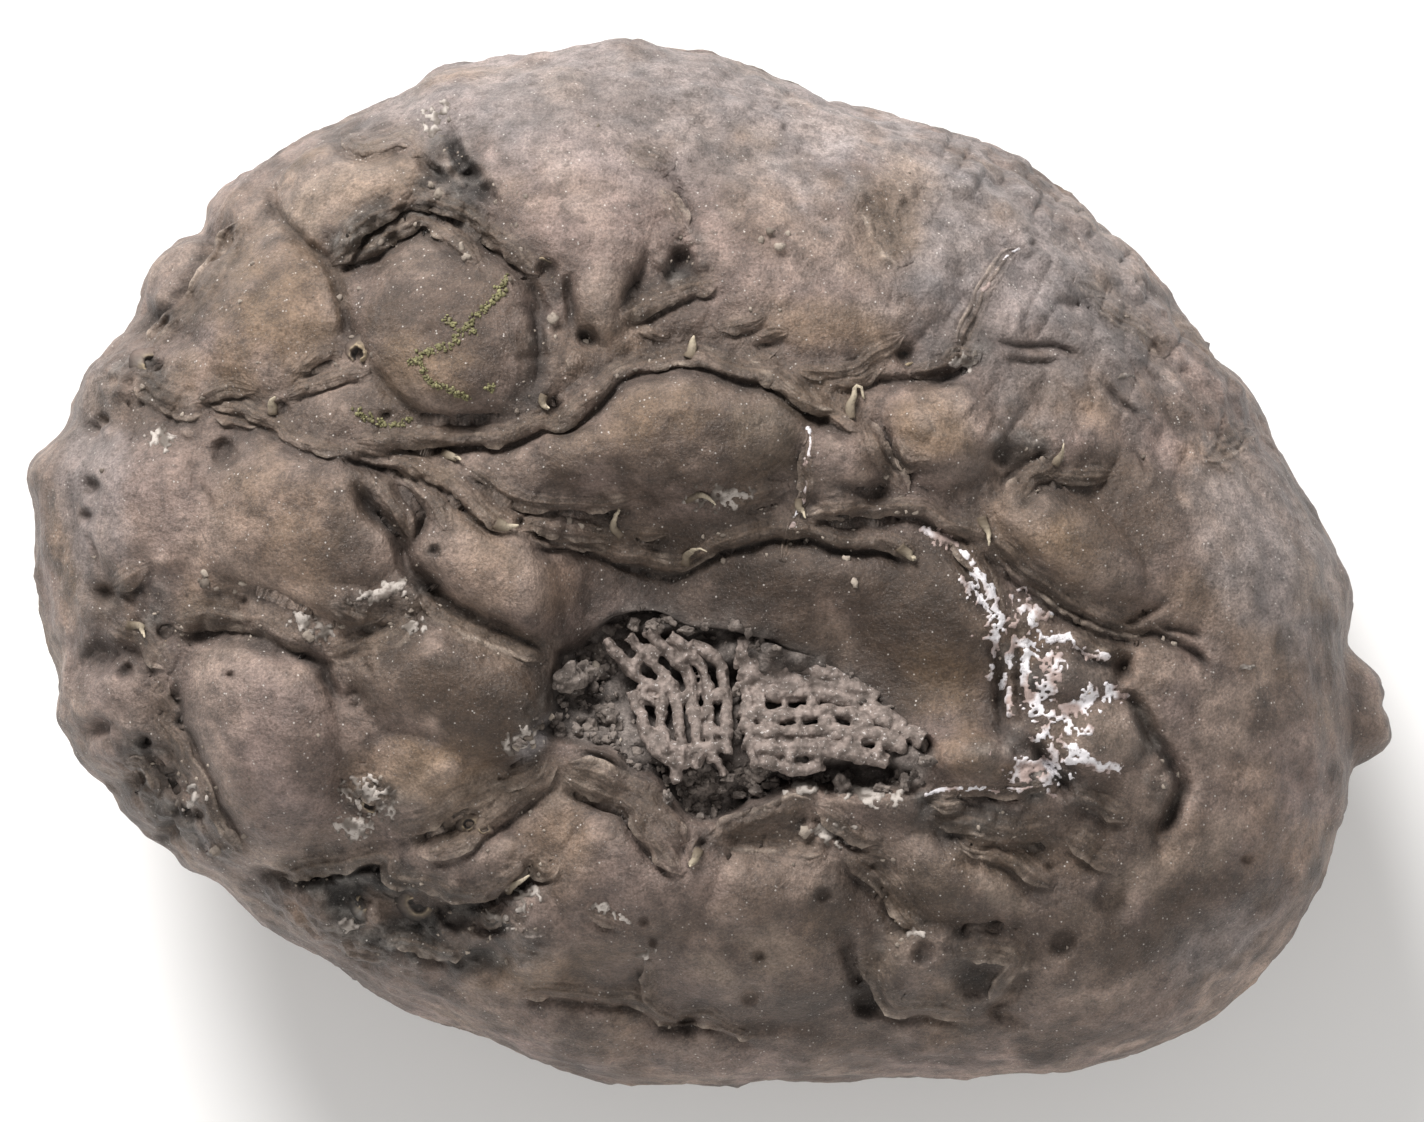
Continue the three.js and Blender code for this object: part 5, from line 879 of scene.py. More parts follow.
STONE_BASE = srgb(107, 92, 84)
# Tones for the listed ovals: umber and dark also serve as painted shade, tan as painted light, grey as a
# painted sheen, and bright as paler stone and painted highlight.
TONES = {
    "pink": srgb(128, 111, 105),
    "tan": srgb(130, 107, 84),
    "umber": srgb(66, 53, 43),
    "olive": srgb(84, 73, 59),
    "bright": srgb(158, 140, 125),
    "grey": srgb(146, 140, 140),
    "dark": srgb(52, 45, 41),
}
CLOUD_BROWN = srgb(66, 54, 45)
WORN_PALE = srgb(146, 128, 116)
VALLEY_SHADE = srgb(57, 49, 44)
MUD_DARK = srgb(41, 39, 37)
MUD_PALE = srgb(108, 105, 101)
WALL_SHADE_BROWN = srgb(44, 36, 31)
CREST_BROWN = srgb(90, 77, 64)
EDGE_HIGHLIGHT = srgb(156, 138, 126)
CREASE_SHADE_BLACK = srgb(36, 32, 29)
MATRIX_DARK = srgb(48, 42, 39)
MATRIX_PALE = srgb(112, 104, 99)
# Some of these ovals are painted light and shade, not the stone's own colour. The umber and dark ovals on
# the wall above the hollow, on the plate left of it and in the pits are painted shade. The tan ovals beside
# the hollow's lip are painted light, and the grey ovals near the rim are a painted sheen. The bright ovals
# are paler stone that, on ridge edges and rolls, is also painted highlight. The others are the stone's own
# warm, pink and dark patches.
PATCHES = [  # tone, middle, half-length, half-width, turn, strength
    ("bright", -7.8, -2.35, 2.6, 0.4, -24, 0.7), ("bright", -14.7, -9.8, 1.4, 0.4, -32, 0.6),
    ("bright", -9.7, -7.4, 1.3, 0.6, 35, 0.55), ("bright", -4.6, 12.6, 2.0, 0.7, -50, 0.35),
    ("umber", 10.0, -4.2, 1.6, 2.8, 0, 0.6), ("dark", 10.4, -6.4, 0.6, 1.2, 20, 0.5),
    ("bright", -8.2, -8.1, 1.9, 0.55, 32, 0.6), ("umber", 12.6, -8.2, 3.0, 2.0, 0, 0.3),
    ("tan", 6.4, -3.6, 1.6, 0.8, -40, 0.5), ("umber", 1.0, 0.1, 6.8, 1.7, -10, 0.75),
    ("umber", 6.9, -1.2, 2.9, 2.6, -45, 0.8), ("dark", 7.4, -0.6, 2.0, 1.0, -60, 0.4),
    ("umber", -1.0, 4.3, 5.6, 2.2, 6, 0.7), ("umber", -8.2, -4.4, 4.2, 2.2, -25, 0.9),
    ("umber", 12.6, 2.0, 3.0, 2.0, -20, 0.5), ("umber", 9.0, -11.5, 5.5, 3.5, 0, 0.35),
    ("umber", 1.5, -12.3, 3.5, 2.6, 0, 0.3), ("umber", -8.8, 8.0, 3.4, 3.7, 0, 0.65),
    ("umber", -14.0, 2.0, 3.0, 2.5, 0, 0.25), ("umber", -15.0, 8.4, 2.4, 2.6, 0, 0.3),
    ("umber", -13.8, 4.9, 3.5, 0.9, -8, 0.35), ("grey", -2, 15.5, 12, 3, 0, 0.4),
    ("grey", 10, 10, 6, 4, -35, 0.45), ("tan", -11, 12.8, 2.2, 1.2, 20, 0.5),
    ("tan", -14.5, 8.8, 2.2, 2.4, 0, 0.45), ("umber", -8.9, 8.2, 2.4, 2.2, 0, 0.35),
    ("tan", -9.6, 6.6, 1.6, 1.2, 0, 0.4), ("tan", 5.8, 11.6, 1.3, 2.2, -20, 0.5),
    ("pink", -4, 12.5, 3, 2.5, 0, 0.4), ("umber", 0.5, 13.5, 1.2, 1.5, 0, 0.3),
    ("olive", 2.0, 4.2, 1.2, 1.4, 0, 0.5), ("umber", -0.2, 4.6, 0.8, 0.6, 0, 0.4),
    ("tan", -2.6, 5.0, 2.2, 1.0, 10, 0.35), ("tan", 7.2, 4.7, 1.4, 1.0, -40, 0.55),
    ("umber", 13, 2.0, 2.4, 1.8, -20, 0.55), ("umber", 11, 6.5, 3.5, 1.6, -20, 0.4),
    ("tan", 11.6, 0.6, 2.0, 1.0, -38, 0.55), ("umber", 3.5, -0.3, 4.5, 1.0, -12, 0.45),
    ("umber", 7.0, -2.4, 2.2, 2.6, -40, 0.85), ("tan", 7.6, -3.8, 1.3, 0.9, -40, 0.4),
    ("tan", -14.5, 2.0, 2.5, 1.6, 0, 0.3), ("umber", -12, 0.8, 1.5, 1.5, 0, 0.35),
    ("pink", -19, 1.5, 2.2, 3.0, 0, 0.5), ("tan", -7.6, 0.3, 1.8, 2.2, 38, 0.35),
    ("pink", -15.3, -6, 3, 4.5, 0, 0.5), ("umber", -13.4, -6.2, 0.9, 1.6, 0, 0.5),
    ("umber", -16.6, -4.6, 1.0, 0.9, 0, 0.35), ("umber", -10.8, -4.6, 1.2, 0.8, 0, 0.45),
    ("tan", -9.3, -6.9, 1.9, 1.1, 0, 0.5), ("bright", -8.2, -8.2, 2.0, 0.8, 32, 0.7),
    ("pink", -20, -4.5, 1.2, 2.4, 0, 0.4), ("dark", -10.8, -11.3, 2.4, 1.0, -12, 0.6),
    ("tan", -5.3, -9.3, 1.6, 1.4, 0, 0.35), ("pink", -2.4, -10.4, 2.2, 1.8, 0, 0.35),
    ("umber", -1.0, -11.5, 1.6, 1.2, 0, 0.35), ("dark", 3.9, -11.3, 0.9, 1.2, 0, 0.5),
    ("umber", 2.2, -12.4, 2.4, 1.4, 0, 0.5), ("umber", 8.5, -12.2, 3.2, 1.8, 0, 0.5),
    ("dark", 8.7, -13.7, 0.9, 0.7, 0, 0.85), ("olive", 6.6, -11.0, 1.6, 1.6, 0, 0.4),
    ("umber", 4.2, -15.3, 3.0, 1.0, 0, 0.5), ("tan", -6.8, -13.6, 1.4, 0.9, 0, 0.4),
    ("dark", 5.1, -14.3, 0.8, 1.0, 0, 0.9), ("umber", 12.2, -3.6, 1.4, 0.8, 0, 0.7),
    ("olive", 13, -5.6, 1.6, 1.2, 0, 0.4), ("umber", 12.6, -8.8, 2.8, 1.4, 0, 0.5),
    ("tan", 8.6, -6.4, 1.4, 0.9, 0, 0.5), ("pink", 17.5, -8.5, 2.5, 2.0, 0, 0.35),
    ("grey", 18.5, 0.5, 2.2, 3.5, 20, 0.35), ("umber", 14, -12.5, 3.5, 2.0, 20, 0.35),
    ("grey", 16.5, -12.5, 2.0, 1.2, 40, 0.3), ("umber", -18.5, 5.2, 1.2, 0.9, 0, 0.35),
    ("tan", -16.5, 6.6, 1.6, 1.0, 0, 0.35), ("pink", 1.5, 9.6, 2.6, 1.6, 0, 0.35),
    ("tan", 3.6, 8.0, 2.2, 0.9, -10, 0.45), ("umber", -3.4, 15.4, 2.8, 0.9, 0, 0.3),
    ("tan", 9.5, -9.6, 1.6, 0.9, 0, 0.35), ("dark", -6.5, 5.6, 1.0, 0.7, 30, 0.35),
    ("umber", -8.3, -4.2, 2.8, 1.5, -25, 0.85), ("grey", -5.9, -5.6, 1.0, 0.4, 50, 0.8),
    ("bright", -4.6, -7.2, 1.9, 0.4, 36, 0.5), ("umber", 13.0, -0.2, 1.6, 0.7, -35, 0.6),
    ("umber", -6.4, -3.9, 0.9, 1.0, 0, 0.6), ("dark", -5.7, -3.6, 0.5, 1.0, 10, 0.6),
    ("dark", 11.8, -3.5, 1.5, 0.8, 0, 0.95), ("dark", 3.7, -10.9, 0.7, 0.5, 0, 0.6),
    ("dark", 8.2, -12.3, 1.4, 0.8, 0, 0.5), ("bright", 2.0, -12.9, 1.2, 0.8, 0, 0.3),
    ("grey", -20.6, 2.5, 1.2, 4.0, 0, 0.3), ("bright", -12.6, 12.6, 2.4, 1.3, 25, 0.35),
    ("bright", 5.7, -13.0, 1.2, 0.5, 30, 0.5), ("bright", 9.6, -10.9, 1.1, 0.5, -30, 0.45),
    ("bright", 14.3, -10.4, 2.0, 0.8, 40, 0.4), ("umber", 16.0, -11.2, 2.0, 1.2, 40, 0.75),
    ("bright", 16.9, -8.8, 1.6, 0.7, 50, 0.35), ("umber", 13.6, -12.8, 2.0, 0.9, 10, 0.5),
    ("umber", 1.2, -11.2, 1.0, 0.8, 0, 0.5), ("bright", 0.2, -13.6, 1.2, 0.6, -20, 0.4),
    ("dark", 3.4, -14.6, 1.6, 0.6, 10, 0.5), ("umber", -2.2, -12.4, 1.6, 0.7, 10, 0.5),
    ("umber", 6.4, -11.5, 2.2, 1.6, 0, 0.5), ("umber", -14.0, -8.9, 2.2, 0.8, -10, 0.35),
]


def stone_colours(points):
    """The stone's colour at points in millimetres, with painted light and shade, and a crease shade mask."""
    x, y = seen_places(points)
    is_top = smooth(8.0, 12.0, points[:, 2])
    colour = np.tile(STONE_BASE, (len(points), 1))
    for tone, size, seed, low, high, strength in (
            ("pink", 2.6, 51, 0.0, 0.7, 0.5), ("umber", 1.7, 52, 0.1, 0.8, 0.45),
            ("tan", 2.1, 53, 0.1, 0.8, 0.4)):
        share = smooth(low, high, grain(points, size, seed))[:, None]
        colour += (TONES[tone] - STONE_BASE) * share * strength
    # Dark clouds and blots and paler worn places, down to a third of a millimetre.
    clouded = smooth(0.0, 0.55, layered(points, (1, 1.9, 98), (0.5, 0.9, 99)))
    blend_in(colour, CLOUD_BROWN, 0.5 * clouded)
    bright = smooth(0.05, 0.6, layered(points, (1, 2.2, 88), (0.5, 0.8, 89)))
    blend_in(colour, WORN_PALE, 0.45 * bright)
    blots = smooth(0.25, 0.6, layered(points, (1, 0.8, 91), (0.5, 0.4, 92)))
    colour *= (1 - 0.38 * blots)[:, None]
    worn = smooth(0.1, 0.8, layered(points, (1, 1.3, 93), (0.4, 0.45, 94)))
    colour *= ((1 + 0.28 * worn) * (1 + 0.14 * grain(points, 0.26, 82)))[:, None]
    ragged = layered(points, (0.35, 1.1, 54), (0.22, 0.5, 55), (0.12, 0.25, 58))
    # The listed ovals: the stone's own patches, with painted shade, light, sheen and highlight among them.
    for tone, *spot, strength in PATCHES:
        oval = np.hypot(*turned_oval(x, y, *spot))
        blend_in(colour, TONES[tone], is_top * strength * smooth(1.35, 0.35, oval + ragged))
    # Painted shade in the wide valleys between the plates.
    low = read_plan(valley, x, y) * is_top * (1 - read_plan(hollow_floor, x, y))
    low = np.clip(low * (1 + 0.7 * grain(points, 1.0, 95)), 0, 1)
    blend_in(colour, VALLEY_SHADE, 0.55 * low)
    mud = read_plan(rubble, x, y) * is_top * smooth(-0.6, 0.3, grain(points, 0.9, 86))
    pale_mud = smooth(0.0, 0.9, layered(points, (1, 0.35, 85), (0.5, 0.8, 84)))
    blend_in(colour, between(MUD_DARK, MUD_PALE, pale_mud[:, None]), 0.9 * mud)
    # Painted shade on the wall that leans over the hollow's lip.
    wall = read_plan(lip_wall_shade, x, y) * is_top * (1 + 0.35 * grain(points, 1.2, 87))
    blend_in(colour, WALL_SHADE_BROWN, np.clip(0.7 * wall, 0, 0.8))
    # Painted shade in the relief's hollows, creases, pits and undercuts, and in the underside's creases.
    cavity_shade = smooth(0.02, 0.38, read_plan(cavity_map, x, y)) * is_top
    crease_shade = np.maximum(0.9 * read_plan(soft_crevice, x, y) * is_top, 0.8 * cavity_shade)
    under_line = np.exp(-((under_gap(points) / 0.35) ** 2)) * (1 - is_top)
    crease_shade = np.clip(np.maximum(crease_shade, 0.35 * under_line) * (0.8 + 0.5 * grain(points, 0.6, 56)), 0, 1)
    crest = np.clip(read_plan(crest_line, x, y) * is_top * (1.0 + 0.6 * grain(points, 0.7, 57)), 0, 1)
    crest *= 1 - read_plan(hollow_floor, x, y)
    blend_in(colour, CREST_BROWN, 0.35 * crest * (1 - crease_shade))
    # Painted highlight on the convex edges of the relief, not next to the hollow.
    edge = smooth(0.02, 0.22, -read_plan(cavity_map, x, y)) * is_top * (1 - crest)
    edge *= 1 - smooth(2.2, 0.6, read_plan(from_rim, x, y))
    blend_in(colour, EDGE_HIGHLIGHT, 0.4 * edge * (1 + 0.6 * grain(points, 0.9, 83)))
    # The painted crease shade goes on here.
    blend_in(colour, CREASE_SHADE_BLACK, 0.8 * crease_shade)
    matrix = read_plan(hollow_floor, x, y) * is_top
    grey = smooth(-0.5, 0.6, layered(points, (1, 0.6, 96), (0.5, 0.25, 97)))
    blend_in(colour, between(MATRIX_DARK, MATRIX_PALE, grey[:, None]), 0.9 * matrix)
    # The crease shade mask also carries the hollow's matrix, and the material makes both rougher.
    return colour, np.maximum(crease_shade, 0.8 * matrix)


# Masks for painted light and shade: painted shade on the wall above the hollow's lip, in the
# hollows of the relief and in the creases, and painted highlight on the relief's edges.
lip_wall_shade = np.exp(-((from_rim / 1.1) ** 2)) * above * (into_hollow > -FAR)
lip_wall_shade = np.maximum(lip_wall_shade, 0.55 * np.exp(-((from_rim / 3.0) ** 2)) * above * smooth(-3.5, -1.0, X))
cavity_map = spread(upper_map, 0.35) - upper_map
soft_crevice = spread(crevice, 0.08)


def paint(mesh, colour, crease_shade):
    """Keep each point's colour and crease shade mask in the mesh, for the materials to read."""
    tone_layer = mesh.color_attributes.new("stone_tone", "FLOAT_COLOR", "POINT")
    tone_layer.data.foreach_set("color", np.column_stack([colour, np.ones(len(colour))]).ravel())
    crease_shade_layer = mesh.attributes.new("crease_shade", "FLOAT", "POINT")
    crease_shade_layer.data.foreach_set("value", crease_shade)


paint(stone_mesh, *stone_colours(stone_points))


def new_material(name, roughness):
    """A new material, its nodes and links, and its shader."""
    material = bpy.data.materials.new(name)
    material.use_nodes = True
    nodes = material.node_tree.nodes
    shader = nodes["Principled BSDF"]
    shader.inputs["Roughness"].default_value = roughness
    return material, nodes, material.node_tree.links, shader


def painted(layer):
    """What paint kept in the mesh under that name, for the material in use now."""
    mark = nodes.new("ShaderNodeAttribute")
    mark.attribute_name = layer
    return mark


stone_look, nodes, links, shader = new_material("fossil_stone", 0.5)
shader.inputs["Specular IOR Level"].default_value = 0.38


def fine_noise(per_metre, detail, roughness):
    """Noise in the material in use now, with that many swells in a metre."""
    noise = nodes.new("ShaderNodeTexNoise")
    noise.inputs["Scale"].default_value = per_metre
    noise.inputs["Detail"].default_value = detail
    noise.inputs["Roughness"].default_value = roughness
    links.new(nodes.new("ShaderNodeTexCoord").outputs["Object"], noise.inputs["Vector"])
    return noise.outputs["Fac"]


def ramp_between(value, low, high, from_value=0.0, to_value=1.0):
    """A value's soft ramp from one level to another."""
    span = nodes.new("ShaderNodeMapRange")
    span.interpolation_type = "SMOOTHSTEP"
    span.inputs["From Min"].default_value = low
    span.inputs["From Max"].default_value = high
    span.inputs["To Min"].default_value = from_value
    span.inputs["To Max"].default_value = to_value
    links.new(value, span.inputs["Value"])
    return span.outputs["Result"]


def mixed(colour_a, colour_b, share, mode="MIX"):
    """Two colours mixed; each input is a plain value or another node's output."""
    mix = nodes.new("ShaderNodeMix")
    mix.data_type = "RGBA"
    mix.blend_type = mode
    for socket, source in ((mix.inputs[6], colour_a), (mix.inputs[7], colour_b), (mix.inputs[0], share)):
        if isinstance(source, (float, tuple)):
            socket.default_value = source
        else:
            links.new(source, socket)
    return mix.outputs[2]


def opaque(colour):
    """A colour as a node's socket takes it."""
    return (float(colour[0]), float(colour[1]), float(colour[2]), 1.0)


def shaded(colour, light):
    """A colour made darker or lighter, all three parts of it alike."""
    grey = nodes.new("ShaderNodeCombineColor")
    for channel in ("Red", "Green", "Blue"):
        links.new(light, grey.inputs[channel])
    return mixed(colour, grey.outputs["Color"], 1.0, "MULTIPLY")


def add_bump(strength, depth, height):
    """Fine relief in the material in use now, depth metres deep."""
    bump = nodes.new("ShaderNodeBump")
    bump.inputs["Strength"].default_value = strength
    bump.inputs["Distance"].default_value = depth
    links.new(height, bump.inputs["Height"])
    links.new(bump.outputs["Normal"], shader.inputs["Normal"])


clouds = ramp_between(fine_noise(1400, 6, 0.62), 0.3, 0.7, 0.68, 1.26)
base = shaded(painted("stone_tone").outputs["Color"], clouds)
stains = ramp_between(fine_noise(3000, 4, 0.6), 0.53, 0.68, 0.0, 0.4)
base = mixed(base, opaque(srgb(58, 48, 42)), stains)
# Pale dust: specks a tenth of a millimetre across, thicker in some places.
dust_cells = nodes.new("ShaderNodeTexVoronoi")
dust_cells.inputs["Scale"].default_value = 4600
dust_cells.inputs["Randomness"].default_value = 1.0
links.new(nodes.new("ShaderNodeTexCoord").outputs["Object"], dust_cells.inputs["Vector"])
speck = ramp_between(dust_cells.outputs["Distance"], 0.08, 0.2, 1.0, 0.0)
chosen = ramp_between(fine_noise(2600, 3, 0.6), 0.5, 0.6, 0.0, 0.8)
dust = nodes.new("ShaderNodeMath")
dust.operation = "MULTIPLY"
links.new(speck, dust.inputs[0])
links.new(chosen, dust.inputs[1])
base = mixed(base, opaque(srgb(190, 184, 178)), dust.outputs["Value"])
# The grain of the skin itself, a thirtieth of a millimetre, and a sparse pale bloom over it.
base = shaded(base, ramp_between(fine_noise(11000, 4, 0.7), 0.36, 0.64, 0.76, 1.26))
bloom = ramp_between(fine_noise(16000, 3, 0.7), 0.6, 0.7, 0.0, 0.35)
base = mixed(base, opaque(srgb(172, 164, 158)), bloom)
links.new(base, shader.inputs["Base Color"])
# Rougher where the painted crease shade and the hollow's matrix lie.
rougher = ramp_between(painted("crease_shade").outputs["Fac"], 0.0, 0.8, 0.5, 0.78)
links.new(rougher, shader.inputs["Roughness"])
add_bump(0.7, 0.0003, fine_noise(2400, 8, 0.66))
stone_mesh.materials.append(stone_look)
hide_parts("crinoid_fossil")
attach(stone, "root")

# The sieve in the hollow: the cup's own inner skeleton, a plate of fine ribs with slots between
# them, which grew fused to the stone. It is pale grey-brown lime, worn round and a little broken.
sight = BVHTree.FromPolygons(
    [Vector(v) for v in stone_points], [tuple(f.vertices) for f in stone_mesh.polygons])
WELL_ABOVE = 40


def true_place(x, y, level):
    """The plan place whose point at a level the camera sees at x, y of the photo."""
    x, y = strayed(x, y, -1)
    nearer = CAMERA_DISTANCE / (CAMERA_DISTANCE - (level - RIM_HEIGHT))
    return (VIEW_MIDDLE[0] + (x - VIEW_MIDDLE[0]) / nearer,
            VIEW_MIDDLE[1] + (y - VIEW_MIDDLE[1]) / nearer)


def on_stone(x, y):
    """Points and outward directions of the stone's skin where the camera sees x, y."""
    x = np.atleast_1d(np.asarray(x, dtype=float))
    y = np.atleast_1d(np.asarray(y, dtype=float))
    px, py = true_place(x, y, whole_height(x, y))
    points = np.empty((len(px), 3))
    normals = np.tile([0.0, 0.0, 1.0], (len(px), 1))
    for i in range(len(px)):
        hit, normal = sight.ray_cast(Vector((px[i], py[i], WELL_ABOVE)), Vector((0, 0, -1)))[:2]
        points[i] = hit if hit else (px[i], py[i], whole_height(px[i:i + 1], py[i:i + 1])[0])
        if normal:
            normals[i] = normal if normal.z > 0 else -normal
    return points, normals


def sweep(line, across, upward, section):
    """Points and faces of a closed bar: per point of the line, a section of (across, up) pairs."""
    rings = (line[:, None, :] + across[:, None, :] * section[:, :, :1]
             + upward[:, None, :] * section[:, :, 1:])
    n, k = section.shape[:2]
    points = np.vstack([rings.reshape(-1, 3), line[:1] + upward[:1] * section[0, :, 1].mean(),
                        line[-1:] + upward[-1:] * section[-1, :, 1].mean()])
    i = np.repeat(np.arange(n - 1), k) * k
    j = np.tile(np.arange(k), n - 1)
    a = i + j
    b = i + (j + 1) % k
    faces = np.vstack([np.column_stack([a, b, b + k]), np.column_stack([a, b + k, a + k])])
    j = np.arange(k)
    first = np.column_stack([np.full(k, n * k), (j + 1) % k, j])
    last = np.column_stack([np.full(k, n * k + 1), (n - 1) * k + j, (n - 1) * k + (j + 1) % k])
    return points, np.vstack([faces, first, last])


def joined(parts):
    """Several meshes' points and faces as one."""
    points = []
    faces = []
    count = 0
    for part_points, part_faces in parts:
        points.append(part_points)
        faces.append(part_faces + count)
        count += len(part_points)
    return np.vstack(points), np.vstack(faces)


def across_line(line):
    """The level direction across a line at each of its points."""
    along = np.gradient(line, axis=0)
    across = np.column_stack([-along[:, 1], along[:, 0], np.zeros(len(line))])
    return across / np.maximum(np.linalg.norm(across, axis=1), 1e-9)[:, None]


SIEVE_SINK = 0.55
SIEVE_THICKNESS = 0.34
SIEVE_CELL = 0.042
SIEVE_RIBS = [  # half-width, route
    # The slanting ribs of the left half, which turn down into upright ones.
    (0.205, [(-2.75, -4.1), (-2.5, -4.8), (-2.3, -5.5), (-1.9, -6.1), (-1.5, -6.45)]),
    (0.205, [(-3.6, -2.4), (-3.1, -2.95), (-2.65, -3.4), (-2.3, -3.8), (-2.4, -4.1)]),
    (0.225, [(-2.3, -3.8), (-1.85, -4.2), (-1.8, -4.9), (-1.75, -5.6), (-1.6, -6.2)]),
    (0.205, [(-2.9, -2.3), (-2.3, -2.85), (-1.8, -3.4), (-1.4, -3.9), (-1.25, -4.5), (-1.15, -5.3),
        (-1.05, -6), (-0.8, -6.6)]),
    (0.225, [(-2.2, -2.1), (-1.65, -2.7), (-1.1, -3.25), (-0.75, -3.9), (-0.7, -4.6), (-0.65, -5.4),
        (-0.6, -6.2)]),
    (0.205, [(-1.4, -2.3), (-0.8, -2.9), (-0.35, -3.5), (-0.2, -4.2), (-0.2, -5), (-0.15, -5.8),
        (0.0, -6.5)]),
    (0.195, [(-0.7, -2.5), (-0.15, -2.95), (0.3, -3.4), (0.35, -4.2), (0.35, -5.3), (0.4, -6.2)]),
    (0.205, [(-2.5, -4.3), (-2.0, -4.5)]), (0.24, [(-2.25, -5.5), (-1.8, -5.8)]),
    (0.3, [(-1.95, -3.85), (-1.4, -4.1)]),
    (0.225, [(-1.9, -5.95), (-1.1, -6.15), (-0.4, -6.1), (0.3, -6.0)]),
    (0.225, [(-1.25, -4.4), (-0.7, -4.2)]), (0.16, [(-0.7, -5.05), (-0.2, -5.0)]),
    (0.205, [(-0.2, -4.3), (0.35, -4.4)]), (0.16, [(-0.15, -5.5), (0.4, -5.7)]),
    (0.205, [(-2.6, -3.3), (-2.2, -2.9), (-1.7, -3.0)]), (0.16, [(-1.1, -3.2), (-0.8, -2.9)]),
    (0.205, [(-1.5, -6.3), (-1.35, -6.8), (-1.25, -7.2)]), (0.15, [(0.1, -6.4), (0.3, -6.9)]),
    (0.16, [(-0.5, -6.2), (-0.55, -6.7)]), (0.15, [(-1.05, -5.9), (-0.95, -6.7)]),
    # The long ribs of the right half: a solid upper band, then ribs with broken slots between.
    (0.5, [(0.75, -2.9), (1.6, -3.05), (2.6, -3.25), (3.8, -3.55), (4.8, -3.95)]),
    (0.46, [(0.95, -3.5), (1.7, -3.85), (2.6, -4.0), (3.6, -4.05), (4.6, -4.2), (5.4, -4.5)]),
    (0.27, [(1.2, -4.2), (2, -4.3), (3, -4.22), (3.9, -4.28), (4.8, -4.5), (5.6, -4.85), (6.4, -5.25)]),
    (0.27, [(0.75, -4.8), (1.3, -4.95), (2.4, -4.92), (3.4, -4.85), (4.4, -4.88), (5.4, -5.05),
        (6.2, -5.35), (6.9, -5.75)]),
    (0.27, [(0.75, -5.25), (1.5, -5.5), (2.5, -5.47), (3.5, -5.45), (4.5, -5.5), (5.5, -5.65),
        (6.4, -5.95)]),
    (0.27, [(0.9, -5.85), (1.5, -6.02), (2.5, -6.02), (3.5, -6.0), (4.5, -6.08), (5.2, -6.3),
        (5.8, -6.5)]),
    (0.25, [(1.25, -6.4), (1.7, -6.58), (2.3, -6.7), (2.9, -6.62), (3.5, -6.4)]),
    (0.2, [(0.95, -3.9), (1.15, -4.6), (1.1, -5.2), (1.2, -5.9), (1.35, -6.4)]),
    (0.35, [(1.3, -4.6), (1.75, -4.6)]), (0.12, [(2.35, -4.3), (2.45, -4.9)]),
    (0.2, [(3.35, -4.3), (3.3, -4.85)]), (0.33, [(5.0, -4.75), (5.7, -5.0), (6.3, -5.4)]),
    (0.3, [(1.75, -5.0), (1.85, -5.45)]), (0.12, [(2.85, -4.95), (2.8, -5.45)]),
    (0.28, [(3.75, -4.95), (3.75, -5.4)]), (0.3, [(4.7, -5.15), (5.3, -5.3)]),
    (0.22, [(5.9, -5.4), (6.2, -5.6)]), (0.2, [(2.1, -5.5), (2.1, -6.0)]),
    (0.3, [(3.5, -5.6), (3.5, -5.95)]), (0.3, [(4.4, -5.75), (5.0, -5.85)]),
    (0.16, [(5.55, -5.7), (5.5, -6.3)]), (0.22, [(2.55, -6.1), (2.5, -6.6)]),
    (0.2, [(3.45, -6.05), (3.4, -6.45)]),
]
BAR_SIDES = 10
ring_angles = np.arange(BAR_SIDES) * 2 * np.pi / BAR_SIDES
bars = []
for number, (half_width, route) in enumerate(SIEVE_RIBS):
    line = smooth_line(route, 0.07)
    px, py = true_place(line[:, 0], line[:, 1], whole_height(line[:, 0], line[:, 1]))
    bend = np.column_stack([px, py, np.full(len(px), float(number))])
    px = px + 0.06 * grain(bend, 0.7, 61)
    py = py + 0.06 * grain(bend, 0.7, 62)
    sunk = SIEVE_SINK + 0.9 * read_plan(basin, line[:, 0], line[:, 1])
    level = whole_height(px, py) - sunk + 0.08 * grain(bend, 0.8, 63)
    spine = np.column_stack([px, py, level])
    plump = 1 + 0.22 * grain(bend, 0.35, 64)
    section = np.empty((len(spine), BAR_SIDES, 2))
    section[:, :, 0] = np.outer(half_width * plump, np.cos(ring_angles))
    section[:, :, 1] = np.outer(SIEVE_THICKNESS * plump, np.sin(ring_angles))
    bars.append(sweep(spine, across_line(spine), np.tile([0.0, 0.0, 1.0], (len(spine), 1)), section))
sieve = place_piece("sieve_ribs", make_mesh("sieve_ribs", *joined(bars)))
fuse = sieve.modifiers.new("fuse", "REMESH")
fuse.mode = "VOXEL"
fuse.voxel_size = SIEVE_CELL * MM
rounded = sieve.modifiers.new("rounded", "SMOOTH")
rounded.factor = 0.5
rounded.iterations = 3
sieve_mesh = settle(sieve, "sieve_ribs")
sieve_points = mesh_points(sieve_mesh)
worn = layered(sieve_points, (0.07, 0.35, 65), (0.04, 0.15, 66))
sieve_normals = np.empty(len(sieve_points) * 3)
sieve_mesh.vertices.foreach_get("normal", sieve_normals)
sieve_points += sieve_normals.reshape(-1, 3) * worn[:, None]
sieve_mesh.vertices.foreach_set("co", (sieve_points * MM).ravel())
sieve_mesh.update()

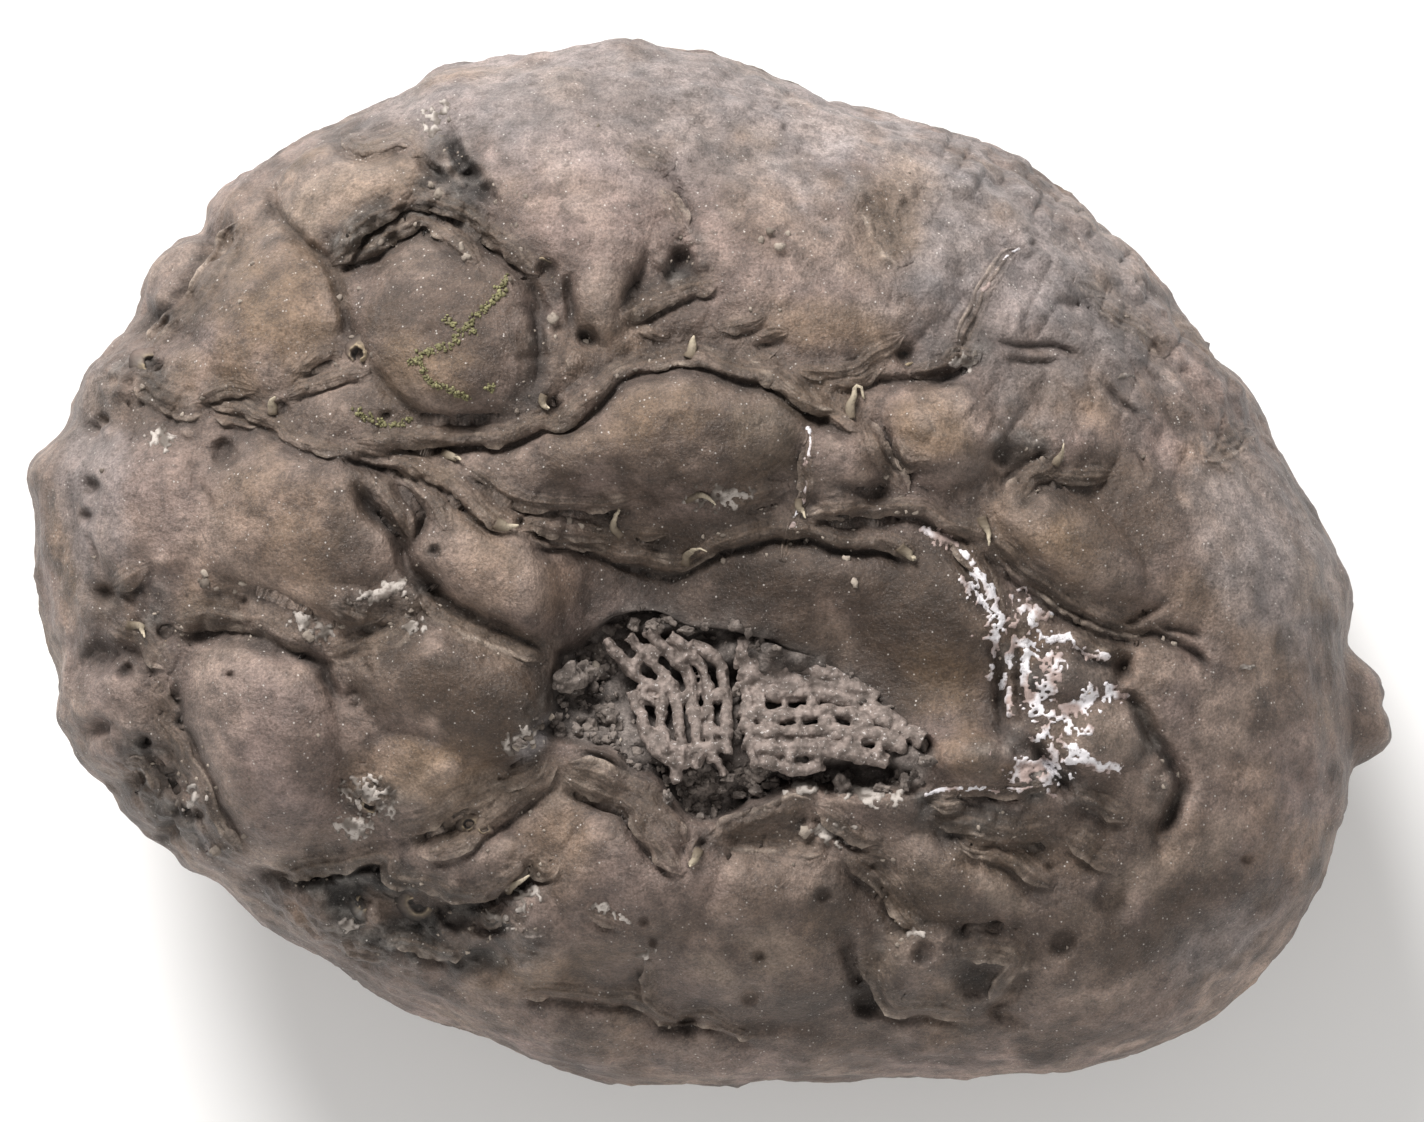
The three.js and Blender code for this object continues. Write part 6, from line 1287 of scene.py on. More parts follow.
sieve_look, nodes, links, shader = new_material("sieve_lime", 0.72)
light_and_dark = ramp_between(fine_noise(2600, 5, 0.65), 0.38, 0.66)
base = mixed(opaque(srgb(86, 76, 70)), opaque(srgb(134, 121, 114)), light_and_dark)
base = mixed(base, opaque(srgb(200, 194, 190)), ramp_between(fine_noise(9000, 3, 0.6), 0.6, 0.7, 0.0, 0.7))
links.new(base, shader.inputs["Base Color"])
add_bump(0.7, 0.00008, fine_noise(8000, 5, 0.65))
sieve_mesh.materials.append(sieve_look)
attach(sieve, "root")

# Crumbs of grey matrix in the hollow: the mud that once filled the cup, hardened and broken into
# grains, which stick along the hollow's left side and foot and to its walls.


def round_ball(level):
    """A ball's points and three-sided faces, from a twenty-sided one."""
    g = (1 + 5 ** 0.5) / 2
    points = [(-1, g, 0), (1, g, 0), (-1, -g, 0), (1, -g, 0), (0, -1, g), (0, 1, g), (0, -1, -g),
              (0, 1, -g), (g, 0, -1), (g, 0, 1), (-g, 0, -1), (-g, 0, 1)]
    points = [np.array(p) / np.linalg.norm(p) for p in points]
    faces = [(0, 11, 5), (0, 5, 1), (0, 1, 7), (0, 7, 10), (0, 10, 11), (1, 5, 9), (5, 11, 4),
             (11, 10, 2), (10, 7, 6), (7, 1, 8), (3, 9, 4), (3, 4, 2), (3, 2, 6), (3, 6, 8),
             (3, 8, 9), (4, 9, 5), (2, 4, 11), (6, 2, 10), (8, 6, 7), (9, 8, 1)]
    for step in range(level):
        halfway = {}
        finer = []
        for f in faces:
            middles = []
            for a, b in zip(f, f[1:] + f[:1]):
                key = (min(a, b), max(a, b))
                if key not in halfway:
                    halfway[key] = len(points)
                    middle = points[a] + points[b]
                    points.append(middle / np.linalg.norm(middle))
                middles.append(halfway[key])
            finer += [(f[0], middles[0], middles[2]), (f[1], middles[1], middles[0]),
                      (f[2], middles[2], middles[1]), tuple(middles)]
        faces = finer
    return np.array(points), np.array(faces)


def crumbs(middles, sizes, seed, level=1, flat=0.75):
    """Lumpy grains: one for each middle, turned and lumped at random."""
    rng = np.random.default_rng(seed)
    ball_points, ball_faces = round_ball(level)
    parts = []
    for number, (middle, size) in enumerate(zip(middles, sizes)):
        stretch = rng.uniform(0.6, 1.3, 3) * [1, 1, flat]
        turned = np.linalg.qr(rng.normal(size=(3, 3)))[0]
        turned *= np.sign(np.linalg.det(turned))
        lumps = 1 + 0.5 * grain(ball_points * 1.6 + number * 3.7, 1.0, seed + 1)
        lumps += 0.2 * grain(ball_points * 3.5 + number * 3.7, 1.0, seed + 2)
        points = (ball_points * lumps[:, None]) @ turned.T
        parts.append((middle + size * points * stretch, ball_faces))
    return joined(parts)


CRUMB_TRIES = 9000
CRUMB_SHARE = 0.4
rng = np.random.default_rng(71)
tries_x = rng.uniform(-6.2, 7.8, CRUMB_TRIES)
tries_y = rng.uniform(-8.8, -0.9, CRUMB_TRIES)
depth_in = read_plan(into_hollow, tries_x, tries_y)
near_wall = np.exp(-(((depth_in - 0.5) / 0.3) ** 2))
at_left = smooth(-2.6, -3.6, tries_x) * 0.5
at_foot = smooth(-6.4, -6.9, tries_y) * smooth(-3, -1.5, tries_x) * smooth(4.5, 2.5, tries_x) * 0.8
at_head = smooth(-2.9, -2.4, tries_y) * 0.3
chance = np.maximum.reduce([0.25 * near_wall * smooth(-3.0, -4.5, tries_y), at_left, at_foot, at_head])
kept = (depth_in > 0.3) & (rng.uniform(0, 1, CRUMB_TRIES) < chance * CRUMB_SHARE)
crumb_x = tries_x[kept]
crumb_y = tries_y[kept]
sizes = 0.06 + 0.16 * rng.uniform(0, 1, len(crumb_x)) ** 2.5
middles, normals = on_stone(crumb_x, crumb_y)
middles = middles + normals * (0.2 * sizes)[:, None]
BUDS = [  # pale round buds and knobs seen in the hollow: place, size, height above the floor
    (-0.7, -6.9, 0.2, 0.5), (0.5, -7.0, 0.2, 0.5), (0.8, -7.6, 0.18, 0.4), (1.4, -7.5, 0.18, 0.4),
    (-1.6, -7.7, 0.2, 0.2), (0.3, -7.4, 0.16, 0.5), (-0.2, -7.2, 0.14, 0.5), (4.3, -7.3, 0.28, 0.4),
    (-4.9, -3.8, 0.4, 0.25), (-4.35, -3.55, 0.32, 0.25), (-4.6, -4.2, 0.25, 0.2), (-6.4, -5.8, 0.25, 0.1),
    (-3.5, -4.9, 0.22, 0.2), (-4.1, -5.3, 0.2, 0.2), (6.9, -5.9, 0.25, 0.3), (7.1, -6.5, 0.22, 0.3),
    (6.4, -7.2, 0.22, 0.3), (5.6, -7.4, 0.2, 0.3), (-2.0, -2.0, 0.3, 0.2), (-1.4, -1.7, 0.22, 0.2),
    (-2.7, -1.9, 0.22, 0.2), (-0.9, -2.1, 0.22, 0.2), (0.7, -4.2, 0.18, 0.6), (0.7, -5.6, 0.17, 0.5),
]
bud_x, bud_y, bud_sizes, bud_rises = zip(*BUDS)
bud_points = on_stone(bud_x, bud_y)[0]
bud_points[:, 2] += bud_rises
matrix_crumbs = place_piece("matrix_crumbs", make_mesh("matrix_crumbs", *joined([
    crumbs(middles, sizes, 72, level=2),
    crumbs(bud_points, bud_sizes, 73, level=3, flat=1.0),
])))
matrix_look, nodes, links, shader = new_material("grey_matrix", 0.85)
base = mixed(opaque(srgb(66, 58, 53)), opaque(srgb(122, 112, 105)),
             ramp_between(fine_noise(1500, 5, 0.65), 0.4, 0.64))
base = mixed(base, opaque(srgb(170, 165, 160)), ramp_between(fine_noise(7000, 3, 0.6), 0.6, 0.72, 0.0, 0.5))
links.new(base, shader.inputs["Base Color"])
add_bump(0.8, 0.0001, fine_noise(7000, 5, 0.65))
matrix_crumbs.data.materials.append(matrix_look)
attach(matrix_crumbs, "root")

# The skin of the crests: the same stone, drawn finer than its own mesh can be. Each crest is a
# soft roll with a thin torn bead along the edge over its undercut, and fine lines along its back.
# The bead is pale lime with a painted highlight on it, and the undercut has painted shadow.
SKIN_PLACES = np.array([-2.6, -2.1, -1.7, -1.4, -1.15, -0.95, -0.75, -0.55, -0.35, -0.15, 0.05, 0.25,
                        0.42, 0.58, 0.74, 0.9, 1.06, 1.25, 1.5, 1.9, 2.5])
SKIN_BACK = [4, 8, 12, 16, 18]  # the columns of a strip's back, which is sunk in the stone
SKIN_SINK = 0.22
SKIN_BROWN = srgb(78, 65, 55)
SKIN_PALE_AND_HIGHLIGHT = srgb(172, 157, 143)
UNDERCUT_SHADOW = srgb(30, 26, 24)


def closed_strip(rows):
    """The triangles of a closed strip whose points are its front, row by row, and then its back."""
    wide = len(SKIN_PLACES)
    front = np.arange(rows * wide).reshape(rows, wide)
    sunk = rows * wide + np.arange(rows * len(SKIN_BACK)).reshape(rows, -1)
    back = np.column_stack([front[:, 0], sunk, front[:, -1]])
    quads = np.vstack([
        np.stack([ids[:-1, :-1], ids[:-1, 1:], ids[1:, 1:], ids[1:, :-1]], axis=-1).reshape(-1, 4)[:, ::way]
        for ids, way in ((front, 1), (back, -1))])
    places = [0, *SKIN_BACK, wide - 1]
    ends = []
    for row, way in ((0, 1), (rows - 1, -1)):
        for m, (low, high) in enumerate(zip(places[:-1], places[1:])):
            fan = [(back[row, m], front[row, j + 1], front[row, j]) for j in range(low, high) if j]
            if m < len(SKIN_BACK):
                fan.append((back[row, m], back[row, m + 1], front[row, high]))
            ends += [corners[::way] for corners in fan]
    return np.vstack([quads[:, [0, 1, 2]], quads[:, [0, 2, 3]], ends])


strips = []
strip_colours = []
strip_crease_shade = []
for group in (LONG_CRESTS, UPPER_CRESTS, LEFT_CRESTS, LOWER_CRESTS):
    for _, width, under, route in group:
        line = smooth_line(route, 0.08)
        way = np.gradient(line, axis=0)
        way /= np.maximum(np.linalg.norm(way, axis=1), 1e-9)[:, None]
        right = np.column_stack([way[:, 1], -way[:, 0]]) * (np.sign(under) if under else 1.0)
        length = np.concatenate([[0], np.cumsum(np.linalg.norm(np.diff(line, axis=0), axis=1))])
        taper = smooth(-0.1, 0.7, np.minimum(length, length[-1] - length))
        reach = crest_breadth(width) * (0.25 + 0.75 * taper)
        flat_x = line[:, :1] + right[:, :1] * reach[:, None] * SKIN_PLACES
        flat_y = line[:, 1:] + right[:, 1:] * reach[:, None] * SKIN_PLACES
        u = np.tile(SKIN_PLACES, len(line))
        points, normals = on_stone(flat_x.ravel(), flat_y.ravel())
        fade = np.repeat(taper, len(SKIN_PLACES))
        torn = np.clip(0.45 + 1.3 * grain(points, 0.7, 101) + 0.5 * grain(points, 0.25, 102), 0, 1.5) * fade
        bead = torn * np.exp(-(((u - 0.95) / 0.15) ** 2))
        lines = np.cos(7.5 * u + 2.2 * grain(points, 1.1, 103)) * np.exp(-((u / 1.9) ** 2))
        under_it = np.exp(-(((u - 1.4) / 0.22) ** 2)) * min(1.0, 2.5 * abs(under)) * fade
        raised = (0.085 * bead + 0.03 * lines * fade - 0.07 * under_it
                  + 0.02 * grain(points, 0.24, 104) + 0.012 * grain(points, 0.11, 105))
        hem = smooth(2.5, 1.7, np.abs(u))
        raised = (0.012 + raised) * hem - 0.05 * (1 - hem)
        colour, crease_shade = stone_colours(points)
        back = np.exp(-((u / 1.1) ** 2)) * fade
        blend_in(colour, SKIN_BROWN, 0.45 * back)
        colour *= (1 + 0.22 * lines * fade)[:, None]
        # The pale bead is worn pale lime with a painted highlight on it.
        pale = bead * 0.45 + 0.25 * back * smooth(0.3, 0.9, grain(points, 0.5, 106))
        pale = np.clip(pale * (1 + 0.8 * grain(points, 0.3, 107)), 0, 0.8)
        blend_in(colour, SKIN_PALE_AND_HIGHLIGHT, pale)
        # Painted shadow in the undercut beside the bead.
        blend_in(colour, UNDERCUT_SHADOW, 0.7 * under_it)
        in_back = (np.arange(len(line))[:, None] * len(SKIN_PLACES) + SKIN_BACK).ravel()
        sunk = (points - SKIN_SINK * normals)[in_back]
        points += normals * raised[:, None]
        points[:, :2] += np.repeat(right, len(SKIN_PLACES), axis=0) * (0.06 * bead)[:, None]
        faces = closed_strip(len(line))
        strips.append((np.vstack([points, sunk]), faces[:, ::-1] if under < 0 else faces))
        strip_colours.append(np.vstack([colour, colour[in_back]]))
        strip_crease_shade.append(np.concatenate([crease_shade * (1 - pale), crease_shade[in_back]]))
crest_skin = place_piece("crest_skin", make_mesh("crest_skin", *joined(strips)))
paint(crest_skin.data, np.vstack(strip_colours), np.concatenate(strip_crease_shade))
crest_skin.data.materials.append(stone_look)
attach(crest_skin, "root")

# White lime crust: chalky mineral that grew as a broken film and as veins over the right end of the
# hollow's wall, with a few flakes elsewhere. It is a thin skin of its own, a tenth of a millimetre.


def distance_to(x, y, route):
    """How far places are from a route."""
    d = np.full(x.shape, 99.0)
    line = smooth_line(route, 0.3)
    for a, b in zip(line[:-1], line[1:]):
        along = b - a
        t = np.clip(((x - a[0]) * along[0] + (y - a[1]) * along[1]) / (along @ along), 0, 1)
        d = np.minimum(d, np.hypot(x - a[0] - t * along[0], y - a[1] - t * along[1]))
    return d


FILM_SINK = 0.1


def film(low, high, routes, spots, thickness, seed, ragged=1.0, cell=0.045):
    """A thin broken film near routes and spots: its points and faces, and how full it is there."""
    gx, gy = np.meshgrid(np.arange(low[0], high[0], cell), np.arange(low[1], high[1], cell))
    full = np.full(gx.shape, -9.0)
    for half_width, route in routes:
        full = np.maximum(full, 1 - distance_to(gx, gy, route) / half_width)
    for spot in spots:
        full = np.maximum(full, 1 - np.hypot(*turned_oval(gx, gy, *spot)))
    flat = np.column_stack([gx.ravel(), gy.ravel(), np.full(gx.size, 1.0 * seed)])
    rough = layered(flat, (0.5, 0.45, seed), (0.9, 0.19, seed + 1), (1.1, 0.1, seed + 2))
    full = full + ragged * (rough.reshape(gx.shape) - 0.15)
    low_corner = np.maximum.reduce([full[:-1, :-1], full[1:, :-1], full[:-1, 1:], full[1:, 1:]])
    j, i = np.nonzero(low_corner > 0)
    columns = gx.shape[1]
    quad = np.column_stack([j * columns + i, j * columns + i + 1, (j + 1) * columns + i + 1,
                            (j + 1) * columns + i])
    used, back = np.unique(quad, return_inverse=True)
    points, normals = on_stone(gx.ravel()[used], gy.ravel()[used])
    rise = np.clip(full.ravel()[used] * 3, -1, 1)
    lift = thickness * np.where(rise > 0, 0.4 + 0.6 * rise, 0.4 + 1.4 * rise)
    lift += 0.3 * thickness * grain(points, 0.18, seed + 3)
    # The underside is sunk in the stone, and sides join it to the top all along its border.
    top = back.reshape(quad.shape)
    count = len(points)
    sides = np.stack([top, np.roll(top, -1, axis=1)], axis=2).reshape(-1, 2)
    border = ~np.isin(sides[:, 0] * count + sides[:, 1], sides[:, 1] * count + sides[:, 0])
    a, b = sides[border].T
    faces = np.vstack([top, top[:, ::-1] + count, np.column_stack([b, a, a + count, b + count])])
    closed = np.vstack([points + normals * lift[:, None], points - FILM_SINK * normals])
    return closed, faces, np.tile(rise, 2)


WHITE_ROUTES = [  # half-width, route
    (0.17, [(7.2, 1.1), (7.8, 0.8), (8.4, 0.4), (8.8, -0.2), (9.3, -1.0)]),
    (0.15, [(8.3, -0.4), (8.7, -0.8), (9.2, -1.3), (9.6, -1.6)]),
    (0.1, [(9.4, -2.3), (9.3, -3.0), (9.2, -3.8)]), (0.12, [(10.0, -2.3), (9.8, -3.2), (9.7, -4.0)]),
    (0.1, [(9.85, -4.1), (9.85, -4.9)]), (0.17, [(10.4, -2.8), (10.4, -3.7), (10.6, -4.4), (10.8, -4.8)]),
    (0.22, [(10.7, -4.7), (11.3, -4.95), (11.8, -4.9)]),
    (0.3, [(11.7, -4.9), (12.4, -4.5), (13.0, -4.2)]), (0.12, [(13.0, -4.2), (13.7, -4.4)]),
    (0.1, [(11.9, -4.8), (11.75, -5.5)]),
    (0.13, [(11.0, -2.5), (11.8, -2.35), (12.4, -2.9), (13.1, -3.0)]),
    (0.13, [(10.6, -5.6), (11.2, -5.7), (11.9, -6.0), (12.7, -6.5), (13.5, -6.8)]),
    (0.1, [(11.0, -5.2), (11.2, -5.9), (11.5, -6.7)]), (0.1, [(11.3, -6.6), (12.0, -6.4), (12.8, -6.5)]),
    (0.07, [(7.1, -7.6), (7.9, -7.4), (8.8, -7.35), (9.8, -7.45), (10.6, -7.35), (11.2, -7.3)]),
]
MIDDLE_VEIN = (0.07, [(3.15, 4.6), (3.2, 4.2), (3.15, 3.7), (3.1, 3.2), (3.1, 2.6), (2.9, 2.2), (2.7, 1.9),
                      (2.65, 1.4)])
TOP_VEIN = (0.05, [(10.2, 10.6), (9.7, 10.2), (9.3, 9.6), (9.0, 9.1)])
WHITE_SPOTS = [  # middle, half-length, half-width, turn
    (9.55, -1.95, 0.55, 0.4, 0), (10.7, -1.65, 0.65, 0.3, -55), (11.2, -3.6, 0.45, 0.7, 0),
    (10.6, -6.9, 0.8, 0.4, -20), (12.4, -5.4, 0.4, 0.14, 0), (10.3, -2.5, 0.4, 0.25, 0),
]
FLAKE_SPOTS = [  # loose flakes: middle, half-length, half-width, turn
    (-11.6, -7.6, 0.7, 0.35, -25), (-11.3, -8.1, 0.35, 0.2, 30), (-12.0, -8.6, 0.6, 0.35, 0),
    (-13.8, -1.7, 0.4, 0.3, 30), (-13.1, -2.1, 0.3, 0.25, 0), (-10.1, -2.0, 0.35, 0.3, 0),
    (-17.4, -7.7, 0.5, 0.3, 40), (-11.1, -0.8, 0.8, 0.3, 20), (-12.2, -11.9, 0.35, 0.22, 0),
    (8.3, 6.85, 0.35, 0.2, 0), (3.8, -8.9, 0.65, 0.3, -5), (-9.2, 14.9, 0.3, 0.6, -25),
    (-18.4, 4.3, 0.4, 0.3, 0), (-6.2, -11.0, 0.5, 0.25, 60), (-7.2, -11.7, 0.4, 0.2, -30),
    (-3.5, -11.4, 0.5, 0.18, -30), (-2.3, -12.9, 0.2, 0.15, 0), (-6.4, -5.7, 0.6, 0.3, 40),
    (13.7, 6.4, 0.2, 0.15, 0), (17.8, -3.35, 0.2, 0.08, 0), (6.6, -12.2, 0.3, 0.15, 0),
    (0.3, 2.3, 0.9, 0.35, 0), (5.3, -7.6, 0.8, 0.25, -10), (3.0, -7.3, 0.6, 0.3, 20),
]
parts = []
colours = []
for low, high, routes, spots, thickness, seed in (
        ((6.3, -8.2), (14.2, 1.8), WHITE_ROUTES, WHITE_SPOTS, 0.04, 111),
        ((2.0, 0.8), (3.8, 5.2), [MIDDLE_VEIN], [], 0.035, 121),
        ((8.6, 8.6), (10.8, 11.2), [TOP_VEIN], [], 0.03, 131)):
    points, faces, rise = film(low, high, routes, spots, thickness, seed)
    parts.append((points, faces))
    chalk = smooth(-0.2, 0.7, grain(points, 0.5, 141) + 0.4 * rise)[:, None]
    colours.append(between(srgb(150, 132, 126), srgb(212, 209, 212), chalk))
for number, spot in enumerate(FLAKE_SPOTS):
    reach = 1.7 * max(spot[2], spot[3])
    points, faces, rise = film(
        (spot[0] - reach, spot[1] - reach), (spot[0] + reach, spot[1] + reach), [], [spot],
        0.06, 200 + 5 * number, ragged=0.9)
    parts.append((points, faces))
    chalk = smooth(0.0, 0.8, grain(points, 0.3, 142) + 0.5 * rise)[:, None]
    colours.append(between(srgb(94, 86, 79), srgb(164, 156, 149), chalk))
white_crust = place_piece("lime_crust", make_mesh("lime_crust", *joined(parts)))
paint(white_crust.data, np.vstack(colours), np.zeros(len(white_crust.data.vertices)))
chalk_look, nodes, links, shader = new_material("chalky_crust", 0.75)
specks = ramp_between(fine_noise(6000, 4, 0.65), 0.52, 0.66, 0.0, 0.55)
base = mixed(painted("stone_tone").outputs["Color"], opaque(srgb(84, 72, 66)), specks)
links.new(base, shader.inputs["Base Color"])
add_bump(0.6, 0.00008, fine_noise(9000, 4, 0.65))
white_crust.data.materials.append(chalk_look)
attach(white_crust, "root")

# The torn tubes: small broken cups and hooked edges of the old skin that grew on the crests. They
# are thin lime, pale and ochre at the rim, with painted shade inside, and their feet sunk in the stone.
TUBES = [  # middle, radius, height, the way it is broken open in degrees
    (-5.45, 9.85, 0.36, 0.45, 90), (-1.1, 10.2, 0.6, 0.5, 60), (6.3, 7.0, 0.4, 0.3, 20),
    (-11.9, 7.0, 0.3, 0.4, 100), (-18.7, 6.75, 0.34, 0.35, 90), (-8.2, -8.5, 0.22, 0.22, 0),
    (-7.7, -8.7, 0.17, 0.2, 200), (-4.3, 7.55, 0.26, 0.25, 120), (-5.3, 5.45, 0.28, 0.3, 30),
    (-18.3, -2.3, 0.26, 0.25, -45), (-11.5, -7.9, 0.28, 0.3, 250), (-9.9, -11.2, 0.36, 0.25, 30),
    (-11.6, -11.2, 0.3, 0.25, 120),
]
BEAKS = [  # half-width, height, route, which ends in its highest point
    (0.14, 0.45, [(-0.95, 7.0), (-0.8, 7.2), (-0.65, 7.45)]),
    (0.12, 0.4, [(-5.6, 5.8), (-5.75, 5.5), (-5.6, 5.1)]),
    (0.13, 0.5, [(4.6, 4.95), (4.55, 5.3), (4.65, 5.7), (4.8, 5.95)]),
    (0.13, 0.4, [(-9.1, 3.8), (-8.7, 3.55), (-8.3, 3.3)]),
    (0.14, 0.4, [(-7.3, 1.5), (-7.0, 1.3), (-6.7, 1.15)]),
    (0.12, 0.45, [(-3.1, 1.0), (-3.35, 1.3), (-3.3, 1.6), (-3.0, 1.85)]),
    (0.1, 0.4, [(-0.95, 0.0), (-0.9, 0.35), (-0.6, 0.55), (-0.2, 0.6)]),
    (0.14, 0.4, [(6.1, 0.75), (6.5, 0.4), (6.75, 0.1)]),
    (0.12, 0.4, [(8.95, 1.7), (9.05, 1.3), (9.2, 0.9)]),
    (0.1, 0.35, [(2.75, 2.3), (2.8, 1.95), (3.2, 1.7)]),
    (0.11, 0.35, [(11.3, 3.4), (11.5, 3.8), (11.55, 4.1)]),
    (0.12, 0.35, [(-14.7, 5.1), (-14.7, 5.5), (-14.5, 5.7)]),
    (0.13, 0.4, [(-0.5, -9.3), (-0.7, -9.7), (-0.85, -10.05)]),
    (0.12, 0.35, [(-6.9, -10.9), (-6.6, -10.5), (-6.35, -10.1)]),
    (0.12, 0.35, [(-19.6, -1.9), (-19.1, -2.0), (-18.8, -2.4)]),
    (0.1, 0.35, [(-1.0, 2.2), (-0.4, 2.45), (0.1, 2.2)]),
]
TUBE_WALL = [  # shares of the radius and of the height, from the sunk foot over the rim to the floor
    (0.0, -0.6), (2.0, -0.25), (1.4, 0.15), (1.1, 0.7), (0.96, 1.0), (0.84, 0.9), (0.74, 0.4), (0.6, 0.0),
    (0.0, -0.1),
]
TUBE_TURNS = 30
parts = []
colours = []
turns = np.arange(TUBE_TURNS) * 2 * np.pi / TUBE_TURNS
for number, (x, y, radius, tall, broken) in enumerate(TUBES):
    (middle,), (normal,) = on_stone(x, y)
    lean = normal * 0.5 + np.array([0, 0, 0.5])
    first = np.cross(lean, [0, 1, 0])
    first /= np.linalg.norm(first)
    second = np.cross(lean / np.linalg.norm(lean), first)
    ring = np.column_stack([np.cos(turns), np.sin(turns), np.full(TUBE_TURNS, 2.3 * number)])
    rim = 0.55 + 0.75 * grain(ring, 0.7, 151) + 0.3 * grain(ring, 0.25, 152)
    rim *= 1 - 0.75 * np.exp(-((np.angle(np.exp(1j * (turns - math.radians(broken)))) / 0.6) ** 2))
    wide = radius * (1 + 0.35 * grain(ring, 0.9, 153))
    points = np.vstack([
        middle + (wide * share)[:, None] * (np.cos(turns)[:, None] * first + np.sin(turns)[:, None] * second)
        + (tall * height * (rim if height > 0 else 1.0) * np.ones(TUBE_TURNS))[:, None] * lean
        for share, height in TUBE_WALL])
    points += 0.02 * grain(points, 0.15, 154)[:, None]
    first_of_ring = np.arange(len(TUBE_WALL) - 1)[:, None] * TUBE_TURNS
    a = (first_of_ring + np.arange(TUBE_TURNS)).ravel()
    b = (first_of_ring + (np.arange(TUBE_TURNS) + 1) % TUBE_TURNS).ravel()
    parts.append((points, np.column_stack([a, b, b + TUBE_TURNS, a + TUBE_TURNS])))
    up = np.outer([0.0, 0.0, 0.1, 0.5, 1.0, 0.5, 0.0, 0.0, 0.0], rim).ravel().clip(0, 1)[:, None]
    # Painted shade inside the cup, from the rim's inner side down to its floor.
    inner = np.repeat([0.0, 0.0, 0.0, 0.0, 0.0, 0.4, 0.9, 1.0, 1.0], TUBE_TURNS)[:, None]
    tint = between(stone_colours(points)[0], srgb(156, 140, 114), up)
    colours.append(between(tint, srgb(34, 29, 26), inner))
BEAK_SIDES = 8
beak_angles = np.arange(BEAK_SIDES) * 2 * np.pi / BEAK_SIDES
BEAK_SECTION = np.column_stack([np.cos(beak_angles), np.sin(beak_angles)])
beaks = []
beak_colours = []
for half_width, tall, route in BEAKS:
    line = smooth_line(route, 0.07)
    points, normals = on_stone(line[:, 0], line[:, 1])
    t = np.linspace(0, 1, len(line))
    points += normals * (tall * t**1.5 - 0.02)[:, None]
    size = half_width * (1.5 - 1.3 * t**1.3) * (1 + 0.2 * grain(points, 0.3, 161))
    section = size[:, None, None] * BEAK_SECTION[None] * [1.0, 0.8]
    beaks.append(sweep(points, across_line(points), np.tile([0.0, 0.0, 1.0], (len(points), 1)), section))
    share = np.concatenate([np.repeat(t, BEAK_SIDES), [0.0, 1.0]])[:, None]
    beak_colours.append(between(srgb(82, 70, 56), srgb(188, 176, 154), share**1.5))
tube_points, tube_quads = joined(parts)
tube_faces = np.vstack([tube_quads[:, [0, 1, 2]], tube_quads[:, [0, 2, 3]]])
beak_points, beak_faces = joined(beaks)
torn_tubes = place_piece("torn_tubes", make_mesh("torn_tubes", *joined([
    (tube_points, tube_faces), (beak_points, beak_faces)])))
paint(torn_tubes.data, np.vstack(colours + beak_colours), np.zeros(len(torn_tubes.data.vertices)))
# The rings that shrink to a point become one point.
welded = bmesh.new()
welded.from_mesh(torn_tubes.data)
bmesh.ops.remove_doubles(welded, verts=welded.verts, dist=1e-8)
welded.to_mesh(torn_tubes.data)
welded.free()
torn_tubes.data.materials.append(chalk_look)
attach(torn_tubes, "root")

# The yellow-green crumbs of dried algae on the round plate, and the grains of pale grit that stick
# in the valleys and along the crests.
ALGAE = [
    [(-7.0, 9.2), (-7.5, 8.8), (-7.9, 8.4), (-8.3, 8.0), (-8.8, 7.4), (-9.3, 7.3), (-9.8, 7.0),
        (-10.1, 6.8)],
    [(-6.9, 9.7), (-7.2, 9.2)], [(-9.0, 8.3), (-8.6, 8.0)],
    [(-9.6, 6.4), (-9.3, 6.1), (-8.8, 5.9), (-8.2, 5.7)],
    [(-11.9, 5.2), (-11.5, 4.95), (-11.0, 4.7), (-10.5, 4.7), (-10.2, 4.9)], [(-8.2, 7.9), (-7.9, 7.8)],
    [(-9.7, 6.9), (-9.6, 6.5)], [(-7.5, 6.1), (-7.4, 5.9)],
]


def scattered(name, places, sizes, sunk, flat, seed, dark, pale):
    """Small grains that lie on the stone at plan places, each with a tint of its own."""
    points, normals = on_stone(places[:, 0], places[:, 1])
    grains = crumbs(points + normals * (sunk * sizes)[:, None], sizes, seed, level=1, flat=flat)
    piece = place_piece(name, make_mesh(name, *grains))
    tints = between(dark, pale, rng.uniform(0, 1, (len(places), 1)))
    per_grain = len(round_ball(1)[0])
    paint(piece.data, np.repeat(tints, per_grain, axis=0), np.zeros(len(places) * per_grain))
    piece.data.materials.append(chalk_look)
    return piece


rng = np.random.default_rng(171)
places = np.vstack([smooth_line(route, 0.05) for route in ALGAE])
places = np.repeat(places, 3, axis=0) + rng.normal(0, 0.07, (3 * len(places), 2))
places = places[rng.uniform(0, 1, len(places)) < 0.75]
sizes = rng.uniform(0.03, 0.07, len(places))
algae = scattered("algae_crumbs", places, sizes, 0.4, 1.0, 172, srgb(80, 76, 46), srgb(134, 130, 92))
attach(algae, "root")

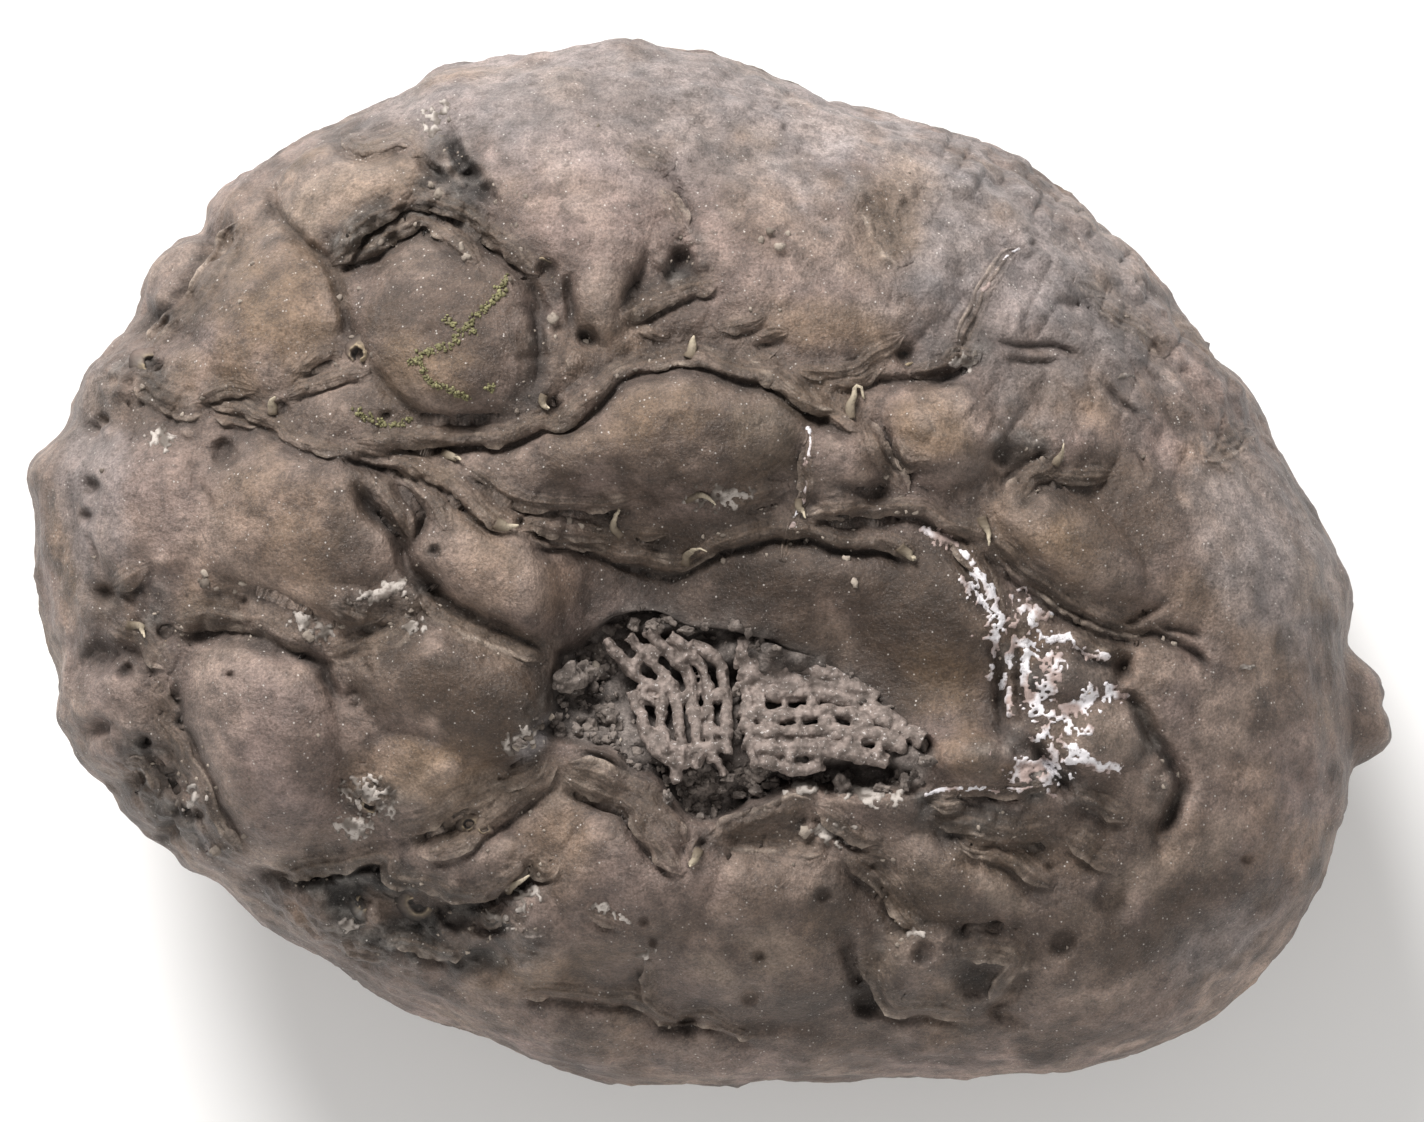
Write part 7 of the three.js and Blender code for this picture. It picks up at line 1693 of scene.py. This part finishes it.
PEBBLES = [  # middle, size
    (-9.1, 12.4, 0.27), (-9.4, 12.7, 0.17), (-8.4, 10.6, 0.2), (-8.2, 10.25, 0.22), (-5.35, 8.3, 0.18),
    (-6.8, 9.6, 0.12), (4.4, 0.3, 0.16), (4.7, -0.45, 0.14), (-17.0, -0.5, 0.22), (-16.6, -0.7, 0.16),
    (-16.0, -0.8, 0.14), (-15.7, -0.5, 0.14), (6.1, 1.85, 0.1), (6.4, 1.87, 0.09), (6.7, 1.83, 0.1),
    (1.9, 11.2, 0.16), (2.2, 10.7, 0.2), (2.5, 11.1, 0.14), (1.6, 10.9, 0.12), (-17.0, -0.2, 0.15),
    (-13.5, -2.3, 0.2), (-12.4, -1.9, 0.14), (-16.6, -9.4, 0.24), (3.0, -8.8, 0.2), (-4.4, -3.7, 0.34),
    (-4.9, -3.75, 0.26), (-4.0, -3.45, 0.24), (-4.6, -3.95, 0.22), (-6.5, -5.8, 0.24), (-6.2, -5.6, 0.2),
    (-6.0, -5.9, 0.16), (-5.8, -5.3, 0.18), (-5.5, -5.0, 0.14), (-6.6, 5.2, 0.12), (-4.9, 1.5, 0.14),
    (-4.5, 1.3, 0.12), (-3.9, 1.25, 0.1), (-2.2, 6.9, 0.1),
]
GRIT_TRIES = 16000
GRIT_SHARE = 0.42
grit_x = rng.uniform(-21, 17, GRIT_TRIES)
grit_y = rng.uniform(-16, 16, GRIT_TRIES)
lying = read_plan(valley, grit_x, grit_y) * 0.55 + read_plan(soft_crevice, grit_x, grit_y) * 0.6
lying *= 0.35 + smooth(-8, -16, grit_x) * 0.7 + 0.5 * smooth(8, 12, grit_y) * smooth(4, 0, grit_x)
lying = np.maximum(lying, read_plan(rubble, grit_x, grit_y))
lying *= smooth(-0.2, 0.5, grain(np.column_stack([grit_x, grit_y, grit_x * 0]), 1.6, 173))
inside_rim = np.hypot(grit_x / 21.5, grit_y / 16.0) < 0.97
kept = (rng.uniform(0, 1, GRIT_TRIES) < GRIT_SHARE * lying) & inside_rim
places = np.vstack([np.column_stack([grit_x[kept], grit_y[kept]]), [p[:2] for p in PEBBLES]])
sizes = np.concatenate([rng.uniform(0.03, 0.09, kept.sum()), [p[2] for p in PEBBLES]])
sizes[-len(PEBBLES):] *= 0.85
grit = scattered("pale_grit", places, sizes, 0.2, 0.5, 174, srgb(92, 82, 73), srgb(154, 143, 131))
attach(grit, "root")

# The floor and the light: a plain pale floor, a wide soft light from the top of the picture and a
# weak one from its foot, as on an overcast day.
FLOOR_HALF = 2.0
floor_mesh = bpy.data.meshes.new("floor")
floor_mesh.from_pydata(
    [(-FLOOR_HALF, -FLOOR_HALF, 0), (FLOOR_HALF, -FLOOR_HALF, 0), (FLOOR_HALF, FLOOR_HALF, 0),
     (-FLOOR_HALF, FLOOR_HALF, 0)], [], [(0, 1, 2, 3)])
floor = place_piece("floor", floor_mesh)
floor_look, nodes, links, shader = new_material("pale_floor", 0.9)
shader.inputs["Base Color"].default_value = (0.86, 0.86, 0.86, 1.0)
floor_mesh.materials.append(floor_look)

LIT_HEIGHT = 0.012
world = bpy.data.worlds.new("studio")
bpy.context.scene.world = world
world.use_nodes = True
world.node_tree.nodes["Background"].inputs["Color"].default_value = (1.0, 0.99, 0.98, 1.0)
world.node_tree.nodes["Background"].inputs["Strength"].default_value = 0.5


def soft_light(name, position, size, watts, tint):
    """A round soft light that faces the stone."""
    data = bpy.data.lights.new(name, "AREA")
    data.shape = "DISK"
    data.size = size
    data.energy = watts
    data.color = tint
    light = bpy.data.objects.new(name, data)
    light.location = position
    towards = Vector((0, 0, LIT_HEIGHT)) - Vector(position)
    light.rotation_euler = towards.to_track_quat("-Z", "Y").to_euler()
    bpy.context.scene.collection.objects.link(light)


soft_light("window", (-0.12, 0.30, 0.24), 0.20, 3.0, (1.0, 0.985, 0.97))
soft_light("fill", (0.05, -0.35, 0.30), 0.30, 0.75, (1.0, 0.97, 0.93))
bpy.context.scene.view_settings.view_transform = "Standard"
bpy.context.scene.view_settings.look = "None"
